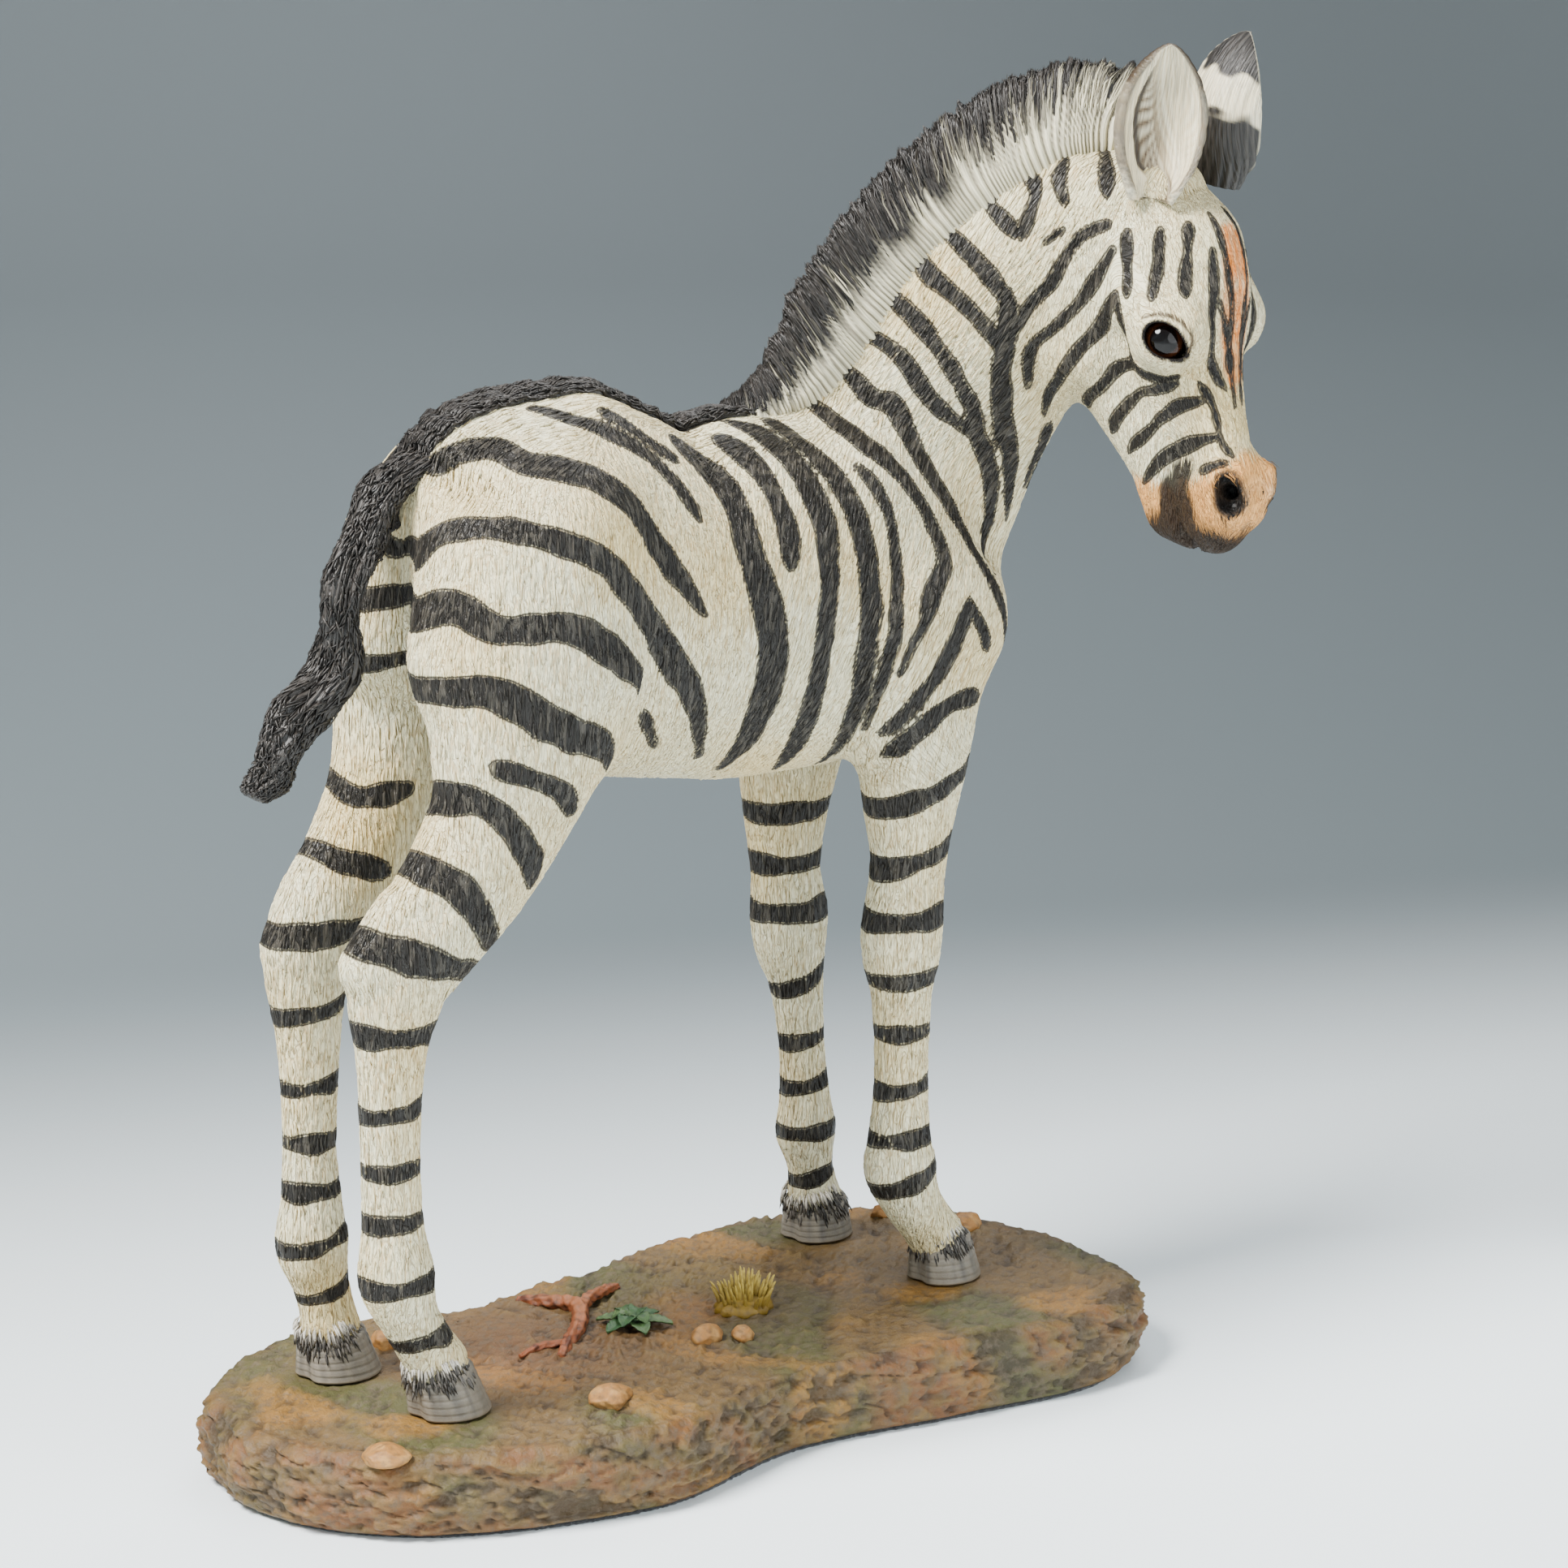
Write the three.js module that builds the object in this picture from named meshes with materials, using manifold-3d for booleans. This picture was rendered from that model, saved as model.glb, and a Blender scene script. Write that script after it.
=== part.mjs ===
// Zebra foal figurine: a painted resin foal that looks back over its right shoulder, on a
// modelled patch of ground with a felt pad under it.
//
// Millimetres, +Z up. The foal faces +X and its left side is +Y. The whole figure is built
// round the middle of its four hooves, and the group then moves it so that the origin is
// the middle of the underside of its bounding box.
//
// The foal's flesh is one smooth field: every limb is an oval section carried along a bent
// centre line, and the limbs melt into each other. Each node is the part of that field
// that lies in its own region, with a thin parting gap to the next.

import * as THREE from 'three';
import { mergeVertices } from 'three/addons/utils/BufferGeometryUtils.js';
import Module from 'manifold-3d';

const wasm = await Module();
wasm.setup();

// ---------------------------------------------------------------- driving dimensions

const GAP = 0.3;                 // parting gap between neighbouring pieces
const COAT = 0.3;                // depth of the modelled hair over the skin
const HAIR_CLEARANCE = 0.9;      // and between the flesh and the mane, ears and tail
const FELT = 0.9;                // thickness of the felt pad
const GROUND = 18;               // height of the modelled ground under the hooves
const BASE_BOTTOM = FELT + GAP;  // underside of the resin base

const BLEND = 7;                 // how softly limbs run into the trunk
const LEG_BLEND = 3;             // and masses into a leg

const HEAD_HEADING = -77;        // degrees from +X, the head is turned to the right
const HEAD_PITCH = 72;           // degrees that the head points below the horizon
const POLL = new THREE.Vector3(106.5, -34, 255);

const EYE_RADIUS = 4.9;
const EAR_LENGTH = 33;
const EAR_WIDTH = 17;
const EAR_WALL = 1.8;

// Facet sizes of the flesh in x, y and z, finer where the form is finer.
const TRUNK_FACET = [11, 9, 9.2];
const NECK_FACET = [8.4, 7.8, 8.4];
const HEAD_FACET = [6.2, 6.2, 6.2];
const THIGH_FACET = [6.6, 6, 9];
const SHANK_FACET = [4.1, 4.1, 9];
const GRID_SHIFT = -0.4;        // of every facet grid, in facets

// ---------------------------------------------------------------- stations of the body

// Each row: x, y, z of the centre, half depth fore and aft, half width across.
const TRUNK = [
  [-47, 0, 187, 27, 12.5],
  [-40, 0, 188.4, 34.5, 22.5],
  [-29, 0, 185.2, 39.8, 26],
  [-14, 0, 180.2, 38.4, 27],
  [2, 0, 175.2, 36.2, 27],
  [18, 0, 174, 38.4, 27],
  [36, 0, 172.8, 38.6, 27],
  [55, 0, 172, 38, 25],
  [70, 0, 168, 29, 21],
  [79, 0, 164, 19, 16],
];

const NECK = [
  [52, -1, 180, 37, 18],
  [64, -3, 194, 33, 15.5],
  [75, -6.5, 211, 29.5, 14.5],
  [86, -12, 227, 27, 15],
  [96, -20, 239, 23, 14],
  [103, -28, 247, 19, 13],
];

const HIND_RIGHT = [
  [-37, -14, 188, 26, 15],
  [-43.5, -17, 170, 25.5, 15],
  [-48, -19, 155, 20, 13.5],
  [-52, -18, 143, 15.6, 11.5],
  [-59, -17, 132, 14, 10],
  [-68, -16, 122, 12.5, 9],
  [-75, -15.5, 114.5, 11.5, 8],
  [-77.5, -15.5, 106, 9.8, 7.2],
  [-78.3, -15.5, 97, 7.4, 6],
  [-78.5, -15, 80, 6.4, 5.1],
  [-78.3, -15, 62, 6.5, 5.3],
  [-77.5, -15, 50, 8.2, 6.6],
  [-74.5, -15, 41, 6.2, 5.3],
  [-70.5, -15, 34, 6, 5.4],
  [-67.5, -15, 29, 6.6, 6],
];

const HIND_LEFT = [
  [-36, 14, 188, 26, 15],
  [-40, 17, 170, 24, 15],
  [-45, 19, 155, 19, 13],
  [-52, 18.5, 141, 14, 10.5],
  [-60, 18, 129, 12.5, 9.3],
  [-68, 18, 119.5, 12, 8.6],
  [-73, 18, 111, 10.5, 7.6],
  [-74.2, 18, 102, 8.6, 6.6],
  [-74, 18, 92, 6.8, 5.6],
  [-74.3, 18, 73, 5.7, 4.7],
  [-74.3, 18, 59, 6.4, 5.2],
  [-74.3, 18, 48.5, 8, 6.3],
  [-72.5, 18, 40, 6.2, 5.2],
  [-71, 18, 33.5, 5.8, 5.2],
  [-70, 18, 28, 6.6, 6],
];

const FORE_RIGHT = [
  [60, -16, 168, 20, 12],
  [60, -18.5, 150, 16, 11],
  [58.5, -20, 137, 13.3, 9.6],
  [57.8, -20, 127, 11.3, 8.5],
  [57.4, -20, 116, 8.9, 7.1],
  [56.5, -20, 107, 8.8, 7],
  [55.5, -20, 99, 9.4, 7.6],
  [55.4, -20, 91, 8.5, 6.9],
  [55.5, -20, 84, 6.8, 5.6],
  [55.5, -20, 66, 6.1, 5],
  [54.6, -20.5, 54, 7, 5.7],
  [54.4, -21, 46.5, 8.4, 6.7],
  [57.5, -21, 38.5, 6.6, 5.8],
  [61.5, -21, 32.5, 5.9, 5.5],
  [65, -21, 28, 6.2, 5.8],
];

const FORE_LEFT = [
  [60, 15, 168, 20, 12],
  [59, 17.5, 150, 16, 11],
  [57, 18, 132, 13, 9.5],
  [55.6, 18, 118, 10, 7.8],
  [55.5, 18, 104, 8, 6.5],
  [56.4, 18, 95.5, 9, 7.3],
  [57, 18, 87.5, 8.4, 6.9],
  [58.7, 18, 78, 6.2, 5.1],
  [60.3, 18, 63, 5.3, 4.3],
  [61.2, 18, 50, 6, 4.9],
  [61.5, 18, 43.5, 7.2, 5.8],
  [62.7, 18, 35.5, 5.2, 4.6],
  [63.5, 18, 30, 5.6, 5.1],
  [64, 18, 27, 6.3, 5.9],
];

// Muscles and joints that stand out of the limbs: centre to centre, with a radius each.
const RIGHT_MASSES = [
  [[-36, -12, 197], [-40, -15, 176], 20, 17],    // haunch
  [[-51, -13, 194], [-57, -14, 176], 11, 10.5],  // point of the buttock
  [[-34, -18, 168], [-32, -18, 159], 13, 8.5],   // stifle
  [[46, -12, 205], [70, -14, 164], 12, 15],      // shoulder blade to point of shoulder
  [[50, -14, 165], [50, -17, 150], 14, 9],       // elbow
];

const HOCK_POINTS = [
  [[-77, -15.5, 127], [-85, -15.5, 117], 4, 4.8],
  [[-73, 18, 122], [-79.5, 18, 113], 4, 4.4],
];

// Head sections: distance from the poll along the head, offset to the front of the face,
// half depth front to back, half width.
const HEAD = [
  [4, 1.5, 15, 12.5],
  [13, 0.8, 20.8, 15.6],
  [24, -2.4, 23.6, 15.8],
  [35, -4, 21, 13.5],
  [46, -3.5, 17.5, 11],
  [56, -2.2, 14.7, 9.6],
  [64, -0.8, 13.4, 9.6],
  [69, -0.8, 11.5, 9.2],
];

// Head masses: distance along, offset to the front, offset to the side, then the same at
// the far end, and the two radii. Each one is made on both sides.
const HEAD_MASSES = [
  [16, -11, 7, 30, -15, 7, 9, 8.5],       // jowl
  [26, 6, 11.5, 32, 7.5, 12.3, 6, 6],     // brow and socket
  [65, 6, 4.5, 70, 5, 4.5, 6, 5.5],       // nostril
];

// ---------------------------------------------------------------- small helpers

const vec = (row) => new THREE.Vector3(row[0], row[1], row[2]);
const radians = THREE.MathUtils.degToRad;
const mix = THREE.MathUtils.lerp;
const smoothstep = THREE.MathUtils.smoothstep;

// A smooth minimum: two fields that meet run together over the distance k.
function smoothMin(a, b, k) {
  const h = Math.max(k - Math.abs(a - b), 0) / k;
  return Math.min(a, b) - h * h * k / 4;
}

// Catmull-Rom value between the middle two of four numbers.
function spline(a, b, c, d, t) {
  return 0.5 * (2 * b + (c - a) * t + (2 * a - 5 * b + 4 * c - d) * t * t
    + (3 * b - a - 3 * c + d) * t * t * t);
}

function splineRow(rows, index, t) {
  const at = (i) => rows[Math.min(Math.max(i, 0), rows.length - 1)];
  const [a, b, c, d] = [at(index - 1), at(index), at(index + 1), at(index + 2)];
  return b.map((_, k) => spline(a[k], b[k], c[k], d[k], t));
}

// Rows with `steps` splined rows in each span.
function refineRows(rows, steps) {
  const fine = [];
  for (let i = 0; i < rows.length - 1; i += 1) {
    for (let s = 0; s < steps; s += 1) fine.push(splineRow(rows, i, s / steps));
  }
  fine.push(rows[rows.length - 1]);
  return fine;
}

// ---------------------------------------------------------------- limbs as fields

// An oval section carried along a centre line. Rows hold x, y, z, half depth, half width;
// `across` is the direction that the half width is measured in, as near as the line allows.
function makeLimb(rows, across, steps = 3) {
  const fine = refineRows(rows, steps);
  const centres = fine.map(vec);
  const frames = centres.map((centre, i) => {
    const before = centres[Math.max(i - 1, 0)];
    const after = centres[Math.min(i + 1, centres.length - 1)];
    const along = after.clone().sub(before).normalize();
    const side = across.clone().addScaledVector(along, -across.dot(along)).normalize();
    const depth = new THREE.Vector3().crossVectors(side, along);
    return { centre, along, side, depth, a: fine[i][3], b: fine[i][4] };
  });
  return { frames, reach: Math.max(...fine.map((row) => Math.max(row[3], row[4]))) };
}

function makeCapsule(from, to, radiusFrom, radiusTo) {
  const rows = [[...from, radiusFrom, radiusFrom], [...to, radiusTo, radiusTo]];
  const along = vec(to).sub(vec(from));
  const across = Math.abs(along.y) < Math.abs(along.x) + Math.abs(along.z)
    ? new THREE.Vector3(0, 1, 0) : new THREE.Vector3(1, 0, 0);
  return makeLimb(rows, across, 1);
}

// Distance from a point to the skin of a limb, negative inside. The nearest place on each
// stretch of the centre line gives the oval there, and beyond the ends the limb is round.
function limbDistance(limb, x, y, z) {
  let best = Infinity;
  for (let i = 0; i < limb.frames.length - 1; i += 1) {
    const p = limb.frames[i];
    const q = limb.frames[i + 1];
    const [ux, uy, uz] = [q.centre.x - p.centre.x, q.centre.y - p.centre.y, q.centre.z - p.centre.z];
    const [vx, vy, vz] = [x - p.centre.x, y - p.centre.y, z - p.centre.z];
    const t = Math.min(Math.max((vx * ux + vy * uy + vz * uz) / (ux * ux + uy * uy + uz * uz), 0), 1);
    const [rx, ry, rz] = [vx - t * ux, vy - t * uy, vz - t * uz];
    const a = mix(p.a, q.a, t);
    const b = mix(p.b, q.b, t);
    const along = Math.min(a, b);
    if (Math.hypot(rx, ry, rz) - Math.max(a, b) > best) continue;
    const dot = (u, v) => rx * mix(u.x, v.x, t) + ry * mix(u.y, v.y, t) + rz * mix(u.z, v.z, t);
    const depth = dot(p.depth, q.depth) / a;
    const side = dot(p.side, q.side) / b;
    const end = dot(p.along, q.along) / along;
    const k = Math.hypot(depth, side, end);
    const slope = Math.hypot(depth / a, side / b, end / along);
    const distance = k < 0.2 ? (k - 1) * along : (k - 1) * k / slope;
    best = Math.min(best, distance);
  }
  return best;
}

// ---------------------------------------------------------------- the head's own frame

const forward = new THREE.Vector3(Math.cos(radians(HEAD_HEADING)), Math.sin(radians(HEAD_HEADING)), 0);
const headLeft = new THREE.Vector3(-forward.y, forward.x, 0);
const headAlong = forward.clone().multiplyScalar(Math.cos(radians(HEAD_PITCH)))
  .add(new THREE.Vector3(0, 0, -Math.sin(radians(HEAD_PITCH))));
const headFront = new THREE.Vector3().crossVectors(headLeft, headAlong).negate();

// A place on the head: distance from the poll along it, to the front, and to its left.
function onHead(along, front, left = 0) {
  return POLL.clone().addScaledVector(headAlong, along).addScaledVector(headFront, front)
    .addScaledVector(headLeft, left);
}

// ---------------------------------------------------------------- the foal's flesh

const LEFTWARDS = new THREE.Vector3(0, 1, 0);
const neckSide = new THREE.Vector3(0.35, 1, 0).normalize();

const mirrored = (row) => [row[0], -row[1], row[2]];

const bodyLimbs = [
  makeLimb(TRUNK, LEFTWARDS),
  makeLimb(NECK, neckSide),
  ...RIGHT_MASSES.map(([a, b, ra, rb]) => makeCapsule(a, b, ra, rb)),
  ...RIGHT_MASSES.map(([a, b, ra, rb]) => makeCapsule(mirrored(a), mirrored(b), ra, rb)),
];

const legLimbs = [HIND_RIGHT, HIND_LEFT, FORE_RIGHT, FORE_LEFT].map((rows) => makeLimb(rows, LEFTWARDS));
const hockLimbs = HOCK_POINTS.map(([a, b, ra, rb]) => makeCapsule(a, b, ra, rb));

const headRows = HEAD.map(([along, front, depth, width]) => [...onHead(along, front).toArray(), depth, width]);
const headLimb = makeLimb(headRows, headLeft);
const headMasses = HEAD_MASSES.flatMap(([p0, q0, l0, p1, q1, l1, r0, r1]) => [-1, 1].map((side) =>
  makeCapsule(onHead(p0, q0, l0 * side).toArray(), onHead(p1, q1, l1 * side).toArray(), r0, r1)));

function union(limbs, x, y, z, blend) {
  let field = limbDistance(limbs[0], x, y, z);
  for (let i = 1; i < limbs.length; i += 1) {
    field = smoothMin(field, limbDistance(limbs[i], x, y, z), blend);
  }
  return field;
}

function flesh(x, y, z) {
  const body = union(bodyLimbs, x, y, z, BLEND);
  const hocks = union(hockLimbs, x, y, z, LEG_BLEND);
  const hindRight = smoothMin(limbDistance(legLimbs[0], x, y, z), hocks, LEG_BLEND);
  const hindLeft = smoothMin(limbDistance(legLimbs[1], x, y, z), hocks, LEG_BLEND);
  const foreLegs = Math.min(limbDistance(legLimbs[2], x, y, z), limbDistance(legLimbs[3], x, y, z));
  const legs = Math.min(hindRight, hindLeft, foreLegs);
  const head = union([headLimb, ...headMasses], x, y, z, LEG_BLEND);
  return smoothMin(smoothMin(body, legs, BLEND), head, BLEND) - COAT;
}

// ---------------------------------------------------------------- fields into solids

// Where the signs round a grid face alternate, its weakest corner changes side, so that no
// two sheets of the surface share an edge.
function untangle(values, strides) {
  let tangled = true;
  while (tangled) {
    tangled = false;
    for (const [a, b] of [[0, 1], [0, 2], [1, 2]].map(([u, v]) => [strides[u], strides[v]])) {
      for (let i = 0; i < values.length - a - b; i += 1) {
        const inside = values[i] < 0;
        if ((values[i + a] < 0) === inside || (values[i + b] < 0) === inside) continue;
        if ((values[i + a + b] < 0) !== inside) continue;
        const face = [i, i + a, i + b, i + a + b];
        const weakest = face.reduce((p, q) => (Math.abs(values[p]) < Math.abs(values[q]) ? p : q));
        values[weakest] *= -1;
        tangled = true;
      }
    }
  }
}

// Surface nets: one vertex in each cell that the surface passes through, at the mean of
// its edge crossings, and one quad round each crossed grid edge. `box` bounds the solid,
// and the grid is the same for every box. `grow` moves the vertices outwards, so that a
// grown solid has the same facets.
function polygonise(field, box, step, grow = 0) {
  const cell = vec(step);
  const low = box.min.clone().divide(cell).floor().addScalar(GRID_SHIFT - 1).multiply(cell);
  const size = box.max.clone().sub(low).addScaledVector(cell, 2);
  const [nx, ny, nz] = size.divide(cell).toArray().map((length) => Math.ceil(length) + 1);
  const bounded = (x, y, z) => Math.max(field(x, y, z), box.min.x - x, x - box.max.x,
    box.min.y - y, y - box.max.y, box.min.z - z, z - box.max.z);
  const id = (i, j, k) => (k * ny + j) * nx + i;
  const values = new Float64Array(nx * ny * nz);
  for (let k = 0; k < nz; k += 1) {
    for (let j = 0; j < ny; j += 1) {
      for (let i = 0; i < nx; i += 1) {
        values[id(i, j, k)] = bounded(low.x + i * cell.x, low.y + j * cell.y, low.z + k * cell.z);
      }
    }
  }
  untangle(values, [1, nx, nx * ny]);
  const corners = [0, 1, 2, 3, 4, 5, 6, 7].map((c) => [c & 1, (c >> 1) & 1, c >> 2]);
  const edges = corners.flatMap((_, c) => [1, 2, 4].filter((bit) => !(c & bit)).map((bit) => [c, c | bit]));
  const vertexOf = new Int32Array(nx * ny * nz).fill(-1);
  const points = [];
  for (let k = 0; k < nz - 1; k += 1) {
    for (let j = 0; j < ny - 1; j += 1) {
      for (let i = 0; i < nx - 1; i += 1) {
        const v = corners.map(([a, b, c]) => values[id(i + a, j + b, k + c)]);
        const sum = new THREE.Vector3();
        let count = 0;
        for (const [p, q] of edges) {
          if ((v[p] < 0) === (v[q] < 0)) continue;
          const t = v[p] / (v[p] - v[q]);
          sum.add(new THREE.Vector3(...corners[p]).lerp(new THREE.Vector3(...corners[q]), t));
          count += 1;
        }
        if (!count) continue;
        vertexOf[id(i, j, k)] = points.length;
        points.push(sum.divideScalar(count).add(new THREE.Vector3(i, j, k)).multiply(cell).add(low));
      }
    }
  }
  const triangles = [];
  const quad = (ring, flip) => {
    const [a, b, c, d] = flip ? ring : [...ring].reverse();
    if (points[a].distanceTo(points[c]) < points[b].distanceTo(points[d])) {
      triangles.push(a, b, c, a, c, d);
    } else {
      triangles.push(a, b, d, b, c, d);
    }
  };
  for (let k = 1; k < nz - 1; k += 1) {
    for (let j = 1; j < ny - 1; j += 1) {
      for (let i = 1; i < nx - 1; i += 1) {
        const here = values[id(i, j, k)] < 0;
        const at = (a, b, c) => vertexOf[id(i + a, j + b, k + c)];
        if (here !== (values[id(i + 1, j, k)] < 0)) {
          quad([at(0, 0, 0), at(0, -1, 0), at(0, -1, -1), at(0, 0, -1)], here);
        }
        if (here !== (values[id(i, j + 1, k)] < 0)) {
          quad([at(0, 0, 0), at(0, 0, -1), at(-1, 0, -1), at(-1, 0, 0)], here);
        }
        if (here !== (values[id(i, j, k + 1)] < 0)) {
          quad([at(0, 0, 0), at(-1, 0, 0), at(-1, -1, 0), at(0, -1, 0)], here);
        }
      }
    }
  }
  for (const point of points) settle(bounded, point, Math.min(...step), grow);
  return toSolid(points, triangles);
}

// Newton steps that bring a vertex onto the surface where the field has the value
// `level`, never further than half a facet.
function settle(field, point, step, level) {
  const start = point.clone();
  const h = 0.05;
  for (let round = 0; round < 3; round += 1) {
    const { x, y, z } = point;
    const value = field(x, y, z);
    const slope = new THREE.Vector3(field(x + h, y, z) - value, field(x, y + h, z) - value,
      field(x, y, z + h) - value).divideScalar(h);
    point.addScaledVector(slope, (level - value) / Math.max(slope.lengthSq(), 0.2));
  }
  if (point.distanceTo(start) > 0.5 * step) point.copy(start);
}

function toSolid(points, triangles) {
  const vertProperties = new Float32Array(points.flatMap((point) => point.toArray()));
  const triVerts = new Uint32Array(triangles);
  return new wasm.Manifold(new wasm.Mesh({ numProp: 3, vertProperties, triVerts }));
}

function geometryToSolid(geometry) {
  const bare = geometry.clone();
  bare.deleteAttribute('normal');
  bare.deleteAttribute('uv');
  const merged = mergeVertices(bare, 1e-4);
  const vertProperties = new Float32Array(merged.attributes.position.array);
  const triVerts = new Uint32Array(merged.index.array);
  return new wasm.Manifold(new wasm.Mesh({ numProp: 3, vertProperties, triVerts }));
}

function solidToGeometry(solid) {
  const mesh = solid.getMesh();
  const geometry = new THREE.BufferGeometry();
  geometry.setAttribute('position', new THREE.BufferAttribute(mesh.vertProperties, mesh.numProp));
  geometry.setIndex(new THREE.BufferAttribute(mesh.triVerts, 1));
  return geometry;
}

// A closed loft through rings of equally many points, with a centre point in each end.
function loftSolid(rings) {
  const count = rings[0].length;
  const points = rings.flat();
  const triangles = [];
  for (let r = 0; r < rings.length - 1; r += 1) {
    for (let s = 0; s < count; s += 1) {
      const next = (s + 1) % count;
      const [a, b, c, d] = [r * count + s, r * count + next, (r + 1) * count + next, (r + 1) * count + s];
      triangles.push(a, b, c, a, c, d);
    }
  }
  const middle = (ring) => ring.reduce((sum, p) => sum.add(p), new THREE.Vector3()).divideScalar(count);
  const [first, last] = [points.push(middle(rings[0])) - 1, points.push(middle(rings.at(-1))) - 1];
  const lastStart = (rings.length - 1) * count;
  for (let s = 0; s < count; s += 1) {
    const next = (s + 1) % count;
    triangles.push(first, next, s, last, lastStart + s, lastStart + next);
  }
  const solid = toSolid(points, triangles);
  if (solid.volume() > 0) return solid;
  return toSolid(points, triangles.reverse());
}

// ---------------------------------------------------------------- regions of the nodes

const box3 = (low, high) => new THREE.Box3(new THREE.Vector3(...low), new THREE.Vector3(...high));

function boxSolid(box, grow = 0) {
  const grown = box.clone().expandByScalar(grow);
  const size = grown.getSize(new THREE.Vector3());
  const centre = grown.getCenter(new THREE.Vector3());
  return geometryToSolid(new THREE.BoxGeometry(size.x, size.y, size.z).translate(...centre.toArray()));
}

// The half of space that `normal` points into, as a large block.
function beyond(point, normal, grow = 0) {
  const reach = 260;
  const away = normal.clone().normalize();
  const turn = new THREE.Quaternion().setFromUnitVectors(new THREE.Vector3(0, 0, 1), away);
  const centre = point.clone().addScaledVector(away, reach - grow);
  const block = new THREE.BoxGeometry(2 * reach, 2 * reach, 2 * reach);
  return geometryToSolid(block.applyQuaternion(turn).translate(...centre.toArray()));
}

const HEAD_BOX = box3([62, -110, 172], [165, 10, 292]);
const NECK_BOX = box3([28, -62, 150], [150, 40, 282]);
const TRUNK_BOX = box3([-90, -40, 110], [110, 40, 240]);
const CREST_BOX = box3([-10, -75, 180], [140, 30, 285]);
const CROUP_BOX = box3([-120, -34, 130], [-30, 34, 235]);

function headRegion(grow = 0) {
  const behindJowl = headAlong.clone().multiplyScalar(0.52).addScaledVector(headFront, 0.85);
  const behindThroat = new THREE.Vector3(0, -0.8, 0.6);
  return beyond(onHead(-4, -7), behindJowl, grow)
    .intersect(beyond(new THREE.Vector3(104, -24, 204), behindThroat, grow))
    .intersect(boxSolid(HEAD_BOX, grow));
}

function neckRegion(grow = 0) {
  return beyond(new THREE.Vector3(40, 0, 218), new THREE.Vector3(0.5, 0, 0.87), grow)
    .intersect(boxSolid(NECK_BOX, grow));
}

// side is -1 on the right and 1 on the left.
const LEG_BOXES = {
  fore: (side) => sideBox([28, 0.2, 10], [100, 60, 175], side),
  hind: (side) => sideBox([-120, 0.2, 10], [-18, 60, 185], side),
};
const LEG_TOPS = {
  fore: (side) => [new THREE.Vector3(60, 16 * side, 138), new THREE.Vector3(0, 0.7 * side, -0.7)],
  hind: (side) => [new THREE.Vector3(-45, 16 * side, 154), new THREE.Vector3(-0.45, 0.55 * side, -0.7)],
};
const JOINT_HEIGHTS = { fore: 98, hind: 112 };

function sideBox(low, high, side) {
  const [y0, y1] = [low[1] * side, high[1] * side];
  return box3([low[0], Math.min(y0, y1), low[2]], [high[0], Math.max(y0, y1), high[2]]);
}

function legRegion(kind, side, grow = 0) {
  const [point, normal] = LEG_TOPS[kind](side);
  return beyond(point, normal, grow).intersect(boxSolid(LEG_BOXES[kind](side), grow));
}

// ---------------------------------------------------------------- hooves

// Each hoof: middle of the coronet, middle of the sole, half length and half width of the
// coronet and of the sole.
const HOOVES = {
  hoof_hind_right: [[-67.3, -15, 27.5], [-64.3, -15], [7.2, 6.6], [9, 8.1]],
  hoof_hind_left: [[-70, 18, 27], [-68, 18], [7.2, 6.7], [9.4, 8.5]],
  hoof_fore_right: [[66.2, -21, 27], [67.6, -21], [6.7, 6.2], [8.4, 7.7]],
  hoof_fore_left: [[64.2, 18, 26], [64.8, 18], [7.1, 6.6], [8.3, 7.7]],
};

function hoofSolid([coronet, sole, top, bottom], grow = 0) {
  const sides = 12;
  const floor = GROUND + GAP - grow;
  const levels = [[0, 1], [0.92, 1], [1, 0.94]];
  const rings = levels.map(([t, swell]) => Array.from({ length: sides }, (_, i) => {
    const angle = 2 * Math.PI * i / sides;
    const fore = Math.cos(angle);
    const [a, b] = [mix(bottom[0], top[0], t) * swell + grow, mix(bottom[1], top[1], t) * swell + grow];
    const rise = mix(floor, coronet[2] + grow, t) + fore * mix(0, 1.2, t);
    return new THREE.Vector3(mix(sole[0], coronet[0], t) + a * fore,
      mix(sole[1], coronet[1], t) + b * Math.sin(angle), rise);
  }));
  return loftSolid(rings);
}

// ---------------------------------------------------------------- eyes, ears, mane, tail

const EYE_PLACE = [32.5, 8.2, 13.4];   // along the head, to the front, to each side

function eyeSolid(side, grow = 0) {
  const [along, front, out] = EYE_PLACE;
  const centre = onHead(along, front, out * side);
  const ball = new THREE.SphereGeometry(EYE_RADIUS + grow, 12, 8).translate(...centre.toArray());
  return geometryToSolid(ball);
}

// Ear outline: share of the length, share of the half width, how far the edges roll in.
const EAR_OUTLINE = [
  [0, 0.5, 118],
  [0.12, 0.68, 108],
  [0.28, 0.9, 92],
  [0.45, 1, 74],
  [0.62, 0.95, 60],
  [0.78, 0.74, 48],
  [0.9, 0.46, 38],
  [0.97, 0.22, 30],
];

const EARS = {
  ear_right: { root: [3, 10.5, -9], lean: [0.16, 0.03], facing: [0.8, 0.56], side: -1 },
  ear_left: { root: [3, 10.5, 13.5], lean: [0.2, 0.14], facing: [1, 0.15], side: 1 },
};

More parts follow.
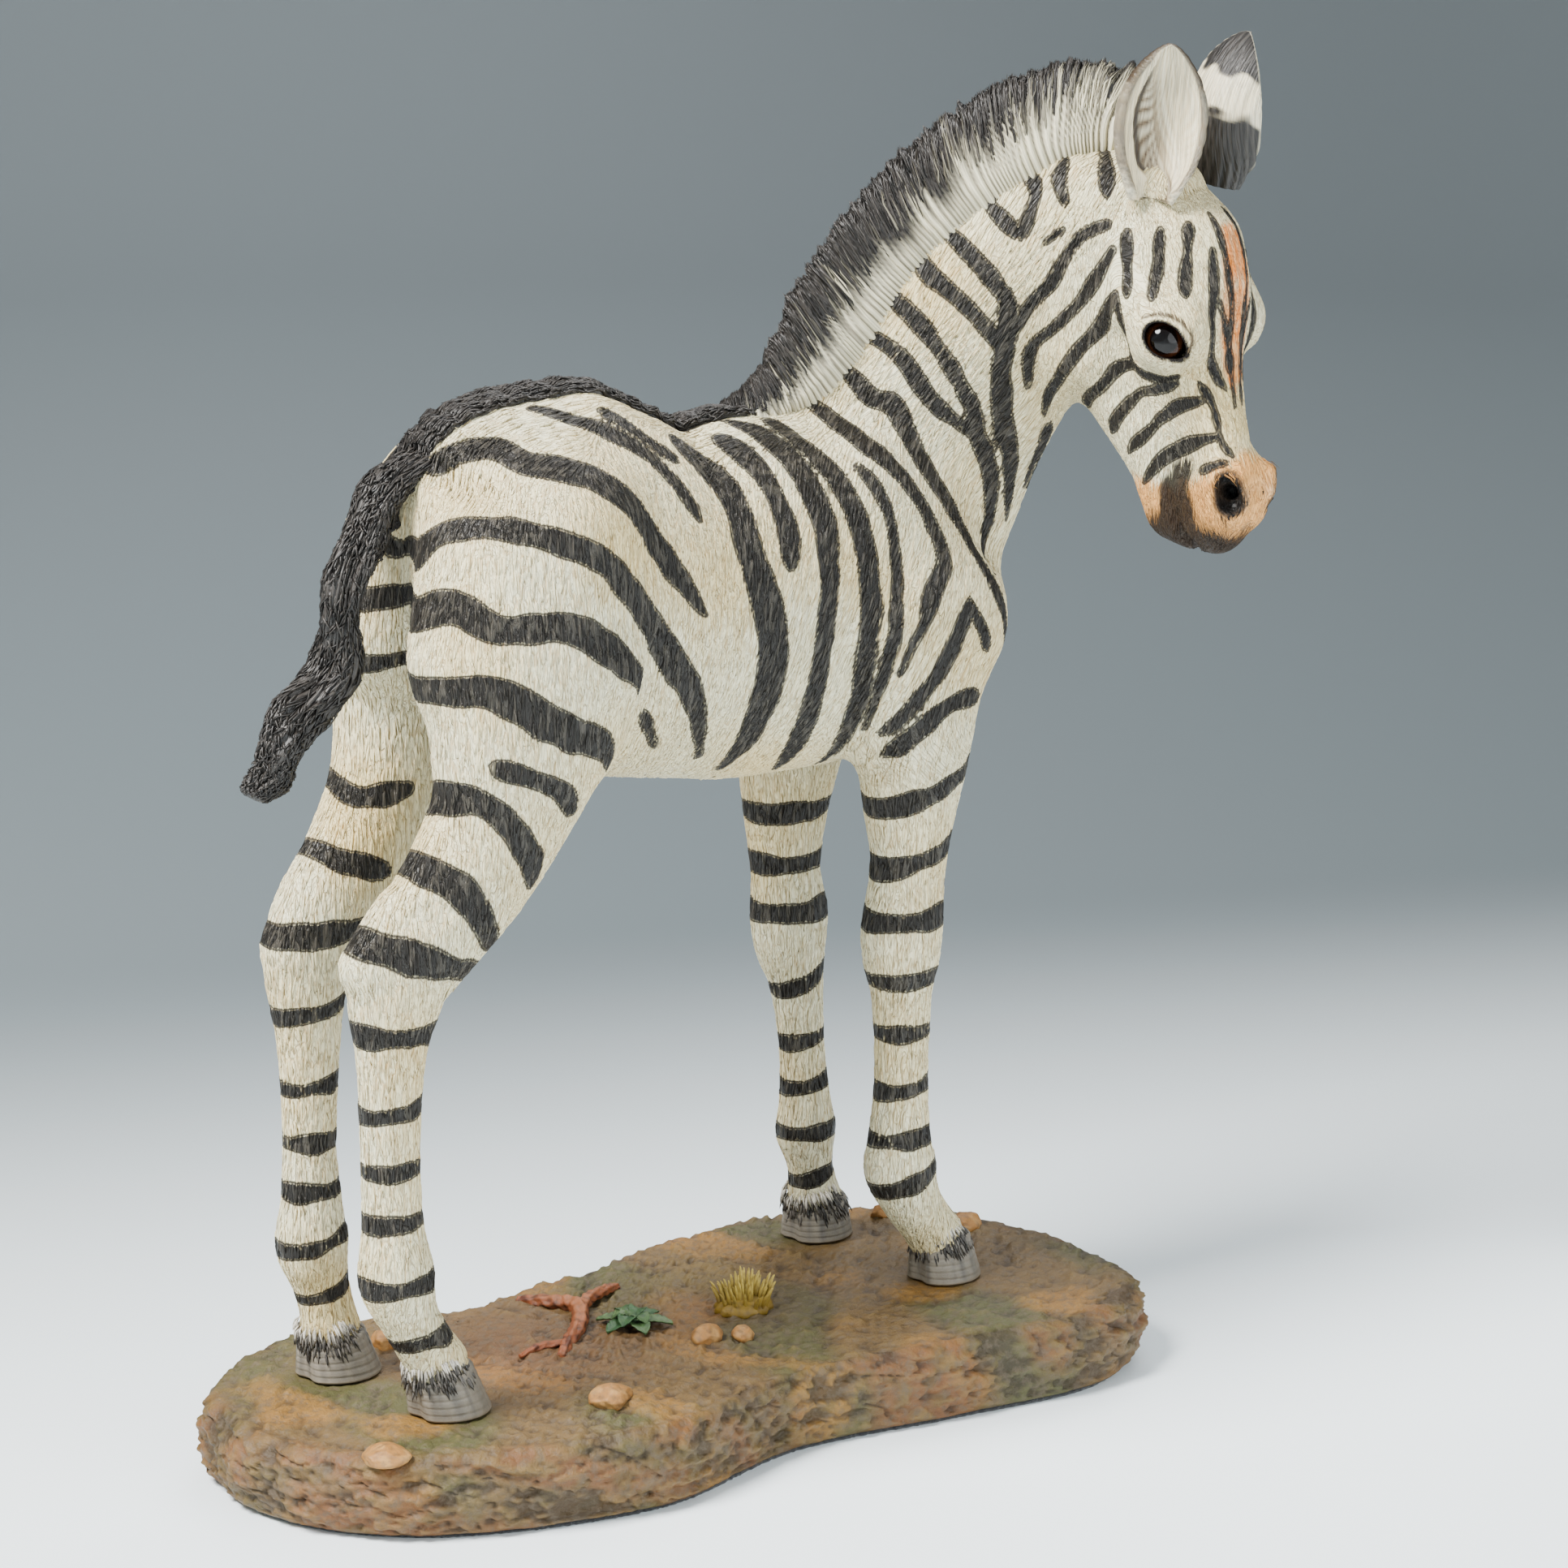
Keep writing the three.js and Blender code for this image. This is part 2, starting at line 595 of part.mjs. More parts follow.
function earSolid({ root, lean, facing, side }, grow = 0) {
  const foot = onHead(...root);
  const axis = new THREE.Vector3(0, 0, 1).addScaledVector(forward, lean[0])
    .addScaledVector(headLeft, lean[1] * side).normalize();
  const open = headLeft.clone().multiplyScalar(facing[0] * side).addScaledVector(forward, facing[1]);
  open.addScaledVector(axis, -open.dot(axis)).normalize();
  const across = new THREE.Vector3().crossVectors(axis, open);
  const half = 4;
  const rings = EAR_OUTLINE.map(([share, width, roll]) => {
    const w = EAR_WIDTH / 2 * width;
    const radius = w / Math.sin(radians(Math.min(roll, 90)));
    const middle = foot.clone().addScaledVector(axis, share * EAR_LENGTH)
      .addScaledVector(open, -2.2 * Math.sin(Math.PI * share));
    const place = (t, r) => {
      const angle = radians(roll) * t;
      return middle.clone().addScaledVector(across, r * Math.sin(angle))
        .addScaledVector(open, radius - w * 0.5 - r * Math.cos(angle));
    };
    const ring = [];
    for (let i = -half; i <= half; i += 1) ring.push(place(i / half, radius + grow));
    for (let i = half; i >= -half; i -= 1) ring.push(place(0.96 * i / half, radius - EAR_WALL - grow));
    return ring;
  });
  return loftSolid(rings);
}

// Mane: x, y, z of the crest line under it, height above the line, half width.
const MANE = [
  [31, 0, 212.5, 4.5, 4.5],
  [37, -0.5, 214.5, 6.5, 5.5],
  [44, -0.5, 218.5, 10, 6.8],
  [55, -2.8, 230.5, 14.6, 7.6],
  [67, -6, 244, 15, 8],
  [81, -13, 257.5, 15.6, 8],
  [94, -21, 265.5, 16, 8],
  [104, -28, 267.5, 15, 7.5],
  [110, -33, 265, 13.6, 6.5],
];

function maneSolid() {
  const rows = refineRows(MANE, 2);
  const rings = rows.map((row, i) => {
    const along = vec(rows[Math.min(i + 1, rows.length - 1)]).sub(vec(rows[Math.max(i - 1, 0)])).normalize();
    const side = new THREE.Vector3().crossVectors(new THREE.Vector3(0, 0, 1), along).normalize();
    const up = new THREE.Vector3().crossVectors(along, side);
    const jag = 1 + 0.05 * Math.sin(i * 2.1) + 0.03 * Math.sin(i * 5.3);
    const [height, width] = [row[3] * jag, row[4]];
    const outline = [[-0.8, -0.6], [-1, -0.1], [-0.7, 0.5], [-0.3, 0.95],
      [0.3, 0.95], [0.7, 0.5], [1, -0.1], [0.8, -0.6]];
    return outline.map(([u, v]) => vec(row).addScaledVector(side, u * width).addScaledVector(up, v * height));
  });
  return loftSolid(rings);
}

const TAIL = [
  [-50, 3.4, 214, 4.6, 5.2],
  [-58, 3.4, 211, 4.8, 5.2],
  [-65, 3, 205.5, 4.6, 4.8],
  [-71.5, 2, 198, 4.2, 4.4],
  [-74.8, 1, 190, 4, 4.2],
  [-77, 1, 181, 4.4, 4.6],
  [-80.5, 1, 172.4, 5.4, 5.2],
  [-87.5, 1, 165, 5.9, 5.2],
  [-93.5, 1, 158.8, 5.2, 4.6],
  [-96.8, 1, 153.6, 3, 2.8],
];

// Rings of a limb, square to its centre line.
function limbRings(rows, sides, steps) {
  const limb = makeLimb(rows, LEFTWARDS, steps);
  return limb.frames.map(({ centre, side, depth, a, b }) => Array.from({ length: sides }, (_, i) => {
    const angle = 2 * Math.PI * i / sides;
    return centre.clone().addScaledVector(depth, a * Math.cos(angle)).addScaledVector(side, b * Math.sin(angle));
  }));
}

// ---------------------------------------------------------------- the ground

const BASE_OUTLINE = [[106.5, -22], [100, 10], [76, 32], [42, 37], [4, 33], [-28, 33], [-64, 44],
  [-96, 28], [-104, -4], [-85, -34], [-40, -52], [4, -46], [44, -54], [80, -60], [102, -47]];
const BASE_SECTORS = 38;

// Low mounds and dips of the ground: x, y, height, radius.
const MOUNDS = [[27, 12, 2.2, 13], [-40, -36, 1.6, 12], [10, -30, -1, 14], [84, -40, -0.8, 12],
  [-92, -12, -1, 10], [-20, 20, 0.8, 10], [90, 14, 0.8, 9]];

function groundHeight(x, y) {
  let height = GROUND;
  for (const [mx, my, rise, radius] of MOUNDS) {
    height += rise * Math.exp(-((x - mx) ** 2 + (y - my) ** 2) / (radius * radius));
  }
  for (const [, sole, , size] of Object.values(HOOVES)) {
    const away = Math.hypot(x - sole[0], y - sole[1]) / size[0];
    height = mix(GROUND, height, smoothstep(away, 1.3, 2.2));
  }
  return height;
}

function baseOutline(scale = 1) {
  const corners = BASE_OUTLINE.map(([x, y]) => new THREE.Vector3(x, y, 0));
  const curve = new THREE.CatmullRomCurve3(corners, true);
  const points = curve.getSpacedPoints(BASE_SECTORS).slice(0, BASE_SECTORS);
  return points.map((p) => [p.x * scale, p.y * scale]);
}

// Rings from the middle of the top, over the rounded shoulder and down the side.
function baseSolid(grow = 0) {
  const outline = baseOutline();
  const top = [0.2, 0.45, 0.68, 0.86, 0.95].map((s) => outline.map(([x, y]) =>
    new THREE.Vector3(x * s, y * s, groundHeight(x * s, y * s) + grow)));
  const side = [[0.985, 0.86], [1.005, 0.5], [0.975, 0]].map(([s, share]) =>
    outline.map(([x, y]) => new THREE.Vector3(x * s, y * s, mix(BASE_BOTTOM, GROUND, share))));
  return loftSolid([...top, ...side]);
}

function feltGeometry() {
  const shape = new THREE.Shape(baseOutline(0.97).map(([x, y]) => new THREE.Vector2(x, y)));
  return new THREE.ExtrudeGeometry(shape, { depth: FELT, bevelEnabled: false });
}

// ---------------------------------------------------------------- what lies on the ground

// Stones: x, y, half length, half width, half height, turn in degrees.
const STONES = {
  stone_front: [-38, -35, 5.2, 4, 2.8, 20],
  stone_rear: [-90, -27, 5, 4.2, 2.2, -20],
  stone_grass_large: [3.5, -16.5, 3.6, 2.8, 2.5, 10],
  stone_grass_small: [10.5, -20, 2.7, 2.3, 2, 40],
  stone_behind_hoof: [93, 0, 4.2, 3.4, 2.9, 30],
  stone_far_edge: [84, 17, 3.2, 2.8, 2.2, 0],
  stone_between_hooves: [-51, 25, 3, 2.8, 2.6, 15],
};

function stoneSolid([x, y, a, b, c, turn]) {
  const lump = new THREE.IcosahedronGeometry(1, a > 4.5 ? 1 : 0);
  const place = lump.attributes.position;
  for (let i = 0; i < place.count; i += 1) {
    const p = new THREE.Vector3().fromBufferAttribute(place, i);
    const swell = 1 + 0.1 * Math.sin(5 * p.x + 3 * p.y + x) * Math.cos(4 * p.z + y);
    place.setXYZ(i, p.x * a * swell, p.y * b * swell, p.z * c * swell);
  }
  lump.rotateZ(radians(turn)).translate(x, y, groundHeight(x, y) + 0.3 * c);
  return geometryToSolid(lump);
}

const ROOT_ARMS = [
  [[-13, 27, 18.4, 1, 1], [-10, 20, 19.4, 1.5, 1.5], [-8, 13, 19.8, 1.7, 1.7], [-14, 5, 19.2, 1.6, 1.6],
    [-22, -1, 18.6, 1.3, 1.3], [-27, -5, 18, 0.9, 0.9]],
  [[-8, 12, 19.6, 1.5, 1.5], [-2, 16, 19.4, 1.4, 1.4], [4, 18, 19.2, 1.2, 1.2], [8, 19, 18.6, 0.8, 0.8]],
];

function rootSolid() {
  const arms = ROOT_ARMS.map((rows) => loftSolid(limbRings(rows, 6, 1)));
  return arms[0].add(arms[1]);
}

// A leaf: a thin pointed plate that arches away from the middle of the plant.
function leafSolid(x, y, turn, length, width, rise) {
  const direction = new THREE.Vector3(Math.cos(radians(turn)), Math.sin(radians(turn)), 0);
  const across = new THREE.Vector3(-direction.y, direction.x, 0);
  const rings = [[0, 0.3], [0.35, 0.95], [0.7, 0.85], [1, 0.15]].map(([t, share]) => {
    const middle = new THREE.Vector3(x, y, GROUND + 0.9 + rise * Math.sin(Math.PI * (0.15 + 0.75 * t)))
      .addScaledVector(direction, 0.8 + t * length);
    const w = width / 2 * share;
    return [[-1, 0.3], [0, -0.4], [1, 0.3], [0, 0.6]].map(([u, v]) =>
      middle.clone().addScaledVector(across, u * w).add(new THREE.Vector3(0, 0, v)));
  });
  return loftSolid(rings);
}

function plantSolid() {
  const [x, y] = [-4, -1];
  const stem = new THREE.CylinderGeometry(1.5, 2, 1.6, 6).rotateX(Math.PI / 2);
  let plant = geometryToSolid(stem.translate(x, y, GROUND + 1));
  for (let i = 0; i < 5; i += 1) {
    plant = plant.add(leafSolid(x, y, 72 * i + 10, 6.5 + (i % 2), 3.6, 1.2));
  }
  return plant;
}

// A tuft of grass: a ring of blades that lean out of one rounded foot.
function grassSolid() {
  const [x, y] = [21, -8];
  const foot = new THREE.SphereGeometry(1, 8, 6).scale(6, 5, 3).translate(x, y, GROUND + 0.5);
  let tuft = geometryToSolid(foot);
  for (let i = 0; i < 6; i += 1) {
    const angle = 2 * Math.PI * i / 6;
    const [dx, dy] = [Math.cos(angle), Math.sin(angle)];
    const tall = 7 + 2 * Math.sin(3 * i);
    const rows = [[x + 2 * dx, y + 2 * dy, GROUND, 1.7, 1.7],
      [x + 4 * dx, y + 3.4 * dy, GROUND + 0.6 * tall, 1.3, 1.3],
      [x + 6.5 * dx, y + 5 * dy, GROUND + tall, 0.6, 0.6]];
    tuft = tuft.add(loftSolid(limbRings(rows, 4, 1)));
  }
  return tuft;
}

// ---------------------------------------------------------------- the finished pieces

const COLOURS = {
  coat: { color: 0xe9e4d6, roughness: 0.55 },
  darkHair: { color: 0x4a4743, roughness: 0.65 },
  hoof: { color: 0x77756f, roughness: 0.45 },
  eye: { color: 0x120d0a, roughness: 0.05 },
  earth: { color: 0x7a6144, roughness: 0.8 },
  felt: { color: 0x17171a, roughness: 1 },
  stone: { color: 0xb98d5c, roughness: 0.7 },
  root: { color: 0x9a5a3c, roughness: 0.7 },
  leaf: { color: 0x3f7a45, roughness: 0.6 },
  straw: { color: 0xc2ab4e, roughness: 0.7 },
};

const figure = new THREE.Group();

function addNode(name, geometry, look) {
  const material = new THREE.MeshStandardMaterial({ metalness: 0, ...COLOURS[look] });
  const mesh = new THREE.Mesh(geometry, material);
  mesh.name = name;
  figure.add(mesh);
}

const addSolid = (name, solid, look) => addNode(name, solidToGeometry(solid), look);

// Flesh, parted at the poll, the withers, the tops of the legs, the knees and the hocks.
const hooves = Object.entries(HOOVES);
const grownHooves = hooves.map(([, hoof]) => hoofSolid(hoof, GAP)).reduce((all, hoof) => all.add(hoof));
const eyeSockets = eyeSolid(-1, GAP).add(eyeSolid(1, GAP));
const fleshIn = (box, step, grow = 0) => polygonise(flesh, box, step, grow);

addSolid('head', fleshIn(HEAD_BOX, HEAD_FACET).intersect(headRegion()).subtract(eyeSockets), 'coat');
addSolid('neck', fleshIn(NECK_BOX, NECK_FACET).intersect(neckRegion()).subtract(headRegion(GAP)), 'coat');
let trunk = fleshIn(TRUNK_BOX, TRUNK_FACET).subtract(neckRegion(GAP));

for (const kind of ['fore', 'hind']) {
  for (const side of [-1, 1]) {
    const name = `${kind}leg_${side < 0 ? 'right' : 'left'}`;
    const joint = new THREE.Vector3(0, 0, JOINT_HEIGHTS[kind]);
    const up = new THREE.Vector3(0, 0, 1);
    const box = LEG_BOXES[kind](side);
    const upper = fleshIn(box, THIGH_FACET).intersect(legRegion(kind, side));
    addSolid(`${name}_upper`, upper.intersect(beyond(joint, up, -GAP)), 'coat');
    const lowerBox = box.clone();
    lowerBox.max.z = JOINT_HEIGHTS[kind] + 8;
    const lower = fleshIn(lowerBox, SHANK_FACET).intersect(beyond(joint, up.clone().negate()));
    addSolid(`${name}_lower`, lower.subtract(grownHooves), 'coat');
    trunk = trunk.subtract(legRegion(kind, side, GAP));
  }
}
addSolid('trunk', trunk, 'coat');

for (const [name, hoof] of hooves) addSolid(name, hoofSolid(hoof), 'hoof');
addSolid('eye_right', eyeSolid(-1), 'eye');
addSolid('eye_left', eyeSolid(1), 'eye');

// Ears, mane and tail grow out of the flesh, and the mane stops short of the ears.
const crest = fleshIn(CREST_BOX, NECK_FACET, HAIR_CLEARANCE)
  .add(fleshIn(HEAD_BOX, HEAD_FACET, HAIR_CLEARANCE));
let grownEars;
for (const [name, ear] of Object.entries(EARS)) {
  addSolid(name, earSolid(ear).subtract(crest), 'coat');
  const grown = earSolid(ear, GAP);
  grownEars = grownEars ? grownEars.add(grown) : grown;
}
addSolid('mane', maneSolid().subtract(crest).subtract(grownEars), 'darkHair');
const croup = fleshIn(CROUP_BOX, NECK_FACET, HAIR_CLEARANCE);
addSolid('tail', loftSolid(limbRings(TAIL, 10, 2)).subtract(croup), 'darkHair');

// Ground, felt and what is modelled on the ground.
addSolid('base', baseSolid(), 'earth');
addNode('felt_pad', feltGeometry(), 'felt');
const groundBelow = baseSolid(GAP);
for (const [name, stone] of Object.entries(STONES)) {
  addSolid(name, stoneSolid(stone).subtract(groundBelow), 'stone');
}
addSolid('root', rootSolid().subtract(groundBelow), 'root');
addSolid('leafy_plant', plantSolid().subtract(groundBelow), 'leaf');
addSolid('grass_tuft', grassSolid().subtract(groundBelow), 'straw');

// The origin goes to the middle of the underside of the whole figurine.
const bounds = new THREE.Box3().setFromObject(figure);
const middle = bounds.getCenter(new THREE.Vector3());
figure.position.set(-middle.x, -middle.y, -bounds.min.z);

export default figure;
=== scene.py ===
"""Looks of the zebra foal figurine, built round its packed solids as a Blender add-on.

Everything is in the solids' own frame: the foal faces +X, its left side is +Y and +Z is
up. Shapes are worked out in millimetres round the middle of the four hooves, and
`to_frame` moves them to their place in metres. The flesh is one smooth field: oval
sections carried along bent centre lines that melt into each other, with the folds, lids
and lips cut in or laid on as small capsules.
"""

import math

import bpy
import numpy as np
from bpy.props import (FloatProperty, FloatVectorProperty, IntProperty,
                       PointerProperty)
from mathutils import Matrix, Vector


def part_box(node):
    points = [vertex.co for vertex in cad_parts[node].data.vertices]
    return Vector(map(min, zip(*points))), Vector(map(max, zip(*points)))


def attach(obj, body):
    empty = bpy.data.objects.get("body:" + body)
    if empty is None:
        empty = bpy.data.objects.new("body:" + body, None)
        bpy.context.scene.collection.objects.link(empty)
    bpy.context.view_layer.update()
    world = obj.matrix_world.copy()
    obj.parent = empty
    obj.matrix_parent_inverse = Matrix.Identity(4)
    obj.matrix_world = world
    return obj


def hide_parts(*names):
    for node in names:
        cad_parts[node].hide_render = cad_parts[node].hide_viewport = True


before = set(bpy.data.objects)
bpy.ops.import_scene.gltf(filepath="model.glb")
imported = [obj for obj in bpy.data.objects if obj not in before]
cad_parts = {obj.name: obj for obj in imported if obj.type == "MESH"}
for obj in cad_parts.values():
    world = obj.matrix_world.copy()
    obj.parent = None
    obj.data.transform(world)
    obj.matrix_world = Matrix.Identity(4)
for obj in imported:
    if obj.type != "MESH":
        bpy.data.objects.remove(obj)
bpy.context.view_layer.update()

bl_info = {
    "name": "Zebra foal figurine",
    "version": (1, 0, 0),
    "blender": (4, 5, 0),
    "location": "3D View > Sidebar > Zebra foal",
    "description": "Builds the skin, hair, hooves, eyes and ground of a zebra foal figurine",
    "category": "Add Mesh",
}

MM = 0.001
FLESH_NODES = ("head", "neck", "trunk") + tuple(
    f"{kind}leg_{side}_{part}" for kind in ("fore", "hind")
    for side in ("right", "left") for part in ("upper", "lower"))


def node_box(node):
    """Lowest and highest corner of a solid, in millimetres of the solids' frame."""
    low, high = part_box(node)
    return np.array(low) / MM, np.array(high) / MM


# ------------------------------------------------------------------ the head's own frame

HEADING, PITCH = math.radians(-77), math.radians(72)
POLL = np.array([106.5, -34.0, 255.0])
FORWARD = np.array([math.cos(HEADING), math.sin(HEADING), 0.0])
HEAD_LEFT = np.array([-FORWARD[1], FORWARD[0], 0.0])
HEAD_ALONG = FORWARD * math.cos(PITCH) - np.array([0.0, 0.0, math.sin(PITCH)])
HEAD_FRONT = np.cross(HEAD_ALONG, HEAD_LEFT)
HEAD_AXES = np.array([HEAD_ALONG, HEAD_FRONT, HEAD_LEFT])
EYE_PLACE = (32.5, 8.2, 13.4)
EYE_RADIUS = 4.9
EYE_TURN = (math.sin(math.radians(30)), math.cos(math.radians(30)))


def on_head(places):
    """Places given along the head, to its front and to its left, in body millimetres."""
    return POLL + np.asarray(places, float) @ HEAD_AXES


def head_local(points):
    """Distance along the head from the poll, to its front and to its left."""
    return (np.asarray(points, float) - POLL) @ HEAD_AXES.T


# The solid of the right eye says where the body's millimetres start in the frame.
SHIFT = sum(node_box("eye_right")) / 2 - on_head([EYE_PLACE[0], EYE_PLACE[1], -EYE_PLACE[2]])


def to_frame(points):
    """Body millimetres to metres in the frame."""
    return (np.asarray(points, float) + SHIFT) * MM


# ------------------------------------------------------------------ stations of the body

# Each row: x, y, z of the centre, half depth fore and aft, half width across.
TRUNK = [
    [-47, 0, 187, 27, 12.5], [-40, 0, 188.4, 34.5, 22.5], [-29, 0, 185.2, 39.8, 26],
    [-14, 0, 180.2, 38.4, 27], [2, 0, 175.2, 36.2, 27], [18, 0, 174, 38.4, 27],
    [36, 0, 172.8, 38.6, 27], [55, 0, 172, 38, 25], [70, 0, 168, 29, 21],
    [79, 0, 164, 19, 16],
]
NECK = [
    [52, -1, 180, 37, 18], [64, -3, 194, 33, 15.5], [75, -6.5, 211, 29.5, 14.5],
    [86, -12, 227, 27, 15], [96, -20, 239, 23, 14], [103, -28, 247, 19, 13],
]
HIND_RIGHT = [
    [-37, -14, 188, 26, 15], [-43.5, -17, 170, 25.5, 15], [-48, -19, 155, 20, 13.5],
    [-52, -18, 143, 15.6, 11.5], [-59, -17, 132, 14, 10], [-68, -16, 122, 12.5, 9],
    [-75, -15.5, 114.5, 11.5, 8], [-77.5, -15.5, 106, 9.8, 7.2],
    [-78.3, -15.5, 97, 7.4, 6], [-78.5, -15, 80, 6.4, 5.1], [-78.3, -15, 62, 6.5, 5.3],
    [-77.5, -15, 50, 8.2, 6.6], [-74.5, -15, 41, 6.2, 5.3], [-70.5, -15, 34, 6, 5.4],
    [-67.5, -15, 29, 6.6, 6],
]
HIND_LEFT = [
    [-36, 14, 188, 26, 15], [-40, 17, 170, 24, 15], [-45, 19, 155, 19, 13],
    [-52, 18.5, 141, 14, 10.5], [-60, 18, 129, 12.5, 9.3], [-68, 18, 119.5, 12, 8.6],
    [-73, 18, 111, 10.5, 7.6], [-74.2, 18, 102, 8.6, 6.6], [-74, 18, 92, 6.8, 5.6],
    [-74.3, 18, 73, 5.7, 4.7], [-74.3, 18, 59, 6.4, 5.2], [-74.3, 18, 48.5, 8, 6.3],
    [-72.5, 18, 40, 6.2, 5.2], [-71, 18, 33.5, 5.8, 5.2], [-70, 18, 28, 6.6, 6],
]
FORE_RIGHT = [
    [60, -16, 168, 20, 12], [60, -18.5, 150, 16, 11], [58.5, -20, 137, 13.3, 9.6],
    [57.8, -20, 127, 11.3, 8.5], [57.4, -20, 116, 8.9, 7.1], [56.5, -20, 107, 8.8, 7],
    [55.5, -20, 99, 9.4, 7.6], [55.4, -20, 91, 8.5, 6.9], [55.5, -20, 84, 6.8, 5.6],
    [55.5, -20, 66, 6.1, 5], [54.6, -20.5, 54, 7, 5.7], [54.4, -21, 46.5, 8.4, 6.7],
    [57.5, -21, 38.5, 6.6, 5.8], [61.5, -21, 32.5, 5.9, 5.5], [65, -21, 28, 6.2, 5.8],
]
FORE_LEFT = [
    [60, 15, 168, 20, 12], [59, 17.5, 150, 16, 11], [57, 18, 132, 13, 9.5],
    [55.6, 18, 118, 10, 7.8], [55.5, 18, 104, 8, 6.5], [56.4, 18, 95.5, 9, 7.3],
    [57, 18, 87.5, 8.4, 6.9], [58.7, 18, 78, 6.2, 5.1], [60.3, 18, 63, 5.3, 4.3],
    [61.2, 18, 50, 6, 4.9], [61.5, 18, 43.5, 7.2, 5.8], [62.7, 18, 35.5, 5.2, 4.6],
    [63.5, 18, 30, 5.6, 5.1], [64, 18, 27, 6.3, 5.9],
]
LEGS = {"hind_right": HIND_RIGHT, "hind_left": HIND_LEFT,
        "fore_right": FORE_RIGHT, "fore_left": FORE_LEFT}

# Muscles of one side, made on both: centre to centre, then the radius at each.
MUSCLES = [
    [(-36, -12, 197), (-40, -15, 176), 20, 17],    # haunch
    [(-51, -13, 194), (-57, -14, 176), 11, 10.5],  # point of the buttock
    [(-34, -18, 168), (-32, -18, 159), 13, 8.5],   # stifle
    [(49, -10, 195), (70, -14, 164), 11, 15],      # shoulder blade
    [(50, -14, 165), (50, -17, 150), 14, 9],       # elbow
]
HOCK_POINTS = [
    [(-77, -15.5, 127), (-85, -15.5, 117), 4, 4.8],
    [(-73, 18, 122), (-79.5, 18, 113), 4, 4.4],
]

# Along the head, to the front, half depth, half width.
HEAD = [
    [4, 1.5, 15, 12.5], [13, 0.8, 20.8, 15.6], [24, -2.4, 23.6, 15.8], [35, -4, 21, 13.5],
    [46, -3.5, 17.5, 11], [56, -2.2, 14.7, 9.6], [64, -0.8, 13.4, 9.6], [69, -0.8, 11.5, 9.2],
]

# Capsules of the head, made on both sides: two places (along, front, left), two radii and
# how softly they run in.
HEAD_MASSES = [
    [(16, -11, 7), (30, -15, 7), 9, 8.5, 3],           # jowl
    [(26, 5.5, 10.5), (32, 7, 11.6), 6.4, 5.6, 6],     # socket
    [(24, 7.5, 2), (30.5, 8.6, 9.2), 9, 7.2, 6],       # broad forehead between the eyes
    [(65, 6, 4.5), (70, 5, 4.5), 6, 5.5, 3],           # nostril
    [(25, 12.2, 11.6), (32, 13.6, 11.6), 2, 1.6, 4],   # brow
    [(38, 1.5, 12.6), (50, 1.5, 8.8), 1.6, 1.2, 4],    # cheek bone
    [(63, -8.5, 0), (68, -9, 0), 5.4, 5.2, 3],         # chin and lower lip
    [(72, -1, 3), (74, 0.5, 0), 4, 4.2, 3],            # upper lip
    [(65, 12.4, 6.6), (69, 11.8, 5.2), 1.2, 1.2, 3.5],  # rim of the nostril
]
HEAD_GROOVES = [
    [(65.4, 10.9, 8.6), (68.6, 10.2, 7.4), 2.1, 2.5, 1],  # nostril
    [(67, 10.2, 7.4), (67, 9, 3.8), 2.2, 1.4, 0.8],       # its depth
    [(61, -3.6, 10), (69, -3.8, 9.6), 0.8, 1.1, 2],       # mouth
    [(69, -3.8, 9.6), (74.8, -3.6, 6.2), 1.1, 1.2, 2],
    [(74.8, -3.6, 6.2), (77.4, -3.4, 0), 1.2, 1.2, 2],
    [(31, -3, 16.4), (43, -9, 13.6), 1.2, 1.8, 6],        # hollow under the cheek bone
    [(38.6, 9.6, 13.6), (46, 9.4, 10.2), 0.7, 0.8, 4],    # in front of the eye
    [(27, 9, 16.9), (29.2, 13.8, 15.6), 0.35, 0.45, 0.8],  # crease over the upper lid
    [(29.2, 13.8, 15.6), (35, 15, 14.6), 0.45, 0.35, 0.8],
    [(57, 3.2, 11.2), (60, -2, 11.4), 1, 1.2, 4],         # behind the nostril
]
# Folds of the body, made on both sides.
FOLDS = [
    [(-62.5, -1, 208), (-66, -0.5, 188), 2, 2.6, 5],  # between the buttocks
    [(-72, 0, 188), (-66, 0, 160), 1.6, 3.6, 7],
    [(-66, 0, 160), (-54, 0, 146), 3.6, 5, 6],
    [(-19, -29, 172), (-22, -25.5, 149), 1.3, 1.9, 5],   # flank
    [(-9, -30.5, 168), (-5, -30, 146), 0.8, 1.4, 6],
    [(33, -30.6, 186), (35, -30, 160), 1.1, 1.7, 7],     # behind the shoulder
    [(38, -27, 148), (46, -25, 138), 1.6, 1.2, 4],       # elbow
    [(70, -27, 196), (81, -22, 178), 1.3, 1.8, 6],       # front of the shoulder
    [(82, -8, 176), (84, -6, 160), 1.4, 1.6, 5],         # between the breast muscles
    [(-68, -27.4, 150), (-74, -24.5, 127), 0.9, 1.1, 4], # back of the gaskin
]


# ------------------------------------------------------------------ limbs as fields

def spline_rows(rows, steps):
    """Catmull-Rom rows through the given ones, `steps` to a span and the last row."""
    rows = np.asarray(rows, float)
    wide = np.vstack([rows[:1], rows, rows[-1:]])
    t = (np.arange(steps) / steps)[:, None]
    a, b, c, d = (wide[i:len(rows) - 1 + i, None] for i in range(4))
    fine = 0.5 * (2 * b + (c - a) * t + (2 * a - 5 * b + 4 * c - d) * t ** 2
                  + (3 * b - a - 3 * c + d) * t ** 3)
    return np.vstack([fine.reshape(-1, rows.shape[1]), rows[-1:]])


def unit(vectors):
    """The same directions with length one."""
    return vectors / np.maximum(np.linalg.norm(vectors, axis=-1, keepdims=True), 1e-9)


